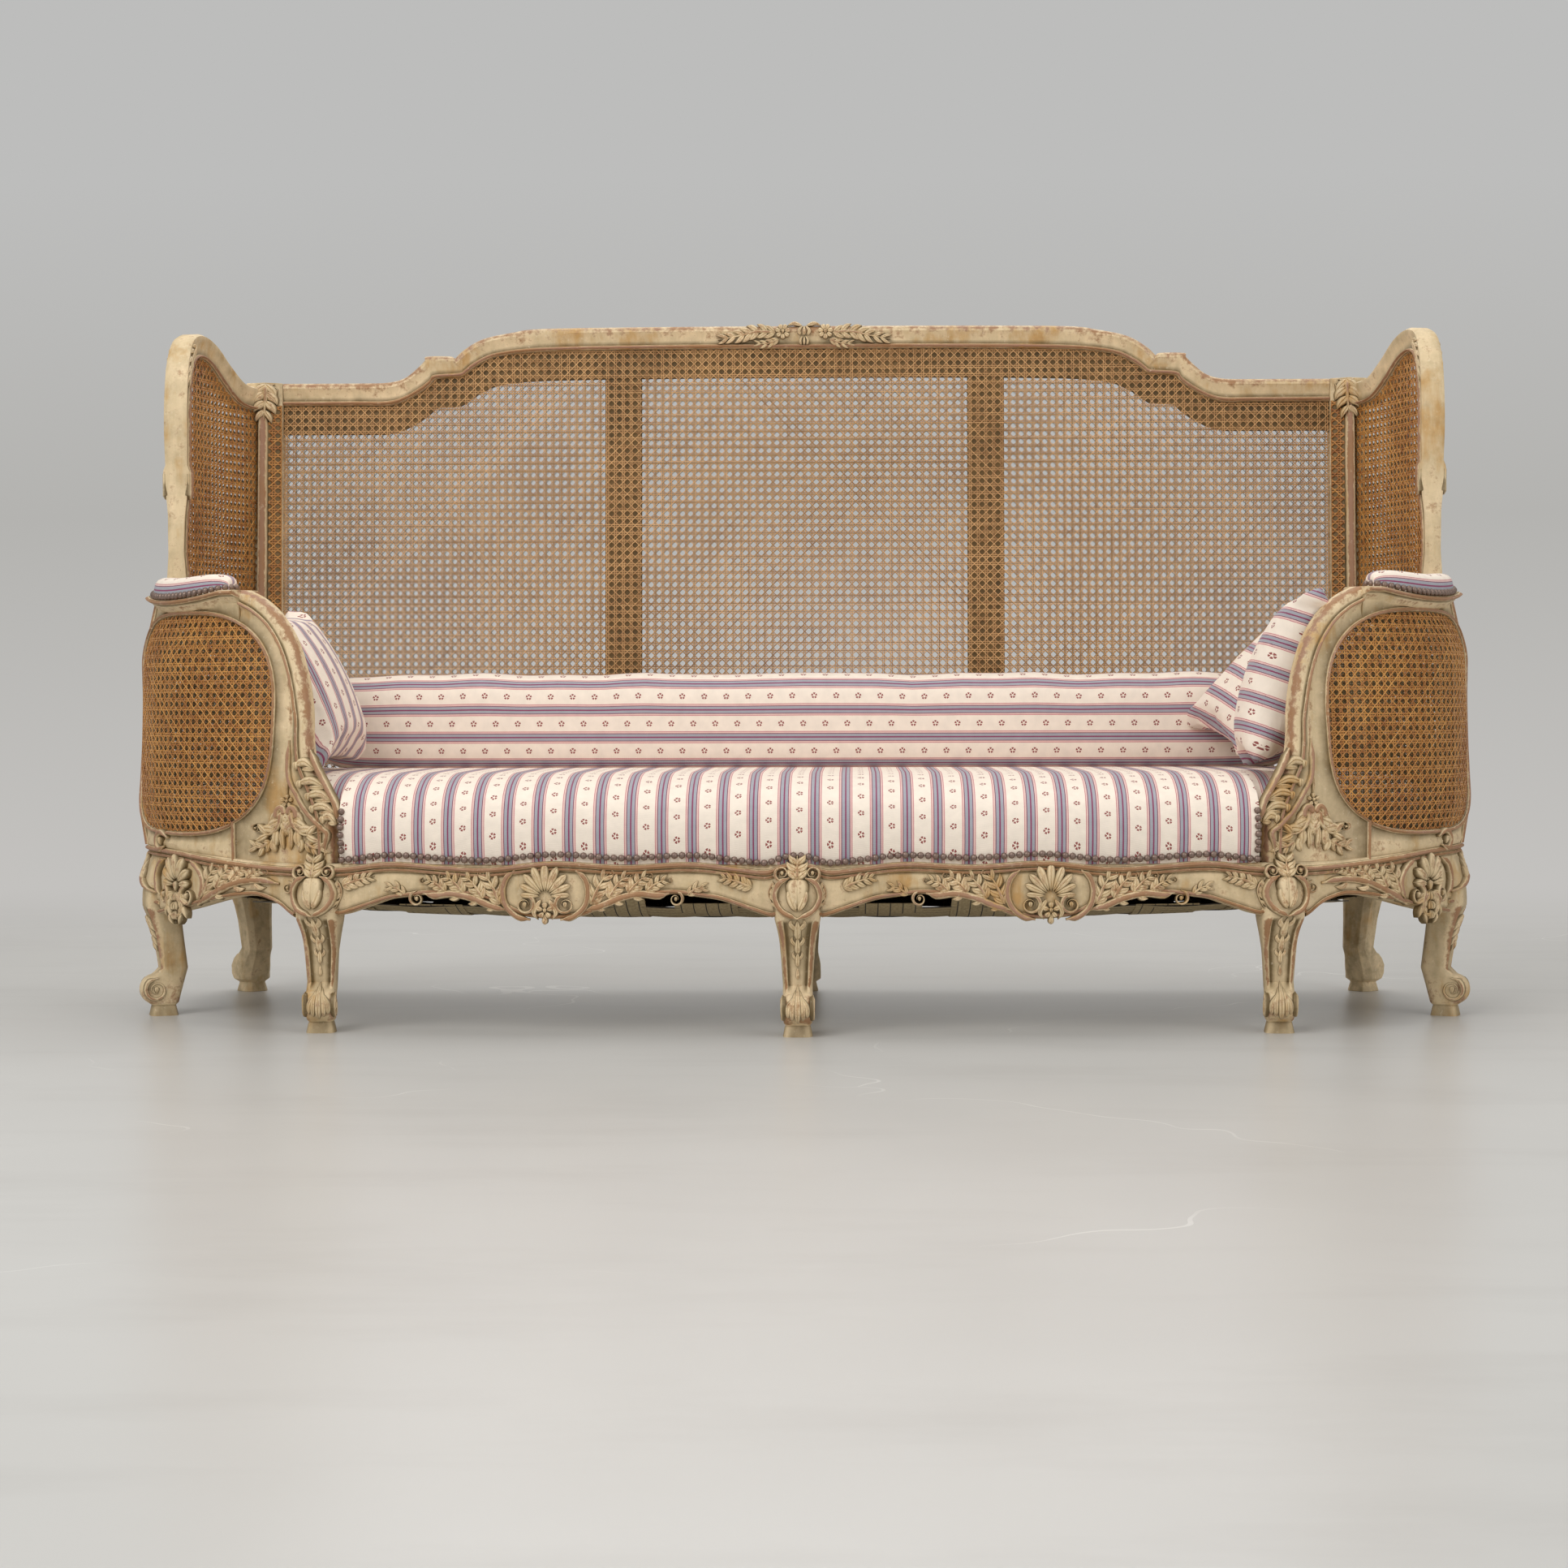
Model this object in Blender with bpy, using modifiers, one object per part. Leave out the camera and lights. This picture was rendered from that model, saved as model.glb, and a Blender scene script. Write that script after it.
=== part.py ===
"""Caned wing sofa with carved serpentine rails, eight scroll feet and a sprung seat.

Origin: on the floor, under the middle of the sofa. Seen from the front, +X runs to the right,
+Y to the back and +Z up. All lengths are in metres.
"""
import math

import bmesh
import bpy
import numpy as np
from mathutils import Matrix, Vector
from mathutils.bvhtree import BVHTree

NAME = "cane_wing_sofa"

# Driving dimensions of the whole sofa
HALF_LENGTH = 1.045
HALF_DEPTH = 0.385
GAP = 0.0003
SMALL_TURN = math.radians(1)

# Seat frame
RAIL_TOP = 0.2580
SIDE_RAIL_RISE = 0.0160
RAIL_ARCH = 0.2140
RAIL_APRON = 0.1760
SIDE_ARCH = 0.2070
SIDE_APRON = 0.1660
BACK_RAIL_BOTTOM = 0.1900
RAIL_THICK = 0.0440
LEG_BLOCK_HALF = 0.0358
SIDE_BLOCK_HALF = 0.0500
BLOCK_PROUD = 0.0090

# Legs
FRONT_LEG_X = HALF_LENGTH * 0.6967
FRONT_LEG_TURN = math.radians(-18)
SIDE_LEG_Y = -HALF_DEPTH * 0.2727
FOOT_BLOCK_HEIGHT = 0.0160
FOOT_BLOCK_HALF = 0.0225
FOOT_NECK_HALF = 0.0185
VOLUTE_HEIGHT = 0.0420
VOLUTE_RADIUS = 0.0240
VOLUTE_OUT = 0.0140
VOLUTE_HALF = 0.0270
KNEE_HEIGHT = 0.1760
KNEE_HALF = 0.0345
KNEE_PROUD = 0.0310
KNEE_BACK = 0.0260
SHIN_HEIGHT = 0.1240
SHIN_HALF = 0.0258
SHIN_PROUD = 0.0130
SHIN_BACK = 0.0320
ANKLE_HEIGHT = 0.0760
ANKLE_HALF = 0.0225
ANKLE_PROUD = 0.0060
ANKLE_BACK = 0.0380
BACK_LEG_TURN = math.radians(28)

# Side walls: an oval caned arm in front of a caned wing, placed by shares of the wall's run
OVAL_SHARE = 0.3598
OVAL_HALF_SHARE = 0.2577
WING_SHARE = 0.6583
PAD_SHARE = 0.3830
PAD_HALF_SHARE = 0.1400
WALL_THICK = 0.0340
WALL_LEAN = 0.0220
LEAN_FOOT = 0.3500
LEAN_TOP = 0.7000
ARM_TOP = 0.6760
ARM_DIP = 0.0120
ARM_LAP = 0.0120
OVAL_MIDDLE = 0.4700
OVAL_HALF_HEIGHT = 0.1690
OVAL_POWER = 3.0
OVAL_JOINT = math.radians(58)
POST_STEPS = 14
RAIL_STEPS = 8
POST_WIDTH = 0.0620
WING_WIDTH = 0.0400
WING_THICK = 0.0400
WING_TOP = 1.1080
WING_END_HEIGHT = 1.0540
WING_RAIL_HEIGHT = 0.0420

# Back
BACK_Y = HALF_DEPTH * 0.7584
BACK_RAKE = 0.0450
BACK_HALF = HALF_LENGTH * 0.8699
BACK_THICK = 0.0360
CREST_LOW = 1.0580
CREST_HIGH = 1.1540
CREST_HEIGHT = 0.0390
BOTTOM_RAIL_HEIGHT = 0.0450
STILE_LIP = 0.0040
MUNTIN_PLACE = BACK_HALF * 0.3465
MUNTIN_WIDTH = 0.0640
LINING_THICK = 0.0100
LINING_WIDTH = 0.0500
CANE_THICK = 0.0024
CANE_OFFSET = 0.0090
CANE_STEPS = 5

# Upholstery
SEAT_INSET = 0.0060
SEAT_BULGE = 0.0100
SEAT_CROWN = 0.3920
SEAT_SHOULDER = 0.3560
SEAT_WALL = 0.0300
SEAT_SIDE_CLEARANCE = 0.0030
PAN_TOP = 0.3150
SPRING_CLOTH = 0.0020
WEB_THICK = 0.0020
WEB_EDGE = 0.0030
WEB_TOP = 0.2040
WEB_SAG = 0.0340
WEB_SPACING = HALF_LENGTH * 0.1340
WEB_WIDTH = WEB_SPACING * 0.6857
WEB_SLOPE_LIMIT = 0.35
WEB_STRIPS = 13
LONG_STRIPS = 4
LONG_WIDTH = 0.1150
WIRE = 0.0040
SPRING_RADIUS = 0.0420
SPRING_WAIST = 0.0280
SPRING_TURNS = 4
SPRING_POINTS = 7
SPRING_COLUMNS = (-4, -2, 0, 2, 4)
SPRING_ROW_SHARES = (0.34, 0.74)
PAD_HALF_WIDTH = 0.0290
PAD_HEIGHT = 0.0340

# Loose cushions
BOLSTER_HALF = BACK_HALF * 0.9021
BOLSTER_HEIGHT = 0.1660
BOLSTER_DEPTH = 0.1300
BOLSTER_BACK_GAP = 0.0100
CUSHION_SIDE = 0.3000
CUSHION_THICK = 0.1100
CUSHION_PINCH = 0.0160
REST_CLEARANCE = 0.0003
LOOSE_CLEARANCE = 0.0026
BOLSTER_SIDES = 14
PILLOW_CELLS = 8
DOWN = (0.0, 0.0, -1.0)
LOOSE = ("bolster", "cushion_right_rear")

# Loose cushions as they lie: name, place as shares of the half length, the half depth and the
# cushion's side above the seat, width and height as shares of the side, way up, way it faces, the
# ways it slides, and the pieces it comes to lie against
CUSHIONS = (
    ("cushion_left", (-0.705, -0.185, 0.50), (1.0, 1.0), (-0.44, 0.03, 0.90), (0.89, -0.10, 0.44),
     (DOWN, (-1.0, 0.0, 0.0), DOWN, (-1.0, 0.0, 0.0), DOWN),
     ("arm_top_rail_left", "arm_front_post_left", "arm_pad_left", "arm_cane_inner_left",
      "arm_bottom_rail_left", "bolster")),
    ("cushion_right_rear", (0.752, -0.085, 0.51), (0.70, 1.10), (0.70, 0.05, 0.71), (-0.61, -0.47, 0.63),
     (DOWN, (0.0, 1.0, 0.0)),
     ("arm_top_rail_right", "arm_front_post_right", "arm_pad_right", "arm_cane_inner_right",
      "arm_bottom_rail_right", "wing_cane_inner_right", "arm_rear_post_right", "bolster")),
    ("cushion_right_front", (0.695, -0.560, 0.56), (0.56, 1.0), (0.35, 0.02, 0.94), (-0.94, 0.05, 0.35),
     (DOWN, (1.0, 0.0, 0.0), DOWN),
     ("arm_top_rail_right", "arm_front_post_right", "arm_pad_right", "arm_cane_inner_right",
      "arm_bottom_rail_right", "cushion_right_rear")),
)

PAINT = ("worn_cream_paint", (0.69, 0.63, 0.40, 1.0), 0.55, 0.0)
CANE = ("golden_cane", (0.46, 0.26, 0.09, 1.0), 0.45, 0.0)
CANE_DARK = ("aged_cane", (0.15, 0.12, 0.06, 1.0), 0.6, 0.0)
FABRIC = ("striped_cotton", (0.80, 0.72, 0.66, 1.0), 0.85, 0.0)
JUTE = ("jute_webbing", (0.52, 0.42, 0.27, 1.0), 0.9, 0.0)
STEEL = ("spring_wire", (0.35, 0.33, 0.30, 1.0), 0.4, 0.9)

# Plan of the seat frame, from the middle of the front to the back corner, as shares of the
# half length and of the half depth
PLAN_SHARES = (
    (0.0, -1.040), (0.182, -1.000), (0.359, -1.035), (0.536, -0.975), (0.697, -0.900),
    (0.825, -0.760), (0.926, -0.530), (0.988, -0.235), (1.0, 0.100), (0.975, 0.460), (0.930, 0.840),
)

# Crest rail: across shares of the half width and rise shares between the low and the high crest,
# for the upper edge and for the lower edge of one half
CREST_SHARES = (
    (1.000, 0.000, 1.000, 0.000), (0.860, 0.000, 0.860, 0.000), (0.800, 0.010, 0.800, 0.000),
    (0.768, 0.085, 0.768, 0.080), (0.746, 0.240, 0.738, 0.230), (0.728, 0.410, 0.718, 0.370),
    (0.7245, 0.480, 0.706, 0.480), (0.676, 0.480, 0.658, 0.515), (0.6735, 0.410, 0.645, 0.590),
    (0.657, 0.565, 0.630, 0.700), (0.629, 0.740, 0.600, 0.850), (0.601, 0.835, 0.570, 0.915),
    (0.559, 0.910, 0.535, 0.950), (0.515, 0.970, 0.495, 0.970), (0.400, 0.990, 0.400, 0.985),
    (0.200, 1.000, 0.200, 1.000), (0.000, 1.000, 0.000, 1.000),
)

# Lower edge of a front rail along one bay: place share, drop share from arch to apron
APRON_SHARES = (
    (0.00, 0.95), (0.05, 0.66), (0.12, 0.24), (0.22, 0.02), (0.32, 0.05), (0.38, 0.40),
    (0.43, 0.88), (0.50, 1.00), (0.57, 0.88), (0.62, 0.40), (0.68, 0.05), (0.78, 0.02),
    (0.88, 0.24), (0.95, 0.66), (1.00, 0.95),
)

# Lower edge of a side rail along one bay: place share, drop share from arch to apron
SIDE_SHARES = (
    (0.00, 0.85), (0.08, 0.30), (0.20, 0.00), (0.34, 0.08), (0.50, 0.30), (0.70, 0.62), (1.00, 1.00),
)

# The same for a bay that ends at a back leg, whose knee turns outwards under the rail
SIDE_REAR_SHARES = (
    (0.00, 1.00), (0.30, 0.62), (0.50, 0.30), (0.66, 0.08), (0.80, 0.00), (0.92, -0.12), (1.00, -0.22),
)

# Half thickness of a wing's frame up its front: height share between the arm top and the wing
# top, share of the half thickness
WING_HALF_SHARES = (
    (0.000, 1.00), (0.060, 0.84), (0.160, 0.66), (0.300, 0.72), (0.400, 0.96), (0.425, 1.14),
    (0.475, 1.16), (0.500, 0.94), (0.620, 1.00), (0.850, 0.98), (1.000, 0.92),
)

# Outer edge of an arm's front post, from its foot up: place share of the post width before the
# oval's front edge, height share between the rail top and the arm top
POST_SHARES = (
    (1.700, 0.000), (1.660, 0.150), (1.420, 0.265), (1.120, 0.370), (1.020, 0.460), (0.980, 0.565),
    (0.800, 0.690), (0.480, 0.810), (0.000, 0.905), (-0.550, 0.965), (-1.120, 1.000),
)

# Middle line of the wing frame above the arm: place share of the wing's depth, height share
# between the arm top and the wing top
WING_SHARES = (
    (0.000, 0.000), (-0.010, 0.200), (0.015, 0.400), (0.000, 0.620), (0.010, 0.740), (0.060, 0.860),
    (0.160, 0.945), (0.300, 0.972), (0.450, 0.950), (0.600, 0.890), (0.760, 0.830), (0.890, 0.812),
)

# Across share from the lower edge to the upper edge, depth share of half the thickness
RAIL_PROFILE_SHARES = (
    (0.0, -1.0), (0.0, 0.70), (0.06, 0.98), (0.14, 0.98), (0.22, 0.72), (0.78, 0.72),
    (0.84, 1.10), (0.95, 1.16), (1.0, 0.90), (1.0, -1.0),
)
FRAME_PROFILE_SHARES = (
    (0.0, -0.8), (0.0, 0.60), (0.10, 1.0), (0.24, 1.0), (0.36, 0.62), (0.62, 0.62), (0.80, 1.0),
    (0.94, 0.90), (1.0, 0.45), (1.0, -0.8),
)
CREST_PROFILE_SHARES = (
    (0.0, -0.8), (0.0, 0.60), (0.12, 1.0), (0.26, 0.80), (0.50, 0.66), (0.78, 1.0), (1.0, 0.50),
    (1.0, -0.6),
)
PLATFORM_PROFILE_SHARES = (
    (0.0, -0.8), (0.0, 0.60), (0.14, 1.0), (0.30, 0.75), (0.50, 1.10), (0.62, 1.95), (1.0, 2.15),
    (1.0, -2.15), (0.62, -1.95), (0.50, -1.0),
)
PAD_PROFILE_SHARES = (
    (0.0, -1.0), (0.0, 1.0), (0.34, 1.06), (0.74, 0.80), (1.0, 0.30), (1.0, -0.30), (0.74, -0.80),
    (0.34, -1.06),
)
# Seat levels: inset in bulges, rise share up its side, crown share above its shoulder
SEAT_LEVEL_SHARES = (
    (0.0, 0.0, 0.0), (0.0, 0.13, 0.0), (-0.7, 0.36, 0.0), (-0.6, 0.70, 0.0), (1.0, 1.0, 0.0),
    (4.0, 1.0, 0.50), (9.0, 1.0, 0.84), (16.0, 1.0, 1.0),
)

PLAIN_PROFILE_SHARES = ((0.0, -1.0), (0.0, 1.0), (1.0, 1.0), (1.0, -1.0))


def clear_scene():
    """Remove what the file opened with."""
    for item in list(bpy.data.objects):
        bpy.data.objects.remove(item, do_unlink=True)


def make_collection():
    """Make the collections for the sofa's pieces and for what is joined into them."""
    for name in (NAME, NAME + "_cutters"):
        bpy.context.scene.collection.children.link(bpy.data.collections.new(name))


def make_material(finish):
    """Return the material of a finish, making it once."""
    name, colour, roughness, metallic = finish
    material = bpy.data.materials.get(name)
    if material is None:
        material = bpy.data.materials.new(name)
        material.use_nodes = True
        shader = material.node_tree.nodes["Principled BSDF"]
        shader.inputs["Base Color"].default_value = colour
        shader.inputs["Roughness"].default_value = roughness
        shader.inputs["Metallic"].default_value = metallic
        material.diffuse_color = colour
    return material


def add_piece(name, mesh, finish):
    """Put a mesh in the sofa's collection under its name and finish."""
    piece = bpy.data.objects.new(name, mesh)
    mesh.materials.clear()
    mesh.materials.append(make_material(finish))
    bpy.data.collections[NAME].objects.link(piece)
    return piece


def finish_mesh(name, shape):
    """Turn a bmesh into a mesh whose faces point outwards."""
    bmesh.ops.recalc_face_normals(shape, faces=shape.faces)
    mesh = bpy.data.meshes.new(name)
    shape.to_mesh(mesh)
    shape.free()
    return mesh


def loft(shape, rings, closed=False):
    """Bridge rings of points into one closed body."""
    rows = [[shape.verts.new(point) for point in ring] for ring in rings]
    pairs = list(zip(rows, rows[1:]))
    if closed:
        pairs.append((rows[-1], rows[0]))
    for low, high in pairs:
        for index in range(len(low)):
            after = (index + 1) % len(low)
            shape.faces.new((low[index], low[after], high[after], high[index]))
    if not closed:
        shape.faces.new(list(reversed(rows[0])))
        shape.faces.new(rows[-1])


def mirrored(rings):
    """Return rings on the other side of the sofa's middle plane."""
    return [[Vector((-point[0], point[1], point[2])) for point in ring] for ring in rings]


def lofted_piece(name, rings, finish, closed=False):
    """Add a piece made of one lofted body."""
    shape = bmesh.new()
    loft(shape, rings, closed)
    return add_piece(name, finish_mesh(name, shape), finish)


def paired_piece(name, rings, finish, closed=False):
    """Add a right piece and its mirror image on the left."""
    right = lofted_piece(name + "_right", rings, finish, closed)
    left = lofted_piece(name + "_left", mirrored(rings), finish, closed)
    return left, right


def through(points, steps):
    """Return points on a smooth curve through the given ones, with steps in each span."""
    points = [np.array(point, dtype=float) for point in points]
    before = 2 * points[0] - points[1]
    behind = 2 * points[-1] - points[-2]
    guides = [before] + points + [behind]
    curve = []
    for index in range(1, len(guides) - 2):
        first, second, third, fourth = guides[index - 1:index + 3]
        for step in range(steps):
            part = step / steps
            curve.append(0.5 * (2 * second + (third - first) * part
                                + (2 * first - 5 * second + 4 * third - fourth) * part ** 2
                                + (3 * second - first - 3 * third + fourth) * part ** 3))
    curve.append(points[-1])
    return np.array(curve)


def interpolate(table, place):
    """Read a table of (place, value) pairs."""
    return float(np.interp(place, [row[0] for row in table], [row[1] for row in table]))


class PlanCurve:
    """The seat frame's middle line in plan, by its length from the middle of the front."""

    def __init__(self):
        points = [(x * HALF_LENGTH, y * HALF_DEPTH) for x, y in PLAN_SHARES]
        start = [(-points[1][0], points[1][1])]
        curve = through(start + points, 24)[24:]
        self.points = curve
        steps = np.linalg.norm(np.diff(curve, axis=0), axis=1)
        self.length = np.concatenate([[0.0], np.cumsum(steps)])
        slope = np.gradient(curve, axis=0)
        self.tangent = slope / np.linalg.norm(slope, axis=1)[:, None]

    def at(self, place):
        """Return the point and the outward normal at a length along the curve."""
        x, y = (float(np.interp(abs(place), self.length, self.points[:, k])) for k in (0, 1))
        tx, ty = (float(np.interp(abs(place), self.length, self.tangent[:, k])) for k in (0, 1))
        size = math.hypot(tx, ty)
        point = Vector((x, y))
        normal = Vector((ty / size, -tx / size))
        if place < 0:
            point.x, normal.x = -point.x, -normal.x
        return point, normal

    def where(self, axis, value, after=0.0):
        """Return the length at which a coordinate first reaches a value."""
        for index in range(1, len(self.points)):
            before, here = self.points[index - 1][axis], self.points[index][axis]
            if self.length[index] > after and here >= value:
                part = min(max((value - before) / max(here - before, GAP * GAP), 0.0), 1.0)
                return float(self.length[index - 1]
                             + part * (self.length[index] - self.length[index - 1]))
        return float(self.length[-1])


PLAN = PlanCurve()
FRONT_LEG = PLAN.where(0, FRONT_LEG_X)
SIDE_LEG = PLAN.where(1, SIDE_LEG_Y, FRONT_LEG)
RAIL_END = PLAN.where(1, BACK_Y - RAIL_THICK / 2, SIDE_LEG)
SIDE_RUN = RAIL_END - FRONT_LEG
OVAL_CENTRE = FRONT_LEG + SIDE_RUN * OVAL_SHARE
OVAL_HALF_LENGTH = SIDE_RUN * OVAL_HALF_SHARE
WING_POST = FRONT_LEG + SIDE_RUN * WING_SHARE
PAD_CENTRE = FRONT_LEG + SIDE_RUN * PAD_SHARE
PAD_HALF_LENGTH = SIDE_RUN * PAD_HALF_SHARE


def lean(height):
    """Return how far a side wall has leaned inwards at a height."""
    part = min(max((height - LEAN_FOOT) / (LEAN_TOP - LEAN_FOOT), 0), 1)
    return WALL_LEAN * part * part * (3 - 2 * part)


def on_wall(place, height, depth):
    """Return the point of a side wall at a plan length, a height and a depth outwards."""
    point, normal = PLAN.at(place)
    flat = point + normal * (depth - lean(height))
    return Vector((flat.x, flat.y, height))


def back_plane(height):
    """Return the middle of the raked back at a height."""
    return BACK_Y + BACK_RAKE * (height - RAIL_TOP) / (CREST_HIGH - RAIL_TOP)


def on_back(across, height, depth):
    """Return the point of the back at a place across, a height and a depth forwards."""
    return Vector((across, back_plane(height) - depth, height))


def rail_top(place):
    """Return the top of the seat frame, which rises along the sides."""
    start = FRONT_LEG + LEG_BLOCK_HALF
    end = SIDE_LEG - SIDE_BLOCK_HALF
    part = min(max((abs(place) - start) / (end - start), 0), 1)
    return RAIL_TOP + SIDE_RAIL_RISE * part * part * (3 - 2 * part)


def member(surface, lower, upper, profile, half_thick):
    """Return rings of a moulded member between two edges that lie on a surface.

    The half thickness is one length, or a list with a length for each ring.
    """
    halves = half_thick if isinstance(half_thick, list) else [half_thick] * len(lower)
    rings = []
    for low, high, half in zip(lower, upper, halves):
        ring = []
        for across, depth in profile:
            place = low[0] + (high[0] - low[0]) * across
            height = low[1] + (high[1] - low[1]) * across
            ring.append(surface(place, height, depth * half))
        rings.append(ring)
    return rings


def arm_top(place):
    """Return the top of an arm, which dips under its pad."""
    part = (place - PAD_CENTRE) / (PAD_HALF_LENGTH + ARM_LAP)
    return ARM_TOP - ARM_DIP * max(1 - part * part, 0)


def oval(turn, grow=0.0):
    """Return the place and height of the arm's oval opening at an angle."""
    cosine, sine = math.cos(turn), math.sin(turn)
    wide = math.copysign(abs(cosine) ** (2 / OVAL_POWER), cosine)
    high = math.copysign(abs(sine) ** (2 / OVAL_POWER), sine)
    return (OVAL_CENTRE + (OVAL_HALF_LENGTH + grow) * wide,
            OVAL_MIDDLE + (OVAL_HALF_HEIGHT + grow) * high)


def oval_turns():
    """Return the angles at which the oval is divided: its posts' joints and points between."""
    side = [math.pi - OVAL_JOINT + 2 * OVAL_JOINT * index / POST_STEPS for index in range(POST_STEPS)]
    low = math.pi + OVAL_JOINT
    span = math.pi - 2 * OVAL_JOINT
    crown = [low + span * index / RAIL_STEPS for index in range(RAIL_STEPS)]
    half = side + crown
    return half + [turn + math.pi for turn in half]


def oval_run(first, last):
    """Return points of the oval from one of its divisions to another."""
    turns = oval_turns()
    step = 1 if last >= first else -1
    return [oval(turns[index % len(turns)]) for index in range(first, last + step, step)]


def spread(points, count):
    """Return points at even steps along a smooth curve through the given ones."""
    curve = through(points, 12)
    length = np.concatenate([[0.0], np.cumsum(np.linalg.norm(np.diff(curve, axis=0), axis=1))])
    places = np.linspace(0, length[-1], count)
    return [tuple(float(np.interp(place, length, curve[:, k])) for k in range(curve.shape[1]))
            for place in places]


def build_front_rails():
    """Make the two serpentine front rails with their arches and shell aprons."""
    start = LEG_BLOCK_HALF + GAP
    end = FRONT_LEG - LEG_BLOCK_HALF - GAP
    lower, upper = [], []
    for share in np.linspace(0, 1, 25):
        place = start + (end - start) * share
        drop = interpolate(APRON_SHARES, share)
        lower.append((place, RAIL_ARCH + (RAIL_APRON - RAIL_ARCH) * drop))
        upper.append((place, RAIL_TOP))
    rings = member(on_wall, lower, upper, RAIL_PROFILE_SHARES, RAIL_THICK / 2)
    paired_piece("front_rail", rings, PAINT)


def build_side_rails():
    """Make the bowed rails from the front legs round the corners to the back."""
    bays = (
        ("side_front_rail", FRONT_LEG + LEG_BLOCK_HALF, SIDE_LEG - SIDE_BLOCK_HALF, SIDE_SHARES),
        ("side_back_rail", SIDE_LEG + SIDE_BLOCK_HALF, RAIL_END, SIDE_REAR_SHARES),
    )
    for name, first, last, shares in bays:
        start, end = first + GAP, last - GAP
        lower, upper = [], []
        for share in np.linspace(0, 1, 13):
            place = start + (end - start) * share
            drop = interpolate(shares, share)
            lower.append((place, SIDE_ARCH + (SIDE_APRON - SIDE_ARCH) * drop))
            upper.append((place, rail_top(place)))
        rings = member(on_wall, lower, upper, RAIL_PROFILE_SHARES, RAIL_THICK / 2)
        paired_piece(name, rings, PAINT)


def build_back_rails():
    """Make the plain back rails of the seat on both sides of the middle back leg."""
    top = rail_top(RAIL_END)
    edge = [(x, BACK_RAIL_BOTTOM) for x in (LEG_BLOCK_HALF + GAP, BACK_HALF - GAP)]
    crown = [(x, top) for x, _ in edge]
    rings = member(lambda x, z, d: Vector((x, BACK_Y - d, z)), edge, crown,
                   PLAIN_PROFILE_SHARES, RAIL_THICK / 2)
    paired_piece("back_rail", rings, PAINT)


def leg_levels():
    """Return the leg's levels below its block: height, half width, front and back reach."""
    levels = [
        (KNEE_HEIGHT, KNEE_HALF, KNEE_PROUD, KNEE_BACK),
        ((KNEE_HEIGHT + SHIN_HEIGHT) / 2, (KNEE_HALF + SHIN_HALF * 2) / 3,
         (KNEE_PROUD * 2 + SHIN_PROUD * 3) / 5, (KNEE_BACK + SHIN_BACK) / 2),
        (SHIN_HEIGHT, SHIN_HALF, SHIN_PROUD, SHIN_BACK),
        ((SHIN_HEIGHT + ANKLE_HEIGHT) / 2, (SHIN_HALF + ANKLE_HALF) / 2,
         (SHIN_PROUD + ANKLE_PROUD) / 2, (SHIN_BACK + ANKLE_BACK) / 2),
        (ANKLE_HEIGHT, ANKLE_HALF, ANKLE_PROUD, ANKLE_BACK),
    ]
    base = VOLUTE_HEIGHT - VOLUTE_RADIUS
    for angle in (80, 60, 35, 5, -30, -58):
        rise = math.sin(math.radians(angle))
        swell = math.cos(math.radians(angle))
        height = VOLUTE_HEIGHT + VOLUTE_RADIUS * rise
        tuck = (height - base) / (ANKLE_HEIGHT - base)
        levels.append((height, VOLUTE_HALF - (VOLUTE_HALF - ANKLE_HALF) * max(rise, 0),
                       VOLUTE_OUT + VOLUTE_RADIUS * swell,
                       FOOT_BLOCK_HALF + (ANKLE_BACK - FOOT_BLOCK_HALF) * tuck))
    levels.append((FOOT_BLOCK_HEIGHT, FOOT_NECK_HALF, FOOT_NECK_HALF, FOOT_NECK_HALF))
    levels.append((0.0, FOOT_BLOCK_HALF, FOOT_BLOCK_HALF, FOOT_BLOCK_HALF))
    return levels


def octagon(half_wide, front, back):
    """Return a chamfered section as (along, outwards) pairs, starting at the inner face."""
    cut = 0.38
    middle = (front - back) / 2
    deep = (front + back) / 2
    return ((-half_wide * (1 - cut), middle - deep), (half_wide * (1 - cut), middle - deep),
            (half_wide, middle - deep * (1 - cut)), (half_wide, middle + deep * (1 - cut)),
            (half_wide * (1 - cut), middle + deep), (-half_wide * (1 - cut), middle + deep),
            (-half_wide, middle + deep * (1 - cut)), (-half_wide, middle - deep * (1 - cut)))


def leg_rings(place, block_half, top, turn=0.0, centre=None):
    """Return the rings of a cabriole leg, from the top of its block to the floor."""
    origin, normal = PLAN.at(place)
    if centre is not None:
        origin = centre
    along = Vector((-normal.y, normal.x))
    rings = []
    inner = RAIL_THICK / 2
    face = RAIL_THICK / 2 + BLOCK_PROUD
    for height in (top, RAIL_ARCH):
        ring = []
        for step, depth in ((-0.6, -inner), (0.6, -inner), (1, -inner), (1, inner), (0.55, face),
                            (-0.55, face), (-1, inner), (-1, -inner)):
            if centre is None:
                ring.append(on_wall(place + step * block_half, height, depth))
            else:
                flat = origin + along * step * block_half + normal * depth
                ring.append(Vector((flat.x, flat.y, height)))
        rings.append(ring)
    for height, half_wide, front, back in leg_levels():
        part = min(max((KNEE_HEIGHT - height) / (KNEE_HEIGHT - SHIN_HEIGHT), 0), 1)
        spin = Matrix.Rotation(turn * part, 2)
        ring = []
        for step, depth in octagon(half_wide, front, back):
            flat = spin @ (along * step + normal * depth)
            ring.append(Vector((origin.x + flat.x, origin.y + flat.y, height)))
        rings.append(ring)
    return rings


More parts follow.
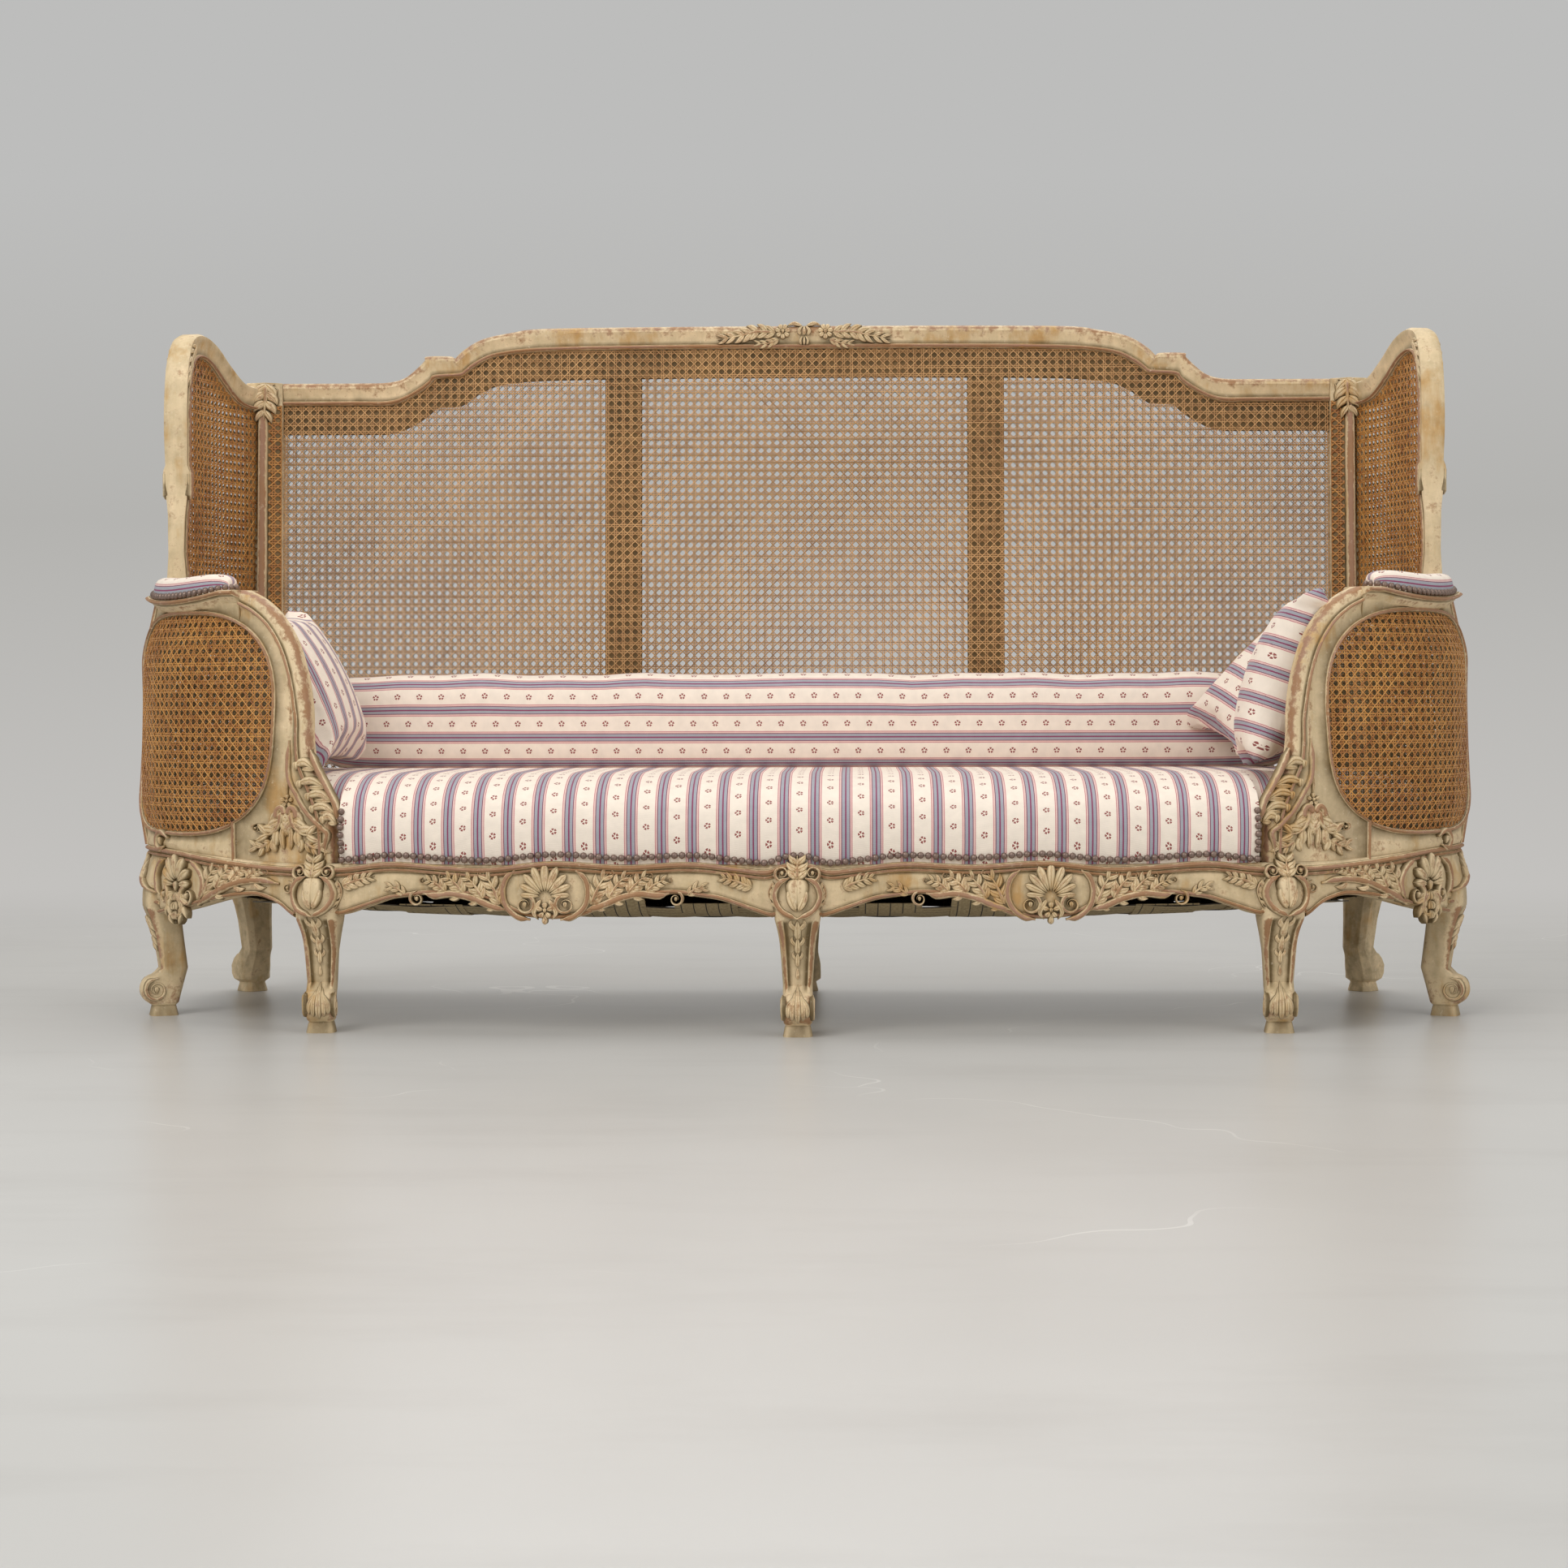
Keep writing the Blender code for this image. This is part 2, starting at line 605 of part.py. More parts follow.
def corner_ring(place, height, half_thick, front, back, proud):
    """Return an eight-point section of the back corner behind the end of a side wall."""
    inner = on_wall(place + GAP, height, -half_thick)
    outer = on_wall(place + GAP, height, half_thick)
    side = BACK_HALF + GAP
    far = Vector((outer.x - proud, back, height))
    near_side = Vector((side, back, height))
    front_side = Vector((side, front, height))
    return [inner, (inner + outer) / 2, outer, (outer + far) / 2, far, near_side,
            (near_side + front_side) / 2, front_side]


def flat_area(ring):
    """Return a ring's signed area in plan."""
    return sum(ring[k - 1].x * point.y - point.x * ring[k - 1].y
               for k, point in enumerate(ring)) / 2


def in_step(section, guide):
    """Return a section's points in the order that twists least against a guide ring."""
    count = len(guide)
    if flat_area(section) * flat_area(guide) < 0:
        section = section[::-1]

    def twist(start):
        return sum((section[(start + k) % count].xy - guide[k].xy).length for k in range(count))

    start = min(range(count), key=twist)
    return [section[(start + k) % count] for k in range(count)]


def build_legs():
    """Make the eight legs: three in front, two at the corners, three at the back."""
    lofted_piece("front_leg_centre", leg_rings(0.0, LEG_BLOCK_HALF, RAIL_TOP), PAINT)
    rings = leg_rings(FRONT_LEG, LEG_BLOCK_HALF, rail_top(FRONT_LEG), FRONT_LEG_TURN)
    paired_piece("front_leg", rings, PAINT)
    paired_piece("side_leg", leg_rings(SIDE_LEG, SIDE_BLOCK_HALF, RAIL_TOP + SIDE_RAIL_RISE), PAINT)
    top = rail_top(RAIL_END)
    half = RAIL_THICK / 2
    blocks = [corner_ring(RAIL_END, height, half, BACK_Y - half, BACK_Y + half, 0.0)
              for height in (top, RAIL_ARCH)]
    middle = sum(blocks[0], Vector()) / len(blocks[0])
    _, normal = PLAN.at(RAIL_END)
    spin = Matrix.Rotation(BACK_LEG_TURN, 2)
    outwards = spin @ normal
    along = Vector((-outwards.y, outwards.x))
    rings = list(blocks)
    for height, half_wide, front, back in leg_levels():
        section = []
        for step, depth in octagon(half_wide, front, back):
            flat = along * step + outwards * depth
            section.append(Vector((middle.x + flat.x, middle.y + flat.y, height)))
        rings.append(section)
    turned = [rings[0], rings[1]] + [in_step(section, rings[1]) for section in rings[2:]]
    paired_piece("back_leg", turned, PAINT)
    rings = []
    for ring in leg_rings(0.0, LEG_BLOCK_HALF, top, centre=Vector((0.0, -BACK_Y))):
        rings.append([Vector((-point.x, -point.y, point.z)) for point in ring])
    lofted_piece("back_leg_centre", rings, PAINT)


def build_arms():
    """Make the members round each arm's oval: front post, top, bottom and rear post."""
    high, low = 0, POST_STEPS
    far_low, far_high = POST_STEPS + RAIL_STEPS, 2 * POST_STEPS + RAIL_STEPS
    foot = rail_top(FRONT_LEG) + GAP
    half = WALL_THICK / 2

    inner = oval_run(low, high)
    inner = [(inner[0][0], rail_top(inner[0][0]) + GAP)] + inner
    edge = oval(math.pi)[0]
    outer = spread([(edge - POST_WIDTH * across, foot + (ARM_TOP - foot) * rise)
                    for across, rise in POST_SHARES], len(inner))
    outer[-1] = (inner[-1][0], arm_top(inner[-1][0]))
    rings = member(on_wall, inner, outer, FRAME_PROFILE_SHARES, half)
    paired_piece("arm_front_post", rings, PAINT)

    lower = draw_in(oval_run(far_high + RAIL_STEPS, far_high))
    rings = member(on_wall, lower, [(place, arm_top(place)) for place, _ in lower],
                   PLATFORM_PROFILE_SHARES, half)
    paired_piece("arm_top_rail", rings, PAINT)

    upper = draw_in(oval_run(low, far_low))
    rings = member(on_wall, upper, [(place, rail_top(place) + GAP) for place, _ in upper],
                   FRAME_PROFILE_SHARES, half)
    paired_piece("arm_bottom_rail", rings, PAINT)

    inner = oval_run(far_low, far_high)
    inner = [(inner[0][0], rail_top(inner[0][0]) + GAP)] + inner + [(inner[-1][0], ARM_TOP)]
    rear = WING_POST + WING_WIDTH / 2
    outer = [(rear, height) for _, height in inner]
    rings = member(on_wall, inner, outer, PLAIN_PROFILE_SHARES, half)
    paired_piece("arm_rear_post", rings, PAINT)


def draw_in(run):
    """Shorten a run of points by a gap at both ends, along the wall."""
    run = [list(point) for point in run]
    run[0][0] += GAP
    run[-1][0] -= GAP
    return run


def side_end(height):
    """Return the plan length at which the side wall meets the raked back stile."""
    return PLAN.where(1, back_plane(height) - BACK_THICK / 2 - STILE_LIP, SIDE_LEG)


def build_wings():
    """Make the wing frames, which rise from the arms and curl over to the back."""
    depth = side_end(WING_END_HEIGHT) - WING_POST
    line = spread([(WING_POST + depth * across, ARM_TOP + GAP + (WING_TOP - ARM_TOP) * rise)
                   for across, rise in WING_SHARES], 24)
    line = [np.array(point) for point in line]
    inner, outer = [], []
    for index, point in enumerate(line):
        before = line[max(index - 1, 0)]
        behind = line[min(index + 1, len(line) - 1)]
        run = (behind - before) / np.linalg.norm(behind - before)
        side = np.array((run[1], -run[0])) * WING_WIDTH / 2
        inner.append(point + side)
        outer.append(point - side)
    inner[0][1] = outer[0][1] = ARM_TOP + GAP
    for edge in (inner, outer):
        edge[-1][0] = side_end(edge[-1][1]) - GAP
    halves = [WING_THICK / 2 * interpolate(WING_HALF_SHARES, (point[1] - ARM_TOP) / (WING_TOP - ARM_TOP))
              for point in line]
    rings = member(on_wall, inner, outer, FRAME_PROFILE_SHARES, halves)
    paired_piece("wing_frame", rings, PAINT)
    return inner


def build_wing_rails():
    """Make the rails that carry the foot of each wing's cane."""
    start = WING_POST + WING_WIDTH / 2 + GAP
    foot = rail_top(SIDE_LEG) + GAP
    end = side_end(foot) - GAP
    lower = [(start + (end - start) * share, foot) for share in np.linspace(0, 1, 7)]
    upper = [(place, foot + WING_RAIL_HEIGHT) for place, _ in lower]
    rings = member(on_wall, lower, upper, FRAME_PROFILE_SHARES, WALL_THICK / 2)
    paired_piece("wing_bottom_rail", rings, PAINT)


def build_stiles():
    """Make the back corner stiles between the wings and the back."""
    foot = rail_top(RAIL_END) + GAP
    half = BACK_THICK / 2
    rings = []
    for height in np.linspace(foot, CREST_LOW, 9):
        middle = back_plane(height)
        rings.append(corner_ring(side_end(height), height, WALL_THICK / 2, middle - half,
                                 middle + half, STILE_LIP))
    paired_piece("back_stile", rings, PAINT)


def crest_edges():
    """Return the crest rail's lower and upper edges from left to right."""
    rise = CREST_HIGH - CREST_LOW
    right_upper = [(BACK_HALF * row[0], CREST_LOW + rise * row[1]) for row in CREST_SHARES]
    right_lower = [(BACK_HALF * row[2], CREST_LOW - CREST_HEIGHT + rise * row[3])
                   for row in CREST_SHARES]
    edges = []
    for edge in (right_lower, right_upper):
        edges.append([(-x, z) for x, z in edge[:-1]] + edge[::-1])
    return edges


def build_back():
    """Make the crest, the bottom rail, the muntins and the lining of the back."""
    lower, upper = crest_edges()
    for edge in (lower, upper):
        edge[0] = (edge[0][0] + GAP, edge[0][1])
        edge[-1] = (edge[-1][0] - GAP, edge[-1][1])
    rings = member(on_back, lower, upper, CREST_PROFILE_SHARES, BACK_THICK / 2)
    lofted_piece("crest_rail", rings, PAINT)

    foot = rail_top(RAIL_END) + GAP
    head = foot + BOTTOM_RAIL_HEIGHT
    ends = (-BACK_HALF + GAP, BACK_HALF - GAP)
    rings = member(on_back, [(x, foot) for x in ends], [(x, head) for x in ends],
                   CREST_PROFILE_SHARES, BACK_THICK / 2)
    lofted_piece("back_bottom_rail", rings, PAINT)

    lining = [(x, z - LINING_WIDTH) for x, z in lower]
    under = [(x, z - GAP) for x, z in lower]
    rings = member(on_back, lining, under, PLAIN_PROFILE_SHARES, LINING_THICK / 2)
    lofted_piece("back_top_lining", rings, PAINT)

    for side, name in ((-1, "left"), (1, "right")):
        places = [side * MUNTIN_PLACE - MUNTIN_WIDTH / 2, side * MUNTIN_PLACE + MUNTIN_WIDTH / 2]
        tops = [interpolate(lining, place) - GAP for place in places]
        rings = member(on_back, [(place, head + GAP) for place in places],
                       list(zip(places, tops)), PLAIN_PROFILE_SHARES, LINING_THICK / 2)
        lofted_piece("back_muntin_" + name, rings, PAINT)

    for name, depth in (("back_cane_front", CANE_OFFSET), ("back_cane_rear", -CANE_OFFSET)):
        profile = [(across, share * CANE_THICK / BACK_THICK + depth / (BACK_THICK / 2))
                   for across, share in PLAIN_PROFILE_SHARES]
        rings = member(on_back, [(x, head + GAP) for x, _ in under], under, profile,
                       BACK_THICK / 2)
        lofted_piece(name, rings, CANE if depth > 0 else CANE_DARK)


def cane_profile(depth, thick):
    """Return a thin sheet's profile at a depth in a frame of the given thickness."""
    across = np.linspace(0, 1, CANE_STEPS + 1)
    loop = [(share, 1.0) for share in across] + [(share, -1.0) for share in across[::-1]]
    return [(share, (side * CANE_THICK / 2 + depth) / (thick / 2)) for share, side in loop]


def build_side_cane(wing_inner):
    """Make the caned sheets of the arms and the wings, on both faces of the frames."""
    layers = (("outer", CANE_OFFSET, CANE), ("inner", -CANE_OFFSET, CANE_DARK))
    turns = [turn for turn in oval_turns() if math.pi + SMALL_TURN < turn < 2 * math.pi - SMALL_TURN]
    lower = [oval(turn, -GAP) for turn in turns]
    upper = [(place, 2 * OVAL_MIDDLE - height) for place, height in lower]
    for label, depth, finish in layers:
        rings = member(on_wall, lower, upper, cane_profile(depth, WALL_THICK), WALL_THICK / 2)
        paired_piece("arm_cane_" + label, rings, finish)

    start = WING_POST + WING_WIDTH / 2 + GAP
    foot = rail_top(SIDE_LEG) + 2 * GAP + WING_RAIL_HEIGHT
    edge = [tuple(point) for point in wing_inner]
    peak = max(range(len(edge)), key=lambda index: edge[index][1])
    rising = sorted((height - GAP, place + GAP) for place, height in edge[:peak + 1])
    falling = sorted((height - GAP, place - GAP) for place, height in edge[peak:])
    heights = [foot, ARM_TOP] + sorted({height for height, _ in rising + falling})
    lower, upper = [], []
    for height in heights:
        end = side_end(height) - GAP
        if height >= falling[0][0]:
            end = min(end, interpolate(falling, height))
        place = max(start, interpolate(rising, height)) if height > ARM_TOP else start
        lower.append((place, height))
        upper.append((max(end, place + GAP), height))
    for label, depth, finish in layers:
        rings = member(on_wall, lower, upper, cane_profile(depth, WALL_THICK), WALL_THICK / 2)
        paired_piece("wing_cane_" + label, rings, finish)


def seat_outline(count_front, count_side):
    """Return plan points of the right half of the seat, from the middle front to the back."""
    post = oval(math.pi)[0] - POST_WIDTH * POST_SHARES[0][0]
    front_end = post - SEAT_BULGE - SEAT_SIDE_CLEARANCE
    inner = WALL_THICK / 2 + SEAT_BULGE + SEAT_SIDE_CLEARANCE
    points = []
    for place in np.linspace(0, front_end, count_front):
        point, normal = PLAN.at(place)
        points.append(point + normal * (RAIL_THICK / 2 - SEAT_INSET))
    for place in np.linspace(front_end, side_end(RAIL_TOP), count_side):
        point, normal = PLAN.at(place)
        points.append(point - normal * inner)
    back = BACK_Y - BACK_THICK / 2 - SEAT_BULGE - SEAT_SIDE_CLEARANCE
    points[-1].y = back
    points.append(Vector((0.0, back)))
    return points


def full_outline():
    """Return the seat's whole plan outline as a closed loop, and the rail tops along it."""
    right = seat_outline(11, 9)
    left = [Vector((-point.x, point.y)) for point in right[1:-1]]
    side_top = rail_top(SIDE_LEG) + GAP
    feet = [RAIL_TOP + GAP] * 11 + [side_top] * 10
    return right + left[::-1], feet + feet[1:-1][::-1]


def shrink(outline, inset):
    """Move an outline inwards by an inset."""
    count = len(outline)
    moved = []
    for index, point in enumerate(outline):
        run = outline[(index + 1) % count] - outline[index - 1]
        normal = Vector((run.y, -run.x)).normalized()
        moved.append(point - normal * inset)
    return moved


def build_seat():
    """Make the domed seat, hollowed underneath for its springs."""
    outline, feet = full_outline()
    pan = shrink(outline, SEAT_WALL + GAP)
    rim = shrink(outline, SEAT_WALL)
    rings = [[Vector((point.x, point.y, PAN_TOP)) for point in pan],
             [Vector((point.x, point.y, foot)) for point, foot in zip(rim, feet)]]
    for inset, rise, crown in SEAT_LEVEL_SHARES:
        ring = []
        for point, foot in zip(shrink(outline, inset * SEAT_BULGE), feet):
            height = foot + (SEAT_SHOULDER - foot) * rise
            ring.append(Vector((point.x, point.y,
                                height + (SEAT_CROWN - SEAT_SHOULDER) * crown)))
        rings.append(ring)
    lofted_piece("seat_upholstery", rings, FABRIC)

    sheet = shrink(outline, SEAT_WALL + 4 * GAP)
    rings = [[Vector((point.x, point.y, height)) for point in sheet]
             for height in (PAN_TOP - GAP - SPRING_CLOTH, PAN_TOP - GAP)]
    lofted_piece("spring_cloth", rings, JUTE)


def web_front(x):
    """Return the front rail's inner face at a place across."""
    place = PLAN.where(0, min(abs(x), FRONT_LEG_X))
    point, normal = PLAN.at(place)
    front = point.y + RAIL_THICK / 2 + WEB_EDGE
    if abs(x) > FRONT_LEG_X:
        beyond = PLAN.where(0, abs(x))
        point, normal = PLAN.at(beyond)
        front = point.y + (RAIL_THICK / 2 + WEB_EDGE) / max(-normal.y, WEB_SLOPE_LIMIT)
    return front


def web_height(x, y, half, front, back):
    """Return the height of the sagging webbing."""
    across = min(abs(x) / half, 1.0)
    along = min(abs(y - (front + back) / 2) / ((back - front) / 2), 1.0)
    return WEB_TOP - WEB_SAG * (1 - across ** 4) * (1 - along ** 4)


def build_webbing():
    """Make the woven webbing as one sheet of crossing strips, and sew the springs on it."""
    back = BACK_Y - RAIL_THICK / 2 - WEB_EDGE
    front = web_front(0.0)
    half = WEB_SPACING * WEB_STRIPS / 2
    columns = []
    for index in range(WEB_STRIPS):
        middle = (index - (WEB_STRIPS - 1) / 2) * WEB_SPACING
        columns += [middle - WEB_WIDTH / 2, middle + WEB_WIDTH / 2]
    spacing = (back - front) / LONG_STRIPS
    lines = []
    for index in range(LONG_STRIPS):
        middle = front + (index + 0.5) * spacing
        lines += [middle - LONG_WIDTH / 2, middle + LONG_WIDTH / 2]

    shape = bmesh.new()
    grid = {}
    for column, x in enumerate(columns):
        start = web_front(x) + (0.0 if abs(x) < FRONT_LEG_X else WEB_SPACING / 4)
        for row, y in enumerate([start] + lines[1:-1] + [back]):
            y = max(y, start + (row * WEB_WIDTH / 4 if row else 0.0))
            height = web_height(x, y, half, front, back)
            grid[column, row] = shape.verts.new((x, y, height))
    for column in range(len(columns) - 1):
        for row in range(len(lines) - 1):
            if column % 2 == 0 or row % 2 == 0:
                shape.faces.new((grid[column, row], grid[column + 1, row],
                                 grid[column + 1, row + 1], grid[column, row + 1]))
    mesh = bpy.data.meshes.new("spring_webbing")
    shape.to_mesh(mesh)
    shape.free()
    piece = add_piece("spring_webbing", mesh, JUTE)
    cloth = piece.modifiers.new("Thickness", "SOLIDIFY")
    cloth.thickness = WEB_THICK
    cloth.offset = 1.0
    sewn = piece.modifiers.new("Sewn springs", "BOOLEAN")
    sewn.operation = "UNION"
    sewn.solver = "EXACT"
    sewn.object = build_springs(half, front, back)


def build_springs(half, front, back):
    """Make the hourglass springs whose lowest coils are sewn into the webbing."""
    curve = bpy.data.curves.new("seat_springs", "CURVE")
    curve.dimensions = "3D"
    curve.bevel_depth = WIRE / 2
    curve.bevel_resolution = 0
    curve.use_fill_caps = True
    high = PAN_TOP - SPRING_CLOTH - 2 * GAP - WIRE / 2
    steps = SPRING_TURNS * SPRING_POINTS
    for x in (strip * WEB_SPACING for strip in SPRING_COLUMNS):
        for y in (front + (back - front) * share for share in SPRING_ROW_SHARES):
            low = web_height(x + SPRING_RADIUS, y, half, front, back) + WEB_THICK / 2
            spline = curve.splines.new("POLY")
            spline.points.add(steps)
            for step, point in enumerate(spline.points):
                part = step / steps
                flare = abs(step - steps / 2) / (steps / 2)
                radius = SPRING_WAIST + (SPRING_RADIUS - SPRING_WAIST) * flare ** 2
                turn = 2 * math.pi * step / SPRING_POINTS
                rise = low + (high - low) * part
                point.co = (x + radius * math.cos(turn), y + radius * math.sin(turn), rise, 1.0)
    tubes = bpy.data.objects.new("seat_springs", curve)
    bpy.data.collections[NAME].objects.link(tubes)
    mesh = bpy.data.meshes.new_from_object(
        tubes.evaluated_get(bpy.context.evaluated_depsgraph_get()))
    bpy.data.objects.remove(tubes)
    shape = bmesh.new()
    shape.from_mesh(mesh)
    bmesh.ops.remove_doubles(shape, verts=shape.verts, dist=GAP / 10)
    bmesh.ops.recalc_face_normals(shape, faces=shape.faces)
    shape.to_mesh(mesh)
    shape.free()
    springs = bpy.data.objects.new("sewn_springs", mesh)
    mesh.materials.clear()
    mesh.materials.append(make_material(STEEL))
    bpy.data.collections[NAME + "_cutters"].objects.link(springs)
    springs.hide_render = True
    springs.display_type = "WIRE"
    return springs


def pad_half(share):
    """Return the arm pad's half width at a share of its half length."""
    return PAD_HALF_WIDTH * math.sqrt(max(1 - abs(share) ** 3, 0) * 0.9 + 0.1)


def build_pads():
    """Make the stuffed pads on the arms."""
    shares = [-1, -0.95, -0.8, -0.55, -0.28, 0, 0.28, 0.55, 0.8, 0.95, 1]
    places = [PAD_CENTRE + PAD_HALF_LENGTH * share for share in shares]
    lower = [(place, arm_top(place) + 3 * GAP) for place in places]
    upper = [(place, arm_top(place) + 3 * GAP + PAD_HEIGHT * (0.42 + 0.58 * math.sqrt(1 - share ** 4)))
             for place, share in zip(places, shares)]
    halves = [pad_half(share) for share in shares]
    rings = member(on_wall, lower, upper, PAD_PROFILE_SHARES, halves)
    paired_piece("arm_pad", rings, FABRIC)


def surface(name):
    """Return a piece's surface as a tree that can be tested against others."""
    mesh = bpy.data.objects[name].data
    mesh.calc_loop_triangles()
    return BVHTree.FromPolygons([vertex.co for vertex in mesh.vertices],
                                [face.vertices for face in mesh.loop_triangles])


def rest_on(name, beds, direction):
    """Slide a piece in a direction until it lies a small clearance off other pieces.

    Two loose pieces keep a wider clearance, because each is weighed and stopped by its taut hull.
    """
    way = Vector(direction)
    mesh = bpy.data.objects[name].data
    own = surface(name)
    travel = [HALF_LENGTH]
    for bed in beds:
        clearance = LOOSE_CLEARANCE if bed in LOOSE else REST_CLEARANCE
        for vertices, other, sense in ((mesh.vertices, surface(bed), way),
                                       (bpy.data.objects[bed].data.vertices, own, -way)):
            for vertex in vertices:
                hit = other.ray_cast(vertex.co, sense)
                if hit[0] is not None:
                    travel.append(hit[3] - clearance)
    mesh.transform(Matrix.Translation(way * min(travel)))
    while any(surface(name).overlap(surface(bed)) for bed in beds):
        mesh.transform(Matrix.Translation(-way * REST_CLEARANCE))


def build_bolster():
    """Make the long back cushion that lies on the seat against the back."""
    rings = []
    centre = BACK_Y - BACK_THICK / 2 - BOLSTER_BACK_GAP - BOLSTER_DEPTH / 2
    for share in (-1, -0.985, -0.94, -0.8, -0.5, 0, 0.5, 0.8, 0.94, 0.985, 1):
        size = math.sqrt(max(1 - abs(share) ** 24, 0)) * 0.75 + 0.25
        ring = []
        for index in range(BOLSTER_SIDES):
            turn = 2 * math.pi * (index + 0.5) / BOLSTER_SIDES
            cosine, sine = math.cos(turn), math.sin(turn)
            wide = math.copysign(abs(cosine) ** 0.62, cosine)
            high = math.copysign(abs(sine) ** 0.62, sine)
            ring.append(Vector((BOLSTER_HALF * share, centre + BOLSTER_DEPTH / 2 * wide * size,
                                SEAT_CROWN + BOLSTER_HEIGHT + BOLSTER_HEIGHT / 2 * high * size)))
        rings.append(ring)
    lofted_piece("bolster", rings, FABRIC)
    rest_on("bolster", ["seat_upholstery"], DOWN)


def pillow_mesh(name, wide, high):
    """Return one face of a cushion in its own plane, with a crown and drawn-in sides."""
    shape = bmesh.new()
    bmesh.ops.create_grid(shape, x_segments=PILLOW_CELLS, y_segments=PILLOW_CELLS, size=1.0)
    for vertex in shape.verts:
        a, b = vertex.co.x, vertex.co.y
        crown = ((1 - a ** 2) * (1 - b ** 2)) ** 0.45
        vertex.co = Vector((a * (wide / 2 - CUSHION_PINCH * (1 - b ** 2)),
                            b * (high / 2 - CUSHION_PINCH * (1 - a ** 2)),
                            CUSHION_THICK / 2 * crown))
    mesh = bpy.data.meshes.new(name)
    shape.to_mesh(mesh)
    shape.free()
    return mesh


def build_cushions():
    """Make the loose square cushions: one at the left arm and two at the right."""
    for name, (across, deep, rise), (wide, high), upwards, facing, slides, beds in CUSHIONS:
        mesh = pillow_mesh(name, wide * CUSHION_SIDE, high * CUSHION_SIDE)
        piece = add_piece(name, mesh, FABRIC)
        mirror = piece.modifiers.new("Mirror", "MIRROR")
        mirror.use_axis = (False, False, True)
        mirror.merge_threshold = GAP / 10
        whole = bpy.data.meshes.new_from_object(
            piece.evaluated_get(bpy.context.evaluated_depsgraph_get()))
        piece.modifiers.clear()
        piece.data = whole
        bpy.data.meshes.remove(mesh)
        whole.name = name
        normal = Vector(facing).normalized()
        side = Vector(upwards).cross(normal).normalized()
        turn = Matrix((side, normal.cross(side), normal)).transposed().to_4x4()
        centre = Vector((across * HALF_LENGTH, deep * HALF_DEPTH, SEAT_CROWN + rise * CUSHION_SIDE))
        whole.transform(Matrix.Translation(centre) @ turn)
        for direction in slides:
            rest_on(name, ["seat_upholstery", *beds], direction)


def centre_on_origin():
    """Move the sofa forwards or back until the origin lies under its middle."""
    pieces = list(bpy.data.collections[NAME].objects)
    bpy.context.view_layer.update()
    depths = [corner[1] for piece in pieces for corner in piece.bound_box]
    shift = Matrix.Translation((0.0, -(min(depths) + max(depths)) / 2, 0.0))
    for piece in pieces + list(bpy.data.collections[NAME + "_cutters"].objects):
        piece.data.transform(shift)


def main():
    """Build the sofa."""
    clear_scene()
    make_collection()
    build_front_rails()
    build_side_rails()
    build_back_rails()
    build_legs()
    build_arms()
    wing_inner = build_wings()
    build_wing_rails()
    build_stiles()
    build_back()
    build_side_cane(wing_inner)
    build_seat()
    build_webbing()
    build_pads()
    build_bolster()
    build_cushions()
    centre_on_origin()


main()
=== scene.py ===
"""Dress the caned rococo wing sofa: carved painted frame, cane, striped cotton, nails and springs.

Origin on the floor under the middle of the sofa, +X to the right seen from the front, +Y to the
back, +Z up. Lengths are in metres.
"""
import logging
import math
from dataclasses import dataclass, field
from enum import Enum
from typing import Any, Callable, Iterable, Sequence

import bmesh
import bpy
import numpy as np
from mathutils import Matrix, Vector


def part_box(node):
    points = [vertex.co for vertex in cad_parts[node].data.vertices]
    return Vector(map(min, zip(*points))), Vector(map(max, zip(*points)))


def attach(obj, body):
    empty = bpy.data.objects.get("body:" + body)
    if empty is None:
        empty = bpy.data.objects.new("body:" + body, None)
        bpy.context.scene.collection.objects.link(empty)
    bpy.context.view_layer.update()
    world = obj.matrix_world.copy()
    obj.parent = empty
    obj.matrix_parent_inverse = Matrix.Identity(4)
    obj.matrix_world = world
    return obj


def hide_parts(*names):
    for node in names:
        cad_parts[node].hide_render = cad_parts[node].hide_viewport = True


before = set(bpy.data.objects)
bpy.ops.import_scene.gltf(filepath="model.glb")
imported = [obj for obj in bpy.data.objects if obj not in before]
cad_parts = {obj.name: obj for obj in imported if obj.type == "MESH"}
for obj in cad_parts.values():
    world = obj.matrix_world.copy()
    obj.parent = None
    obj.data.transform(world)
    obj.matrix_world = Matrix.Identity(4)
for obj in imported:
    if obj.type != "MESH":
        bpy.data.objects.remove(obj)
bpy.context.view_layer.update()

logging.basicConfig(level=logging.INFO, format="%(message)s")
LOG = logging.getLogger("sofa")

Array = np.ndarray
Surface = Callable[[Array, Array, Array], Array]
Path = Sequence[Sequence[float]]
Tree, Material, Piece = bpy.types.NodeTree, bpy.types.Material, bpy.types.Object


class Side(Enum):
    """The two ends of the sofa, seen from the front."""

    LEFT = -1
    RIGHT = 1

    @property
    def word(self) -> str:
        """Return the side's word in node names."""
        return self.name.lower()


class Slot(Enum):
    """The record's material slots."""

    PAINT = "worn_cream_paint"
    CANE = "golden_cane"
    OLD_CANE = "aged_cane"
    COTTON = "striped_cotton"
    JUTE = "jute_webbing"


class Stroke(Enum):
    """How a carved stroke ends and swells along its length."""

    LEAF = "leaf"
    BAND = "band"
    DROP = "drop"
    TAIL = "tail"


LEAF, BAND, DROP, TAIL = Stroke
# millimetres in a metre; the carving is laid out in millimetres
MM = 1000.0


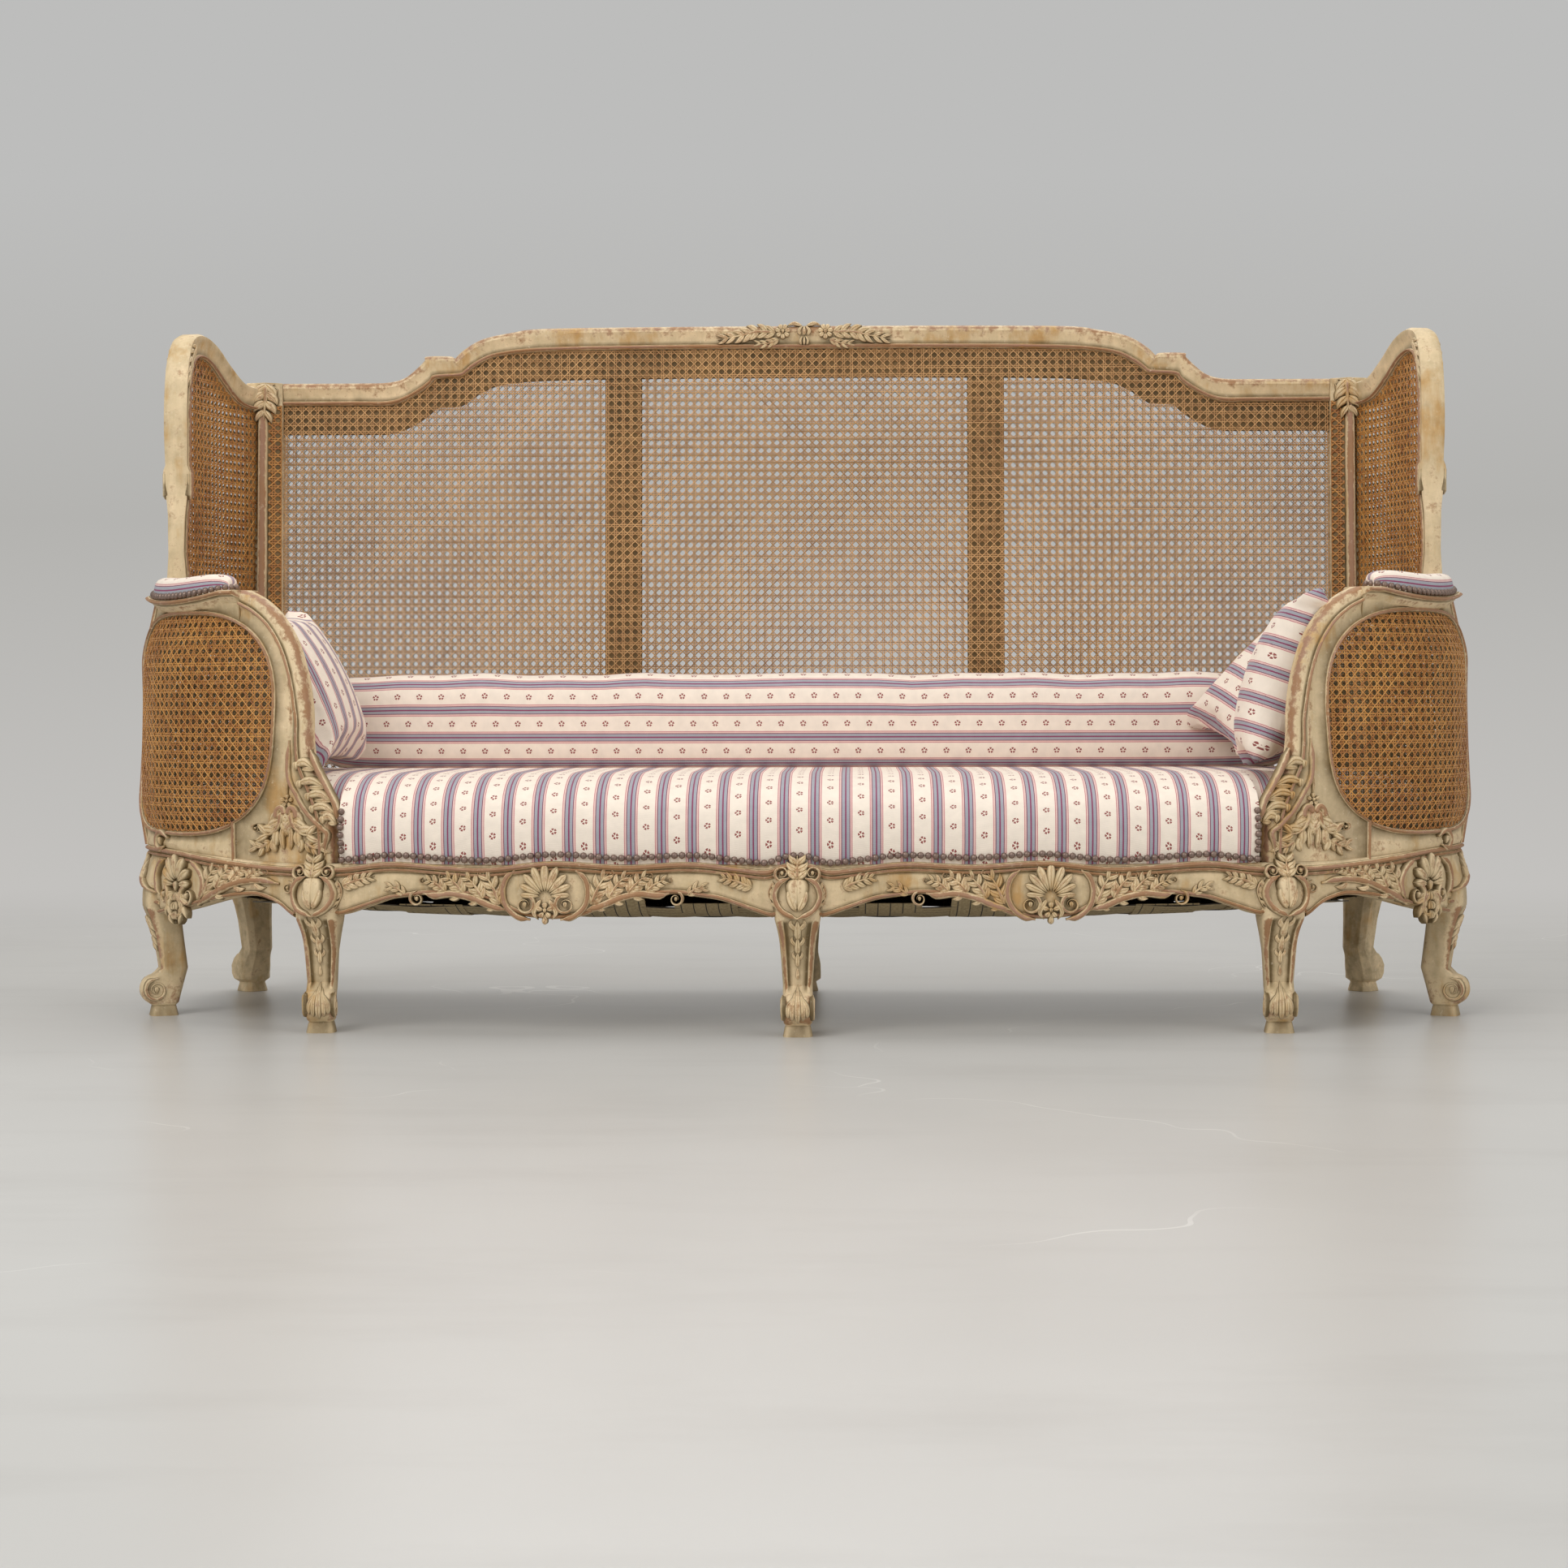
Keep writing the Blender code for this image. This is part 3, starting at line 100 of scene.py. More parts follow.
def linear(hex_colour: str) -> tuple[float, float, float, float]:
    """Turn an sRGB hex colour into linear values.

    Args:
        hex_colour: Six hex digits, with or without a leading hash.

    Returns:
        The linear red, green and blue, and full opacity.
    """
    digits = hex_colour.lstrip("#")
    values = [int(digits[k:k + 2], 16) / 255 for k in (0, 2, 4)]
    return tuple(v / 12.92 if v <= 0.04045 else ((v + 0.055) / 1.055) ** 2.4 for v in values) + (1.0,)











def add_node(tree: Tree, kind: str, inputs: Any = (), out: Any = 0, **settings: Any) -> Any:
    """Add a node with its settings, and set or link its inputs.

    Args:
        tree: The tree that gets the node.
        kind: The node's type, where ShaderNode goes without saying.
        inputs: Values or sockets for its inputs, in order, or by name or number.
        out: The output that is wanted, or None for the node itself.
        settings: Values of the node's own properties.

    Returns:
        The output's socket, or the node.
    """
    node = tree.nodes.new(kind if "Node" in kind else "ShaderNode" + kind)
    for name, value in settings.items():
        setattr(node, name, value)
    for name, value in inputs.items() if isinstance(inputs, dict) else enumerate(inputs):
        if isinstance(value, bpy.types.NodeSocket):
            tree.links.new(value, node.inputs[name])
        else:
            node.inputs[name].default_value = value
    return node if out is None else node.outputs[out]


def smooth_through(points: Path, steps: int) -> Array:
    """Return points on a smooth curve through the given ones.

    Args:
        points: The points to pass through.
        steps: How many steps each span is divided into.

    Returns:
        The curve's points, one row each.
    """
    given = np.array(points, dtype=float)
    guides = np.vstack([2 * given[0] - given[1], given, 2 * given[-1] - given[-2]])
    part = (np.arange(steps) / steps)[:, None]
    spans = []
    for k in range(1, len(guides) - 2):
        a, b, c, d = guides[k - 1:k + 3]
        spans.append(0.5 * (2 * b + (c - a) * part + (2 * a - 5 * b + 4 * c - d) * part ** 2
                            + (3 * b - a - 3 * c + d) * part ** 3))
    return np.vstack(spans + [given[-1:]])


def unit(rows: Array) -> Array:
    """Return rows scaled to a length of one."""
    return rows / np.maximum(np.linalg.norm(rows, axis=1), 1e-9)[:, None]


def run_of(line: Array) -> Array:
    """Return how far along a line each of its points lies."""
    return np.concatenate([[0.0], np.cumsum(np.linalg.norm(np.diff(line, axis=0), axis=1))])


def alike(*values: Any) -> list[Array]:
    """Return numbers or arrays as arrays of one form."""
    return np.broadcast_arrays(*(np.asarray(value, float) for value in values))


def ease(share: Array | float) -> Array | float:
    """Return a share from 0 to 1 with a soft start and end."""
    return share * share * (3 - 2 * share)


def power(wave: Array, exponent: float) -> Array:
    """Raise a wave to a power and keep its sign."""
    return np.sign(wave) * np.abs(wave) ** exponent


def even_spread(points: Path, count: int, steps: int = 12) -> Array:
    """Return points at even distances along a smooth curve through the given ones.

    Args:
        points: The points to pass through.
        count: How many points to return.
        steps: How finely each span is followed.

    Returns:
        The evenly spaced points, one row each.
    """
    curve = smooth_through(points, steps)
    run = run_of(curve)
    places = np.linspace(0, run[-1], count)
    return np.stack([np.interp(places, run, curve[:, k]) for k in range(curve.shape[1])], axis=1)


def table_at(table: Path, places: Array, column: int = 1) -> Array:
    """Read a smooth curve through a table's rows at the given places.

    Args:
        table: Rows of a place and its values.
        places: Where to read it.
        column: Which value to read.

    Returns:
        The values there.
    """
    curve = smooth_through([(row[0], row[column]) for row in table], 8)
    return np.interp(places, curve[:, 0], curve[:, 1])


@dataclass(frozen=True)
class SofaForm:
    """The sofa's governing sizes and surfaces, which repeat those of its CAD part."""

    half_length: float = 1.045
    half_depth: float = 0.385
    gap: float = 0.0003
    rail_top: float = 0.258
    side_rise: float = 0.016
    rail_arch: float = 0.214
    rail_apron: float = 0.176
    side_arch: float = 0.207
    side_apron: float = 0.166
    rail_half: float = 0.022
    front_block: float = 0.0358
    side_block: float = 0.05
    wall_half: float = 0.017
    wall_lean: float = 0.022
    lean_foot: float = 0.35
    lean_top: float = 0.7
    arm_top: float = 0.676
    arm_dip: float = 0.012
    arm_lap: float = 0.012
    oval_middle: float = 0.47
    oval_half_height: float = 0.169
    oval_power: float = 3.0
    oval_joint: float = math.radians(58)
    post_width: float = 0.062
    wing_width: float = 0.04
    wing_top: float = 1.108
    wing_end: float = 1.054
    back_rake: float = 0.045
    back_half_thick: float = 0.018
    crest_low: float = 1.058
    crest_high: float = 1.154
    crest_height: float = 0.039
    bottom_rail: float = 0.045
    stile_lip: float = 0.004
    cane_offset: float = 0.009
    arm_swell: float = 0.019
    shoulder_draw: float = 0.75
    plan: tuple = ((0.0, -1.04), (0.182, -1.0), (0.359, -1.035), (0.536, -0.975), (0.697, -0.9), (0.825, -0.76),
                   (0.926, -0.53), (0.988, -0.235), (1.0, 0.1), (0.975, 0.46), (0.93, 0.84))
    wave: tuple = ((0.0, 0.005), (0.03, 0.0015), (0.062, -0.007), (0.12, -0.003), (0.22, 0.004), (0.36, 0.0),
                   (0.5, 0.0062), (0.63, -0.003), (0.72, -0.001), (0.84, 0.004), (0.93, -0.0035), (1.0, -0.006))

    def __post_init__(self) -> None:
        """Trace the plan's middle line and find the places that the walls are set out from."""
        points = [(x * self.half_length, y * self.half_depth) for x, y in self.plan]
        curve = smooth_through([(-points[1][0], points[1][1])] + points, 24)[24:]
        run = run_of(curve)
        slope = np.gradient(curve, axis=0)
        slope /= np.linalg.norm(slope, axis=1)[:, None]
        low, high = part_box("back_rail_right")
        put = object.__setattr__
        put(self, "curve", curve)
        put(self, "run", run)
        put(self, "slope", slope)
        put(self, "back_y", self.half_depth * 0.7584)
        put(self, "back_half", self.half_length * 0.8699)
        put(self, "shift", (low.y + high.y) / 2 - self.back_y)
        put(self, "front_leg", self.where(0, self.half_length * 0.6967))
        put(self, "side_leg", self.where(1, -self.half_depth * 0.2727, self.front_leg))
        put(self, "rail_end", self.where(1, self.back_y - self.rail_half, self.side_leg))
        put(self, "side_run", self.rail_end - self.front_leg)
        put(self, "oval_centre", self.front_leg + self.side_run * 0.3598)
        put(self, "oval_half", self.side_run * 0.2577)
        put(self, "wing_post", self.front_leg + self.side_run * 0.6583)
        put(self, "pad_centre", self.front_leg + self.side_run * 0.383)
        put(self, "pad_half", self.side_run * 0.14)

    def where(self, axis: int, value: float, after: float = 0.0) -> float:
        """Return the length along the plan at which a coordinate first reaches a value."""
        for k in range(1, len(self.curve)):
            before, here = self.curve[k - 1][axis], self.curve[k][axis]
            if self.run[k] > after and here >= value:
                part = min(max((value - before) / max(here - before, 1e-9), 0.0), 1.0)
                return float(self.run[k - 1] + part * (self.run[k] - self.run[k - 1]))
        return float(self.run[-1])

    def lean(self, height: Array) -> Array:
        """Return how far a side wall leans inwards at each height."""
        part = np.clip((height - self.lean_foot) / (self.lean_top - self.lean_foot), 0, 1)
        return self.wall_lean * ease(part)

    def wall(self, place: Array, height: Array, depth: Array) -> Array:
        """Return points of the sofa's wall; a negative place lies on the left half.

        Args:
            place: Length along the plan from the middle of the front.
            height: Height above the floor.
            depth: Distance outwards from the wall's middle.

        Returns:
            The points, in an array with a last axis of three.
        """
        place, height, depth = alike(place, height, depth)
        along = np.abs(place)
        x, y = (np.interp(along, self.run, self.curve[:, k]) for k in (0, 1))
        tx, ty = (np.interp(along, self.run, self.slope[:, k]) for k in (0, 1))
        size = np.hypot(tx, ty)
        reach = (depth - self.lean(height)) / size
        side = np.where(place < 0, -1.0, 1.0)
        return np.stack([(x + ty * reach) * side, y - tx * reach + self.shift, height], axis=-1)

    def arm_wall(self, place: Array, height: Array, depth: Array) -> Array:
        """Return points of the wall where it swells round an arm's oval.

        Args:
            place: Length along the plan from the middle of the front.
            height: Height above the floor.
            depth: Distance outwards from the wall's middle.

        Returns:
            The points, in an array with a last axis of three.
        """
        place, height, depth = alike(place, height, depth)
        start = self.oval_centre - self.oval_half
        rise = np.clip((np.abs(place) - start) / (self.oval_half * 1.5), 0, 1)
        rise = ease(rise)
        fall = np.clip((np.abs(place) - self.oval_centre - self.oval_half) / 0.07, 0, 1)
        lift = np.clip((height - self.rail_top) / 0.1, 0, 1)
        lift = 0.4 + 0.6 * ease(lift)
        shoulder = np.clip((height - 0.56) / 0.11, 0, 1)
        rise = rise * (1 - self.shoulder_draw * ease(shoulder))
        swell = rise * (1 - 0.6 * fall) * (self.arm_swell * lift + 0.7 * self.lean(height))
        return self.wall(place, height, depth + swell)

    def back_plane(self, height: Array) -> Array:
        """Return the middle of the raked back at each height, without the frame's shift."""
        return self.back_y + self.back_rake * (height - self.rail_top) / (self.crest_high - self.rail_top)

    def back(self, across: Array, height: Array, depth: Array) -> Array:
        """Return points of the back; depth runs forwards from its middle."""
        across, height, depth = alike(across, height, depth)
        return np.stack([across, self.back_plane(height) - depth + self.shift, height], axis=-1)

    def stile(self, across: Array, height: Array, depth: Array) -> Array:
        """Return points of a back stile's slanting face, by the distance out from its inner edge.

        Args:
            across: Distance out from the stile's inner edge.
            height: Heights above the floor.
            depth: Distances outwards from the surface.

        Returns:
            The points, with a last axis of three.
        """
        across, height, depth = alike(across, height, depth)
        levels = np.linspace(self.rail_top, self.crest_high, 9)
        ends = np.array([self.wall(self.side_end(level) + self.gap, level, -self.rail_half) for level in levels])
        end_x, end_y = (np.interp(height, levels, ends[:, axis]) for axis in (0, 1))
        side = np.where(across < 0, -1, 1)
        share = np.abs(across) / (end_x - self.back_half)
        near = self.back_plane(height) - self.back_half_thick + self.shift
        return np.stack([side * self.back_half + across, near * (1 - share) + end_y * share - depth, height], axis=-1)

    def top_of_rail(self, place: Array) -> Array:
        """Return the top of the seat frame, which rises along the sides.

        Args:
            place: Length along the plan from the middle of the front.

        Returns:
            The height at each place.
        """
        start = self.front_leg + self.front_block
        part = np.clip((np.abs(place) - start) / (self.side_leg - self.side_block - start), 0, 1)
        return self.rail_top + self.side_rise * ease(part)

    def bead_wave(self, place: Array) -> Array:
        """Return how far the front rail's top bead waves up or down.

        Args:
            place: Length along the plan from the middle of the front.

        Returns:
            The rise at each place.
        """
        share = np.abs(place) / self.front_leg
        fade = np.clip((1.35 - share) / 0.35, 0, 1)
        return table_at(self.wave, np.clip(share, 0, 1)) * fade

    def top_of_arm(self, place: Array) -> Array:
        """Return the top of an arm, which dips under its pad."""
        part = (place - self.pad_centre) / (self.pad_half + self.arm_lap)
        return self.arm_top - self.arm_dip * np.clip(1 - part * part, 0, 1)

    def oval(self, turn: Array, grow: float = 0.0) -> Array:
        """Return places and heights of the arm's oval opening at the given angles.

        Args:
            turn: Angles round the oval.
            grow: How far outside the opening to stay.

        Returns:
            A row of place and height for each angle.
        """
        cosine, sine = np.cos(turn), np.sin(turn)
        wide = power(cosine, 2 / self.oval_power)
        high = power(sine, 2 / self.oval_power)
        return np.stack([self.oval_centre + (self.oval_half + grow) * wide,
                         self.oval_middle + (self.oval_half_height + grow) * high], axis=-1)

    def side_end(self, height: float) -> float:
        """Return the plan length at which a side wall meets the raked back stile."""
        return self.where(1, float(self.back_plane(height)) - self.back_half_thick - self.stile_lip, self.side_leg)


FORM = SofaForm()


@dataclass
class Shell:
    """Closed bodies that grow into one mesh, with a relief value and fabric places per point."""

    points: list = field(default_factory=list)
    faces: list = field(default_factory=list)
    relief: list = field(default_factory=list)
    cloth: list = field(default_factory=list)
    count: int = 0

    def loft(self, rings: Array, relief: Array | None = None, cloth: Array | None = None,
             loop: bool = False, capped: bool = True) -> None:
        """Bridge rings of points into a body.

        Args:
            rings: Points in an array of ring, point and coordinate.
            relief: A height share for each point, 0 in the grooves and 1 on the edges.
            cloth: Distances across and along the cloth for each point.
            loop: Whether the last ring joins the first.
            capped: Whether the end rings are closed.
        """
        rings = np.asarray(rings, float)
        rows, across = rings.shape[:2]
        start = self.count
        index = start + np.arange(rows * across).reshape(rows, across)
        if loop:
            index = np.vstack([index, index[:1]])
        a, b = index[:-1], index[1:]
        quads = np.stack([a, np.roll(a, -1, 1), np.roll(b, -1, 1), b], axis=-1).reshape(-1, 4)
        self.faces += quads.tolist()
        if capped and not loop:
            self.faces += [index[0][::-1].tolist(), index[-1].tolist()]
        self._store(rings.reshape(-1, 3), relief, cloth, (rows, across))

    def _store(self, points: Array, relief: Array | None, cloth: Array | None, shape: tuple) -> None:
        """Keep new points with their values.

        Args:
            points: The new points.
            relief: Each point's height in the ornament.
            cloth: Each point's place on the cloth.
            shape: The form that both are spread to.
        """
        self.points.append(points)
        values = np.full(shape, 0.4) if relief is None else np.broadcast_to(relief, shape)
        self.relief.append(values.reshape(-1))
        places = np.zeros(shape + (2,)) if cloth is None else np.broadcast_to(cloth, shape + (2,))
        self.cloth.append(places.reshape(-1, 2))
        self.count += len(points)

    def mirror(self) -> "Shell":
        """Return the same bodies on the other side of the sofa's middle plane."""
        other = Shell([p * (-1, 1, 1) for p in self.points], [face[::-1] for face in self.faces],
                      list(self.relief), list(self.cloth), self.count)
        return other

    def merge(self, other: "Shell") -> None:
        """Take in another shell's bodies.

        Args:
            other: The shell to take in.
        """
        self.faces += [[k + self.count for k in face] for face in other.faces]
        self.points += other.points
        self.relief += other.relief
        self.cloth += other.cloth
        self.count += other.count

    def make(self, name: str, material: Material, smooth: float = 40.0, turn_out: bool = True) -> Piece:
        """Turn the shell into an object.

        Args:
            name: The piece's name.
            material: Its finish.
            smooth: The angle in degrees below which faces are shaded as one surface.
            turn_out: Whether faces are turned to point outwards.

        Returns:
            The object, linked to the scene.
        """
        mesh = bpy.data.meshes.new(name)
        mesh.from_pydata(np.vstack(self.points).tolist(), [], self.faces)
        relief = mesh.attributes.new("relief", "FLOAT", "POINT")
        relief.data.foreach_set("value", np.concatenate(self.relief).astype(np.float32))
        cloth = mesh.attributes.new("cloth", "FLOAT_VECTOR", "POINT")
        places = np.vstack(self.cloth)
        cloth.data.foreach_set("vector", np.column_stack([places, np.zeros(len(places))]) .astype(np.float32).ravel())
        if turn_out:
            shape = bmesh.new()
            shape.from_mesh(mesh)
            bmesh.ops.recalc_face_normals(shape, faces=shape.faces)
            shape.to_mesh(mesh)
            shape.free()
        mesh.materials.append(material)
        mesh.shade_smooth()
        mesh.set_sharp_from_angle(angle=math.radians(smooth))
        piece = bpy.data.objects.new(name, mesh)
        bpy.context.scene.collection.objects.link(piece)
        return piece


def settle(piece: Piece, body: str = "sofa", replaces: Iterable[str] = ()) -> Piece:
    """Fix a finished piece to its body and hide the CAD nodes it stands for.

    Args:
        piece: The finished piece.
        body: The CAD body it moves with.
        replaces: The CAD nodes it stands for.

    Returns:
        The same piece.
    """
    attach(piece, body)
    if replaces:
        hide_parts(*replaces)
    LOG.info("%s: %d faces on %s", piece.name, len(piece.data.polygons), body)
    return piece


@dataclass(frozen=True)
class Finish:
    """What every finish shares: a name and the start of its material."""

    name: str

    def begin(self) -> tuple[Material, Tree, bpy.types.Node]:
        """Return a new material, its tree and its shader."""
        material = bpy.data.materials.new(self.name)
        material.use_nodes = True
        tree = material.node_tree
        return material, tree, tree.nodes["Principled BSDF"]


@dataclass(frozen=True)
class WornPaint(Finish):
    """Hand-brushed distemper on carved beech.

    Chalky cream to grey-green, darker ochre dirt and painted shade in the grooves, and a pinkish ground that shows
    where hands and dusters have rubbed the edges.
    """

    name: str = "brushed_cream_paint_on_beech"
    cream: str = "EED5AC"
    ochre: str = "C79E64"
    green: str = "D8C198"
    # dark colour for the dirt and the painted shade in the grooves
    dirt: str = "64502A"
    ground: str = "9E7048"
    pink: str = "A27860"
    pale: str = "F0E2C6"
    reads_relief: bool = True
    wear: float = 1.44

    def make(self) -> Material:
        """Return the paint's material."""
        material, tree, shader = self.begin()
        place = add_node(tree, "TexCoord", out="Object")
        broad = add_node(tree, "TexNoise", {"Vector": place, "Scale": 9.0, "Detail": 4.0, "Roughness": 0.6})
        # brush marks and small chips, about 4 mm apart
        fine = add_node(tree, "TexNoise", {"Vector": place, "Scale": 130.0, "Detail": 5.0, "Roughness": 0.7})
        middle = add_node(tree, "TexNoise", {"Vector": place, "Scale": 38.0, "Detail": 6.0, "Roughness": 0.65})
        # flaked spots, 4 to 20 mm across
        grain = add_node(tree, "TexNoise", {"Vector": place, "Scale": 72.0, "Detail": 8.0, "Roughness": 0.74})
        # thin and thick passages of the brush, 20 to 80 mm across, with streaks along the height
        streaks = add_node(tree, "Mapping", {"Vector": place, "Scale": (60.0, 60.0, 11.0)})
        drawn = add_node(tree, "TexNoise", {"Vector": streaks, "Scale": 1.0, "Detail": 4.0, "Roughness": 0.6})
        passage = add_node(tree, "Math", (drawn, 0.5, broad), operation="MULTIPLY_ADD")
        passage = add_node(tree, "Math", (passage, 0.667), operation="MULTIPLY")
        body = add_node(tree, "ValToRGB", {"Fac": passage}, out=None)
        ramp = body.color_ramp
        ramp.elements[0].position, ramp.elements[1].position = 0.36, 0.62
        ramp.elements[0].color, ramp.elements[1].color = linear(self.ochre), linear(self.cream)
        ramp.elements.new(0.47).color = linear(self.green)
        colour = body.outputs[0]
        if self.reads_relief:
            relief = add_node(tree, "Attribute", out="Fac", attribute_name="relief")
        else:
            relief = add_node(tree, "Math", (middle, 0.5, 0.15), operation="MULTIPLY_ADD")
        # dirt and painted shade lie in the grooves, thicker and thinner with the noise
        low = add_node(tree, "Math", (middle, 0.4, relief), operation="MULTIPLY_ADD")
        groove_dirt_and_shade = add_node(tree, "MapRange", (low, 0.22, 0.66, 0.95, 0.0))
        colour = add_node(tree, "Mix", {"Factor": groove_dirt_and_shade, 6: colour, 7: linear(self.dirt)}, 2, data_type="RGBA")
        # the ground shows on high edges, and in palm-sized patches anywhere
        high = add_node(tree, "Math", (grain, 1.3, relief), operation="MULTIPLY_ADD")
        high = add_node(tree, "Math", (broad, 0.5, high), operation="MULTIPLY_ADD")
        rubbed = add_node(tree, "MapRange", (high, self.wear, self.wear + 0.22, 0.0, 0.92))
        bare = add_node(tree, "Mix",
                        {"Factor": add_node(tree, "MapRange", (broad, 0.4, 0.6)), 6: linear(self.pink),
                         7: linear(self.ground)}, 2, data_type="RGBA")
        colour = add_node(tree, "Mix", {"Factor": rubbed, 6: colour, 7: bare}, 2, data_type="RGBA")
        chips = add_node(tree, "MapRange", (fine, 0.6, 0.72, 0.0, 0.4))
        colour = add_node(tree, "Mix", {"Factor": chips, 6: colour, 7: linear(self.pale)}, 2, data_type="RGBA")
        bump = add_node(tree, "Bump", {"Height": fine, "Strength": 0.35, "Distance": 0.0012})
        tree.links.new(colour, shader.inputs["Base Color"])
        tree.links.new(bump, shader.inputs["Normal"])
        shader.inputs["Roughness"].default_value = 0.62
        return material


@dataclass(frozen=True)
class SplitCane(Finish):
    """Peeled rattan strands under old varnish: honey to orange-brown, glossy on the skin side."""

    name: str = "varnished_split_rattan"
    light: str = "DDA255"
    dark: str = "8E4F1E"
    gloss: float = 0.38

    def make(self) -> Material:
        """Return the cane's material."""
        material, tree, shader = self.begin()
        place = add_node(tree, "TexCoord", out="Object")
        tone = add_node(tree, "Attribute", out="Fac", attribute_name="tone")
        # nodes and stain along each strand, about 9 mm long
        spots = add_node(tree, "TexNoise", {"Vector": place, "Scale": 115.0, "Detail": 3.0, "Roughness": 0.6})
        patch = add_node(tree, "TexNoise", {"Vector": place, "Scale": 6.0, "Detail": 2.0})
        mixed = add_node(tree, "Math", (spots, 0.9, tone), operation="MULTIPLY_ADD")
        mixed = add_node(tree, "Math", (patch, 0.5, mixed), operation="MULTIPLY_ADD")
        share = add_node(tree, "MapRange", (mixed, 0.75, 1.65))
        colour = add_node(tree, "Mix", {"Factor": share, 6: linear(self.dark), 7: linear(self.light)}, 2,
                          data_type="RGBA")
        tree.links.new(colour, shader.inputs["Base Color"])
        shader.inputs["Roughness"].default_value = self.gloss
        return material


@dataclass(frozen=True)
class StripedCotton(Finish):
    """Cotton rep with woven stripes and sprigs.

    Cream ground, pale grey bands either side of a plum line, blush and red lines outside them,
    and little brown-red rings of five dashes in the cream. The ribs of the weave catch a soft
    sheen.
    """

    name: str = "woven_striped_cotton"
    cream: str = "F7E9D8"
    grey: str = "A6A7AE"
    plum: str = "8F4263"
    edge: str = "84485F"
    blush: str = "E6C3BA"
    red: str = "CB8588"
    sprig: str = "99524C"
    repeat: float = 0.046
    sprig_step: float = 0.037
    sprig_radius: float = 0.0034
    sprig_line: float = 0.0016

    def make(self) -> Material:
        """Return the cotton's material."""
        material, tree, shader = self.begin()
        cloth = add_node(tree, "Attribute", out="Vector", attribute_name="cloth")
        axes = add_node(tree, "SeparateXYZ", (cloth,), out=None)
        count = add_node(tree, "Math", (axes.outputs[0], self.repeat), operation="DIVIDE")
        # distance from the middle of the stripe group, 0 there and 1 in the middle of the cream
        middle = add_node(tree, "Math", (count, 0.5), operation="PINGPONG")
        share = add_node(tree, "Math", (middle, 2.0), operation="MULTIPLY")
        bands = add_node(tree, "ValToRGB", {"Fac": share}, out=None)
        ramp = bands.color_ramp
        ramp.interpolation = "CONSTANT"
        stops = ((0.0, self.plum), (0.05, self.grey), (0.235, self.edge), (0.29, self.blush),
                 (0.385, self.red), (0.435, self.cream))
        for place, colour in stops:
            stop = ramp.elements[0] if place == 0.0 else ramp.elements.new(place)
            stop.color = linear(colour)
        ramp.elements.remove(ramp.elements[-1])
        strip = add_node(tree, "Math", (count,), operation="FLOOR")
        offset = add_node(tree, "Math", (strip, 1.0), operation="PINGPONG")
        across = add_node(tree, "Math", (count,), operation="FRACT")
        across = add_node(tree, "Math", (across, self.repeat, -self.repeat / 2), operation="MULTIPLY_ADD")
        along = add_node(tree, "Math", (axes.outputs[1], self.sprig_step), operation="DIVIDE")
        along = add_node(tree, "Math", (offset, 0.5, along), operation="MULTIPLY_ADD")
        along = add_node(tree, "Math", (along,), operation="FRACT")
        along = add_node(tree, "Math", (along, self.sprig_step, -self.sprig_step / 2), operation="MULTIPLY_ADD")
        flat = add_node(tree, "CombineXYZ", (across, along))
        reach = add_node(tree, "VectorMath", (flat,), "Value", operation="LENGTH")
        ring = add_node(tree, "Math", (reach, self.sprig_radius, self.sprig_line), operation="COMPARE")
        angle = add_node(tree, "Math", (along, across), operation="ARCTAN2")
        dash = add_node(tree, "Math", (angle, 5 / math.tau), operation="MULTIPLY")
        dash = add_node(tree, "Math", (dash,), operation="FRACT")
        dash = add_node(tree, "Math", (dash, 0.5, 0.34), operation="COMPARE")
        spot = add_node(tree, "Math", (ring, dash), operation="MULTIPLY")
        colour = add_node(tree, "Mix", {"Factor": spot, 6: bands.outputs[0], 7: linear(self.sprig)}, 2,
                          data_type="RGBA")
        # the weave's ribs are 0.5 mm apart, drawn at 1.2 mm so that they show
        ribs = add_node(tree, "TexWave", {"Vector": cloth, "Scale": 130.0, "Distortion": 0.6, "Detail": 1.0},
                        wave_type="BANDS", bands_direction="Y")
        slub = add_node(tree, "TexNoise", {"Vector": cloth, "Scale": 60.0, "Detail": 3.0})
        shade = add_node(tree, "MapRange", (slub, 0.3, 0.7, 0.95, 1.03))
        colour = add_node(tree, "VectorMath", {0: colour, "Scale": shade}, operation="SCALE")
        bump = add_node(tree, "Bump", {"Height": ribs, "Strength": 0.18, "Distance": 0.0006})
        tree.links.new(colour, shader.inputs["Base Color"])
        tree.links.new(bump, shader.inputs["Normal"])
        shader.inputs["Roughness"].default_value = 0.85
        shader.inputs["Sheen Weight"].default_value = 0.12
        return material


@dataclass(frozen=True)
class AgedBronze(Finish):
    """Patinated bronze nail heads: brown, in darker and paler spots."""

    name: str = "patinated_bronze_nails"
    colour: str = "9E887C"
    shade: str = "665248"

    def make(self) -> Material:
        """Return the nails' material."""
        material, tree, shader = self.begin()
        place = add_node(tree, "TexCoord", out="Object")
        spots = add_node(tree, "TexNoise", {"Vector": place, "Scale": 300.0, "Detail": 2.0})
        colour = add_node(tree, "ValToRGB", {"Fac": spots}, out=None)
        colour.color_ramp.elements[0].color = linear(self.shade)
        colour.color_ramp.elements[1].color = linear(self.colour)
        tree.links.new(colour.outputs[0], shader.inputs["Base Color"])
        shader.inputs["Metallic"].default_value = 0.55
        shader.inputs["Roughness"].default_value = 0.4
        return material


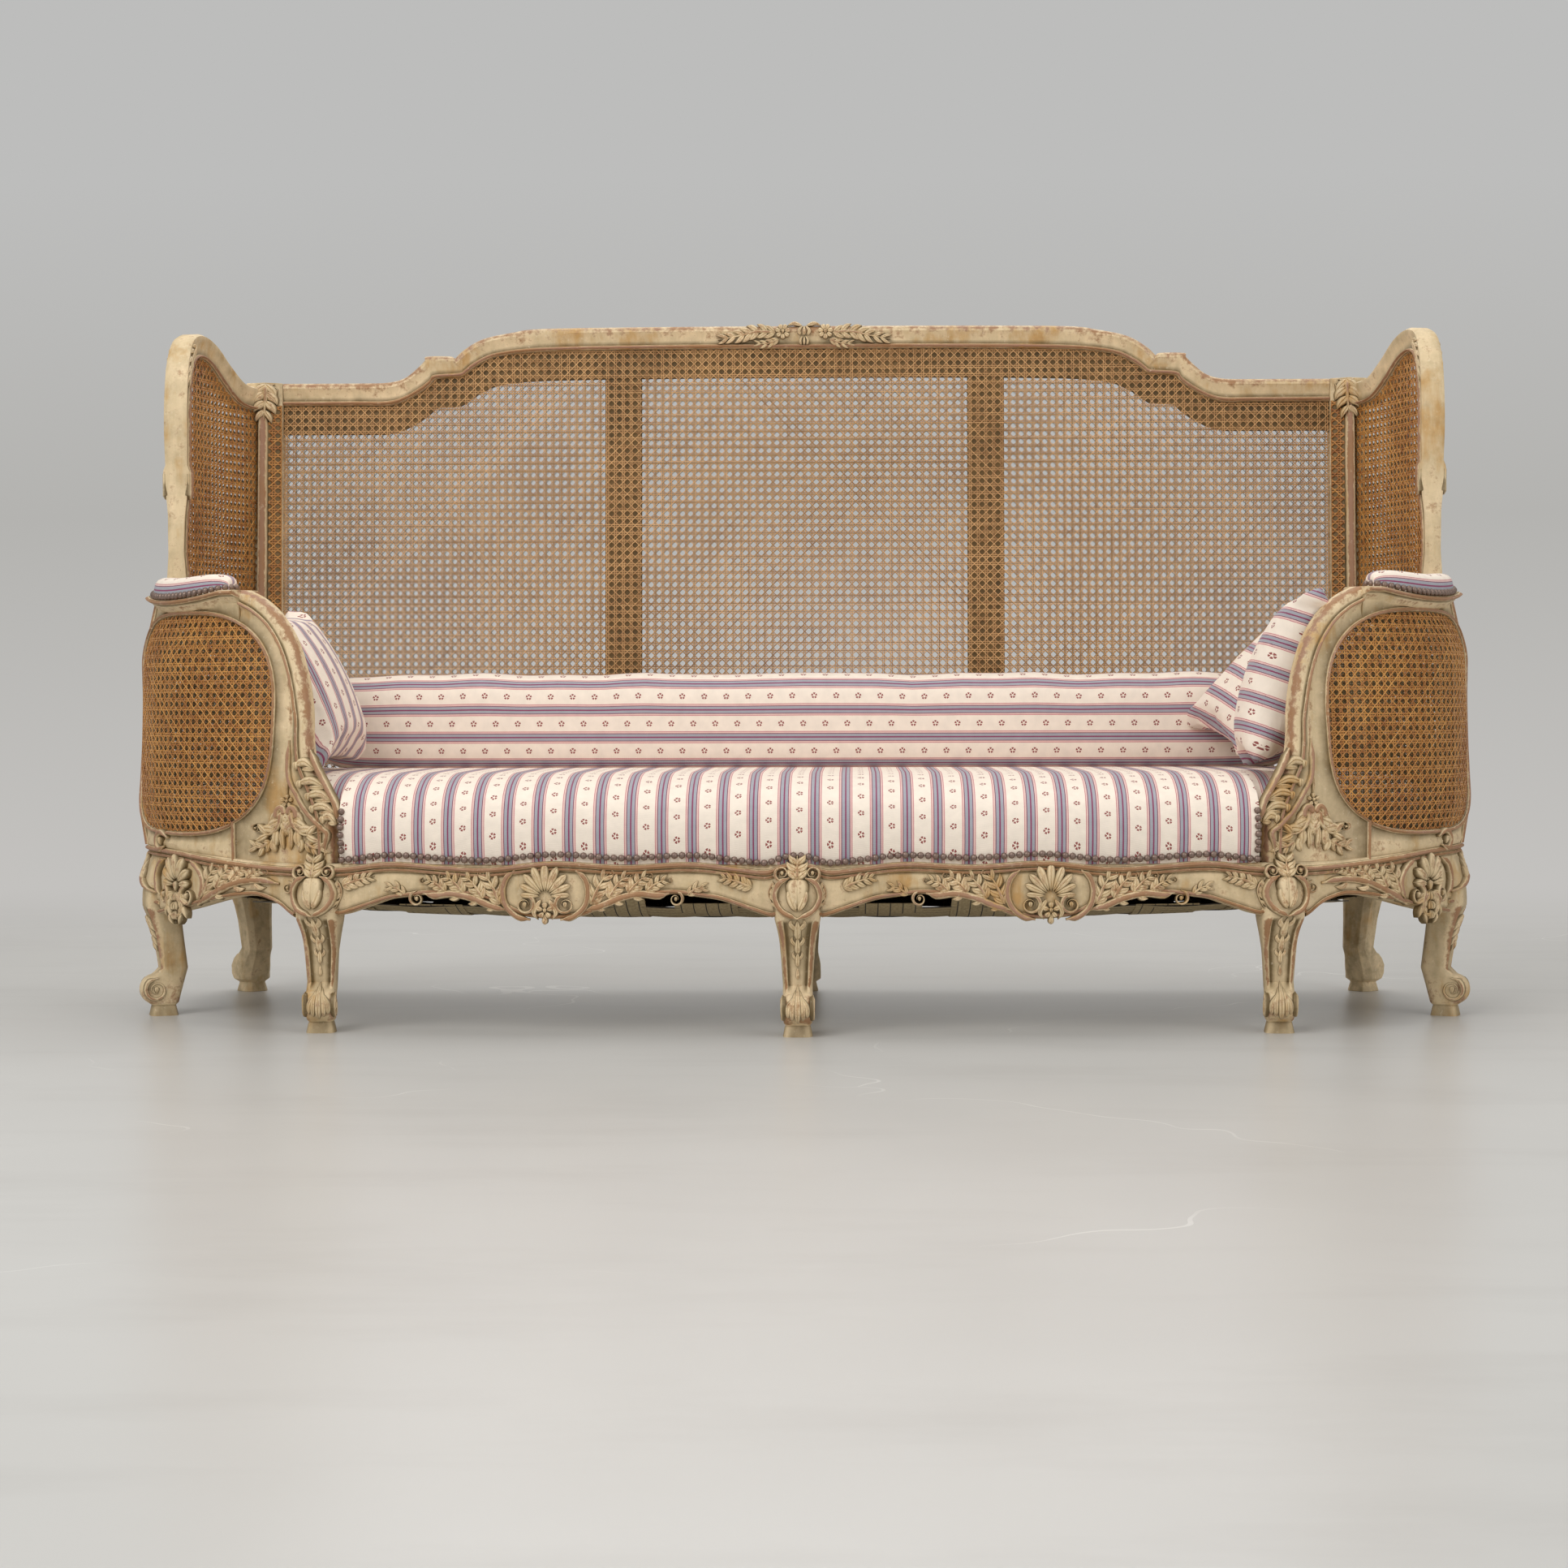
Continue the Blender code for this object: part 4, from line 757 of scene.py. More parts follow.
@dataclass(frozen=True)
class JuteCloth(Finish):
    """Coarse woven jute: dull straw with a darker thread every few millimetres and lost fluff."""

    name: str = "woven_jute"
    light: str = "C6B48C"
    dark: str = "6F5B3C"
    line: str = "3F3A33"

    def make(self) -> Material:
        """Return the webbing's material."""
        material, tree, shader = self.begin()
        cloth = add_node(tree, "Attribute", out="Vector", attribute_name="cloth")
        axes = add_node(tree, "SeparateXYZ", (cloth,))
        # dark marker threads run along each strip, 19 mm apart
        threads = add_node(tree, "Math", (axes, 0.0095), operation="PINGPONG")
        marked = add_node(tree, "Math", (threads, 0.0009), operation="LESS_THAN")
        fluff = add_node(tree, "TexNoise", {"Vector": cloth, "Scale": 240.0, "Detail": 4.0})
        body = add_node(tree, "Mix", {"Factor": fluff, 6: linear(self.dark), 7: linear(self.light)}, 2,
                        data_type="RGBA")
        colour = add_node(tree, "Mix", {"Factor": marked, 6: body, 7: linear(self.line)}, 2, data_type="RGBA")
        bump = add_node(tree, "Bump", {"Height": fluff, "Strength": 0.5, "Distance": 0.001})
        tree.links.new(colour, shader.inputs["Base Color"])
        tree.links.new(bump, shader.inputs["Normal"])
        shader.inputs["Roughness"].default_value = 0.95
        return material


@dataclass(frozen=True)
class SteelWire(Finish):
    """Blued and rust-bloomed spring wire."""

    name: str = "rust_bloomed_spring_wire"
    colour: str = "6C6259"

    def make(self) -> Material:
        """Return the springs' material."""
        material, tree, shader = self.begin()
        place = add_node(tree, "TexCoord", out="Object")
        bloom = add_node(tree, "TexNoise", {"Vector": place, "Scale": 90.0, "Detail": 3.0})
        colour = add_node(tree, "Mix", {"Factor": bloom, 6: linear("4C3B30"), 7: linear(self.colour)}, 2,
                          data_type="RGBA")
        tree.links.new(colour, shader.inputs["Base Color"])
        shader.inputs["Metallic"].default_value = 0.8
        shader.inputs["Roughness"].default_value = 0.5
        return material


@dataclass(frozen=True)
class Finishes:
    """The sofa's materials, made once."""

    paint: Material
    plain_paint: Material
    cane: Material
    back_cane: Material
    old_cane: Material
    lining: Material
    cotton: Material
    bronze: Material
    jute: Material
    steel: Material

    @staticmethod
    def make() -> "Finishes":
        """Return the full set."""
        return Finishes(
            WornPaint().make(), WornPaint("brushed_cream_paint_plain", reads_relief=False).make(),
            # a paler, glossier copy of the cane for the back's front sheet
            SplitCane().make(), SplitCane("sunned_split_rattan", "F0BE80", "96683A", 0.45).make(),
            # darker cane: aged on the back's rear sheet, and painted shade on the hidden arm and wing sheets
            SplitCane("aged_split_rattan", "9A8A5E", "54472E", 0.55).make(),
            WornPaint("stained_lining_boards", "8A6C3E", "6E5731", "7A6036", "4A3B22", "6B5233", "6B5233",
                      "93764A", False).make(),
            StripedCotton().make(), AgedBronze().make(), JuteCloth().make(), SteelWire().make())


@dataclass(frozen=True)
class Moulding:
    """A moulded section: rows of edge share, offset from it, depth, relief and wave share.

    A row's place across the member is its share of the way from the lower to the upper edge plus
    its offset in metres; depth is in metres outwards from the member's middle.
    """

    rows: tuple

    def rings(self, surface: Surface, lower: Array, upper: Array, scale: Array | float = 1.0,
              wave: Array | None = None) -> tuple[Array, Array]:
        """Return the section's rings along a member.

        Args:
            surface: Turns place, height and depth into points.
            lower: Places and heights of the lower edge.
            upper: Places and heights of the upper edge.
            scale: A factor on the depth, for all rings or for each.
            wave: How far the rows with a wave share rise, for each ring.

        Returns:
            The rings' points and their relief.
        """
        share, offset, depth, relief, rise = np.array(self.rows, float).T
        run = upper - lower
        length = np.maximum(np.linalg.norm(run, axis=1), 1e-6)
        across = share[None] + offset[None] / length[:, None]
        spots = lower[:, None] + run[:, None] * across[..., None]
        height = spots[..., 1]
        if wave is not None:
            height = height + wave[:, None] * rise[None]
        scale = np.broadcast_to(np.asarray(scale, float), (len(lower),))
        points = surface(spots[..., 0], height, depth[None] * scale[:, None])
        return points, np.broadcast_to(relief, points.shape[:2])


def bead(start: float, width: float, base: float, swell: float, share: float = 0.0,
         relief: float = 1.0, wave: float = 0.0) -> tuple:
    """Return a half-round bead's rows.

    Args:
        start: Offset of its near edge.
        width: Its width.
        base: Depth at its sides.
        swell: How far its crown stands proud.
        share: The edge it is measured from, 0 for the lower and 1 for the upper.
        relief: The relief on its crown.
        wave: The share of the wave it follows.

    Returns:
        Rows for a moulding.
    """
    rows = []
    for part in (0.0, 0.16, 0.34, 0.5, 0.66, 0.84, 1.0):
        rise = math.sin(math.pi * part)
        rows.append((share, start + width * part, base + swell * rise, 0.05 + (relief - 0.05) * rise ** 0.5, wave))
    return tuple(rows)


# in the sections below, rows with a low relief, in coves and beside beads, are darkened by the paint with dirt and
# painted shade
RAIL_SECTION = Moulding(
    ((0.0, 0.0, -0.022, 0.3, 0.0), (0.0, 0.0, 0.014, 0.6, 0.0))
    + bead(0.0006, 0.007, 0.015, 0.006, 0.0, 1.0)
    + ((0.0, 0.009, 0.015, 0.22, 0.0), (0.0, 0.013, 0.016, 0.42, 0.0), (1.0, -0.019, 0.016, 0.42, 0.7),
       (1.0, -0.0165, 0.0152, 0.2, 0.8))
    + bead(-0.0155, 0.0058, 0.0165, 0.0048, 1.0, 0.9, 1.0)
    + bead(-0.0092, 0.0088, 0.018, 0.007, 1.0, 1.0, 1.0)
    + ((1.0, 0.0, 0.0168, 0.5, 1.0), (1.0, 0.0, 0.015, 0.3, 0.0), (1.0, 0.0, -0.022, 0.3, 0.0)))
POST_SECTION = Moulding(
    ((0.0, 0.0, -0.0136, 0.4, 0.0), (0.0, 0.0, 0.009, 0.5, 0.0))
    + bead(0.0005, 0.0065, 0.0115, 0.0055, 0.0, 1.0)
    + ((0.0, 0.0085, 0.0095, 0.12, 0.0), (0.18, 0.0085, 0.008, 0.35, 0.0), (0.38, 0.004, 0.0088, 0.45, 0.0),
       (0.58, 0.0, 0.013, 0.6, 0.0))
    + bead(-0.0235, 0.006, 0.014, 0.004, 1.0, 1.0)
    + ((1.0, -0.0168, 0.0125, 0.05, 0.0), (1.0, -0.012, 0.0135, 0.5, 0.0), (1.0, -0.005, 0.0125, 0.6, 0.0),
       (1.0, -0.0008, 0.0085, 0.85, 0.0), (1.0, 0.0, 0.004, 0.8, 0.0), (1.0, 0.0, -0.0136, 0.4, 0.0)))
WING_SECTION = Moulding(
    ((0.0, 0.0, -0.0105, 0.5, 0.0), (0.0, 0.0, 0.0105, 0.5, 0.0))
    + bead(0.0006, 0.006, 0.013, 0.006, 0.0, 1.0)
    + ((0.0, 0.0085, 0.0118, 0.15, 0.0), (0.45, 0.0, 0.0128, 0.45, 0.0), (0.75, 0.0, 0.0185, 0.38, 0.0),
       (0.92, 0.0, 0.0188, 0.42, 0.0), (1.0, 0.0, 0.012, 0.45, 0.0), (1.0, 0.0, -0.012, 0.45, 0.0),
       (0.92, 0.0, -0.0188, 0.42, 0.0), (0.75, 0.0, -0.0185, 0.38, 0.0), (0.45, 0.0, -0.0128, 0.45, 0.0),
       (0.0, 0.0085, -0.0118, 0.15, 0.0))
    + tuple((share, offset, -depth, relief, 0.0)
            for share, offset, depth, relief, _ in bead(0.0006, 0.006, 0.013, 0.006)[::-1]))
CREST_SECTION = Moulding(
    ((0.0, 0.0, -0.0144, 0.4, 0.0), (0.0, 0.0, 0.01, 0.5, 0.0))
    + bead(0.0006, 0.0075, 0.012, 0.0065, 0.0, 1.0)
    + ((0.0, 0.0095, 0.0108, 0.1, 0.0), (0.38, 0.0, 0.0112, 0.42, 0.0), (0.62, 0.0, 0.015, 0.48, 0.0),
       (1.0, -0.009, 0.0182, 0.58, 0.0), (1.0, -0.0035, 0.017, 0.72, 0.0), (1.0, 0.0, 0.011, 0.62, 0.0),
       (1.0, 0.0, -0.0108, 0.5, 0.0)))
PLATFORM_SECTION = Moulding(
    ((0.0, 0.0, -0.0136, 0.4, 0.0), (0.0, 0.0, 0.009, 0.5, 0.0))
    + bead(0.0005, 0.0065, 0.0115, 0.0055, 0.0, 1.0)
    + ((0.0, 0.0085, 0.01, 0.12, 0.0), (1.0, -0.02, 0.014, 0.45, 0.0), (1.0, -0.013, 0.023, 0.6, 0.0),
       (1.0, -0.009, 0.026, 0.1, 0.0))
    + bead(-0.0085, 0.008, 0.029, 0.0065, 1.0, 1.0)
    + ((1.0, 0.0, 0.027, 0.5, 0.0), (1.0, 0.0, -0.027, 0.5, 0.0), (1.0, -0.004, -0.035, 0.9, 0.0),
       (1.0, -0.009, -0.03, 0.4, 0.0), (1.0, -0.02, -0.016, 0.4, 0.0)))
FOOT_SECTION = Moulding(
    ((0.0, 0.0, -0.0136, 0.4, 0.0), (0.0, 0.0, 0.009, 0.5, 0.0))
    + bead(0.0005, 0.0065, 0.0115, 0.0055, 0.0, 1.0)
    + ((0.0, 0.0085, 0.0095, 0.12, 0.0), (0.55, 0.0, 0.0105, 0.45, 0.0), (1.0, -0.008, 0.013, 0.5, 0.0),
       (1.0, 0.0, 0.011, 0.4, 0.0), (1.0, 0.0, -0.0136, 0.4, 0.0)))


@dataclass
class SeatFrame:
    """The serpentine rails round the seat and its front, middle and corner scroll feet."""

    paint: Material
    apron: tuple = (
        (0.0, 0.95), (0.05, 0.66), (0.12, 0.24), (0.22, 0.02), (0.32, 0.05), (0.38, 0.4),
        (0.43, 0.88), (0.5, 1.0), (0.57, 0.88), (0.62, 0.4), (0.68, 0.05), (0.78, 0.02),
        (0.88, 0.24), (0.95, 0.66), (1.0, 0.95))
    side_apron: tuple = ((0.0, 0.85), (0.08, 0.3), (0.2, 0.0), (0.34, 0.08), (0.5, 0.3), (0.7, 0.62), (1.0, 1.0))
    rear_apron: tuple = ((0.0, 1.0), (0.3, 0.62), (0.5, 0.3), (0.66, 0.08), (0.8, 0.0), (0.92, -0.12), (1.0, -0.22))
    leg_turn: float = math.radians(-18)
    # height, half width, reach in front of the leg's middle and behind it
    levels: tuple = ((0.176, 0.0345, 0.031, 0.026), (0.15, 0.0287, 0.0202, 0.029), (0.124, 0.0258, 0.013, 0.032),
                     (0.1, 0.0241, 0.0095, 0.035), (0.076, 0.0225, 0.006, 0.038))
    # height and reach of the knee's swell over the head
    knee: tuple = ((0.186, 0.0312), (0.198, 0.0306), (0.212, 0.029), (0.226, 0.0262), (0.24, 0.0225),
                   (0.252, 0.018), (0.258, 0.012))
    knee_base: float = 0.016
    volute_height: float = 0.042
    volute_radius: float = 0.024
    volute_out: float = 0.014
    volute_half: float = 0.0215
    foot_half: float = 0.0225
    neck_half: float = 0.0185
    foot_height: float = 0.016
    corner: float = 3.4
    # share of the half width and how far the face rises there, times the flute's depth
    flute: tuple = ((0.0, 0.0), (0.36, 0.0), (0.5, -0.9), (0.62, -0.9), (0.72, 0.9), (0.86, 1.0), (0.97, 0.2),
                    (1.0, 0.0))
    flute_deep: float = 0.003
    flute_low: float = 0.07
    around: int = 56

    def build(self) -> None:
        """Build the rails and legs on both sides."""
        self._front_rails()
        self._side_rails()
        self._legs()

    def _front_rails(self) -> None:
        """Build the two front rails with waved top beads."""
        start, end = FORM.front_block + FORM.gap, FORM.front_leg - FORM.front_block - FORM.gap
        share = np.linspace(0, 1, 121)
        place = start + (end - start) * share
        drop = np.interp(share, *np.array(self.apron).T)
        drop = np.convolve(np.pad(drop, 2, "edge"), np.ones(5) / 5, "valid")
        lower = np.stack([place, FORM.rail_arch + (FORM.rail_apron - FORM.rail_arch) * drop], 1)
        upper = np.stack([place, np.full_like(place, FORM.rail_top)], 1)
        rings, relief = RAIL_SECTION.rings(FORM.wall, lower, upper, 1.0, FORM.bead_wave(place))
        shell = Shell()
        shell.loft(rings, relief)
        make_pair(shell, "carved_front_rail", self.paint, ["front_rail"])

    def _side_rails(self) -> None:
        """Build the rails that bow round the corners."""
        bays = (("side_front_rail", FORM.front_leg + FORM.front_block, FORM.side_leg - FORM.side_block,
                 self.side_apron),
                ("side_back_rail", FORM.side_leg + FORM.side_block, FORM.rail_end, self.rear_apron))
        for name, first, last, table in bays:
            share = np.linspace(0, 1, 61)
            place = first + FORM.gap + (last - first - 2 * FORM.gap) * share
            drop = np.interp(share, *np.array(table).T)
            drop = np.convolve(np.pad(drop, 2, "edge"), np.ones(5) / 5, "valid")
            lower = np.stack([place, FORM.side_arch + (FORM.side_apron - FORM.side_arch) * drop], 1)
            upper = np.stack([place, FORM.top_of_rail(place)], 1)
            rings, relief = RAIL_SECTION.rings(FORM.wall, lower, upper, 1.0, np.minimum(FORM.bead_wave(place), 0))
            shell = Shell()
            shell.loft(rings, relief)
            make_pair(shell, f"carved_{name}", self.paint, [name])

    def _section(self, half: float, front: float, back: float) -> Array:
        """Return a rounded section as (along, outwards) pairs.

        Args:
            half: Half its width.
            front: How far it reaches to the front.
            back: How far it reaches to the back.

        Returns:
            The pairs, one row each.
        """
        turn = np.linspace(0, math.tau, self.around, endpoint=False)
        wide = power(np.cos(turn), 2 / self.corner)
        deep = power(np.sin(turn), 2 / self.corner)
        return np.stack([half * wide, (front - back) / 2 + (front + back) / 2 * deep], 1)

    def _leg_table(self) -> Array:
        """Return the leg's smooth levels from the knee to the floor."""
        rows = [self.levels[0]] + [tuple(r) for r in smooth_through(self.levels, 5)[1:]]
        base = self.volute_height - self.volute_radius
        ankle = self.levels[-1]
        for angle in np.linspace(78, -62, 15):
            rise, swell = math.sin(math.radians(angle)), math.cos(math.radians(angle))
            height = self.volute_height + self.volute_radius * rise
            tuck = (height - base) / (ankle[0] - base)
            rows.append((height, self.volute_half - (self.volute_half - ankle[1]) * max(rise, 0),
                         self.volute_out + self.volute_radius * swell,
                         self.foot_half + (ankle[3] - self.foot_half) * tuck))
        rows += [(self.foot_height, self.neck_half, self.neck_half, self.neck_half),
                 (self.foot_height - 0.002, self.foot_half - 0.003, self.foot_half - 0.003, self.foot_half - 0.003),
                 (0.0, self.foot_half, self.foot_half, self.foot_half)]
        return np.array(rows)

    def _rings(self, origin: Array, normal: Array, turn: float) -> tuple[list, list]:
        """Return a leg's rings below its block, turned towards its foot.

        Args:
            origin: The leg's middle in plan.
            normal: The way out of the wall there.
            turn: How far the leg is turned, in radians.

        Returns:
            The rings and the value of relief on each.
        """
        along = np.array([-normal[1], normal[0]])
        rings, relief = [], []
        knee, shin = self.levels[0][0], self.levels[2][0]
        for height, half, front, back in self._leg_table():
            part = min(max((knee - height) / (knee - shin), 0), 1) * turn
            spin = np.array([[math.cos(part), -math.sin(part)], [math.sin(part), math.cos(part)]])
            section, fluted = self._section(half, front, back), np.zeros(self.around)
            if self.flute_low < height < knee:
                share = np.abs(section[:, 0]) / half
                fluted = np.interp(share, *np.array(self.flute).T) * (section[:, 1] > front * 0.2)
                section = section + np.stack([0 * fluted, fluted * self.flute_deep], 1)
            flat = (section[:, :1] * along + section[:, 1:] * normal) @ spin.T
            rings.append(np.column_stack([flat + origin, np.full(len(flat), height)]))
            edge = np.abs(section / np.array([half, max(front, back)])).min(1)
            worn = -0.14 if height < self.foot_height + 0.001 else 0.35 * max(0.0, 1 - height / 0.08)
            # a flute's hollow gets a lower relief, which the paint darkens with dirt and painted shade
            relief.append(np.clip(0.33 + 0.45 * np.clip(edge - 0.45, 0, 1) + worn + fluted * 0.45, 0, 1.3))
        return rings, relief

    def _block(self, shell: Shell, place: float, half: float) -> None:
        """Add a leg's head, which carries the rails' mouldings on between them.

        Args:
            shell: The shell that takes the new bodies.
            place: Length along the plan from the middle of the front.
            half: Half the head's width.
        """
        spots = np.linspace(place - half, place + half, 17)
        lower = np.stack([spots, np.full(17, self.levels[0][0] + 0.004)], 1)
        upper = np.stack([spots, FORM.top_of_rail(spots)], 1)
        rings, relief = RAIL_SECTION.rings(FORM.wall, lower, upper, 1.0, FORM.bead_wave(spots))
        shell.loft(rings, relief)

    def _heading(self, place: float, turn: float, height: Array) -> tuple[Array, Array, Array]:
        """Return a leg's middle and, at each height, the way it faces and the way across it.

        Args:
            place: Length along the plan from the middle of the front.
            turn: How far the leg is turned, in radians.
            height: Heights above the floor.

        Returns:
            The middles, the ways ahead and the ways across.
        """
        origin = FORM.wall(place, 0.1, 0.0)[:2]
        normal = (FORM.wall(place, 0.1, 1.0) - FORM.wall(place, 0.1, 0.0))[:2]
        knee, shin = self.levels[0][0], self.levels[2][0]
        angle = np.clip((knee - height) / (knee - shin), 0, 1) * turn
        cosine, sine = np.cos(angle), np.sin(angle)
        ahead = np.stack([cosine * normal[0] - sine * normal[1], sine * normal[0] + cosine * normal[1]], -1)
        return origin, ahead, np.stack([-ahead[..., 1], ahead[..., 0]], -1)

    def leg_face(self, place: float, turn: float) -> Surface:
        """Return the surface of a leg's front, in distances across it and heights.

        Args:
            place: Length along the plan from the middle of the front.
            turn: How far the leg is turned, in radians.

        Returns:
            The surface.
        """
        table = self._leg_table()[::-1]

        def face(across: Array, height: Array, depth: Array) -> Array:
            """Return points on the front by distance across, height and depth."""
            across, height, depth = np.broadcast_arrays(across, height, depth)
            origin, ahead, along = self._heading(place, turn, height)
            half = np.interp(height, table[:, 0], table[:, 1])
            front = np.interp(height, table[:, 0], table[:, 2])
            drop = np.clip(np.abs(across / half), 0, 1) ** self.corner
            reach = front * (1 - drop) ** (1 / self.corner) + depth
            return np.concatenate([origin + ahead * reach[..., None] + along * across[..., None], height[..., None]],
                                  -1)
        return face

    def leg_flank(self, place: float, turn: float, sign: int) -> Surface:
        """Return the surface of a leg's side, in distances in front of its middle and heights.

        Args:
            place: Length along the plan from the middle of the front.
            turn: How far the leg is turned, in radians.
            sign: Which of its two sides.

        Returns:
            The surface.
        """
        table = self._leg_table()[::-1]

        def flank(ahead_by: Array, height: Array, depth: Array) -> Array:
            """Return points on the side by distance ahead, height and depth."""
            ahead_by, height, depth = np.broadcast_arrays(ahead_by, height, depth)
            origin, ahead, along = self._heading(place, turn, height)
            half = np.interp(self.volute_height, table[:, 0], table[:, 1])
            return np.concatenate([origin + ahead * ahead_by[..., None]
                                   + along * (sign * (half + depth))[..., None], height[..., None]], -1)
        return flank

    def _legs(self) -> None:
        """Build the front, corner and middle legs."""
        for name, place, half, turn in (("front_leg", FORM.front_leg, FORM.front_block, self.leg_turn),
                                        ("side_leg", FORM.side_leg, FORM.side_block, 0.0)):
            shell = Shell()
            self._block(shell, place, half)
            self._shaft(shell, place, turn)
            make_pair(shell, f"carved_{name}", self.paint, [name])
        shell = Shell()
        self._block(shell, 0.0, FORM.front_block)
        self._shaft(shell, 0.0, 0.0)
        settle(shell.make("carved_front_leg_centre", self.paint), replaces=["front_leg_centre"])

    def _shaft(self, shell: Shell, place: float, turn: float) -> None:
        """Add a leg's shaft and foot below its head.

        Args:
            shell: The shell that takes the new bodies.
            place: Length along the plan from the middle of the front.
            turn: How far the leg is turned, in radians.
        """
        origin, normal, along = self._heading(place, 0.0, np.array(0.0))
        rings, relief = self._rings(origin, normal, turn)
        heads = []
        for height, front in self.knee[::-1]:
            section = self._section(self.levels[0][1], front, self.levels[0][3])
            flat = section[:, :1] * along + section[:, 1:] * normal + origin
            heads.append(np.column_stack([flat, np.full(len(flat), height)]))
        shell.loft(np.array(heads + rings), np.array([relief[0]] * len(heads) + relief))

    def knee_face(self, place: float) -> Surface:
        """Return the wall's surface with the swell of a leg's knee on it.

        Args:
            place: Length along the plan from the middle of the front.

        Returns:
            The surface.
        """
        rows = np.array([(row[0], row[2]) for row in self.levels[::-1]] + list(self.knee))

        def face(along: Array, height: Array, depth: Array) -> Array:
            """Return points on the knee by place, height and depth."""
            front = np.interp(height, rows[:, 0], rows[:, 1])
            side = np.clip(1 - (np.abs(along - place) / (self.levels[0][1] * 1.12)) ** 4, 0, 1)
            return FORM.wall(along, height, depth + np.maximum(front - self.knee_base, 0) * side)
        return face


def make_pair(shell: Shell, name: str, material: Material, nodes: Sequence[str] = ()) -> list[Piece]:
    """Make a right-hand piece and its mirror image.

    Args:
        shell: The right-hand piece's bodies.
        name: The pieces' common name.
        material: Their finish.
        nodes: The CAD nodes they stand for, without their side.

    Returns:
        The right and the left piece.
    """
    return [settle(body.make(f"{name}_{side.word}", material),
                   replaces=[f"{node}_{side.word}" for node in nodes])
            for side, body in ((Side.RIGHT, shell), (Side.LEFT, shell.mirror()))]


@dataclass
class ArmFrames:
    """The moulded members round each arm's oval: front post, top, bottom and rear post."""

    paint: Material
    # place share of the post's width before the oval, rise share from the rail to the arm's top
    post: tuple = ((1.7, 0.0), (1.66, 0.15), (1.42, 0.265), (1.12, 0.37), (1.02, 0.46), (0.98, 0.565), (0.8, 0.69),
                   (0.48, 0.81), (0.0, 0.905), (-0.55, 0.965), (-1.12, 1.0))
    steps: int = 56

    def build(self) -> None:
        """Build the four members on both sides."""
        joint, gap = FORM.oval_joint, FORM.gap
        turns = np.linspace(math.pi + joint, math.pi - joint, self.steps)
        inner = FORM.oval(turns)
        inner = np.vstack([(inner[0, 0], FORM.rail_top + gap), inner])
        foot = FORM.rail_top + gap
        edge = FORM.oval_centre - FORM.oval_half
        outer = even_spread([(edge - FORM.post_width * across, foot + (FORM.arm_top - foot) * rise)
                             for across, rise in self.post], len(inner))
        outer[-1] = (inner[-1, 0], FORM.top_of_arm(inner[-1, 0]))
        self._member("arm_front_post", POST_SECTION, inner, outer)

        upper = self._drawn_in(FORM.oval(np.linspace(math.pi - joint, joint, 40)))
        self._member("arm_top_rail", PLATFORM_SECTION, upper,
                     np.stack([upper[:, 0], FORM.top_of_arm(upper[:, 0])], 1))
        lower = self._drawn_in(FORM.oval(np.linspace(math.pi + joint, 2 * math.pi - joint, 40)))
        self._member("arm_bottom_rail", FOOT_SECTION, lower,
                     np.stack([lower[:, 0], FORM.top_of_rail(lower[:, 0]) + gap], 1))
        inner = FORM.oval(np.linspace(2 * math.pi - joint, 2 * math.pi + joint, self.steps))
        inner = np.vstack([(inner[0, 0], float(FORM.top_of_rail(inner[0, 0])) + gap), inner,
                           (inner[-1, 0], FORM.arm_top)])
        rear = FORM.wing_post + FORM.wing_width / 2
        self._member("arm_rear_post", FOOT_SECTION, inner, np.stack([np.full(len(inner), rear), inner[:, 1]], 1))

    def _drawn_in(self, run: Array) -> Array:
        """Shorten a run of points by a gap at both ends.

        Args:
            run: The points.

        Returns:
            The points with their ends moved inwards.
        """
        run[0, 0] += FORM.gap
        run[-1, 0] -= FORM.gap
        return run

    def _member(self, name: str, section: Moulding, lower: Array, upper: Array) -> None:
        """Sweep a section between two edges on both sides.

        Args:
            name: The member's name.
            section: Its moulding.
            lower: One edge of it.
            upper: The other edge.
        """
        rings, relief = section.rings(FORM.arm_wall, lower, upper)
        shell = Shell()
        shell.loft(rings, relief)
        make_pair(shell, f"moulded_{name}", self.paint, [name])


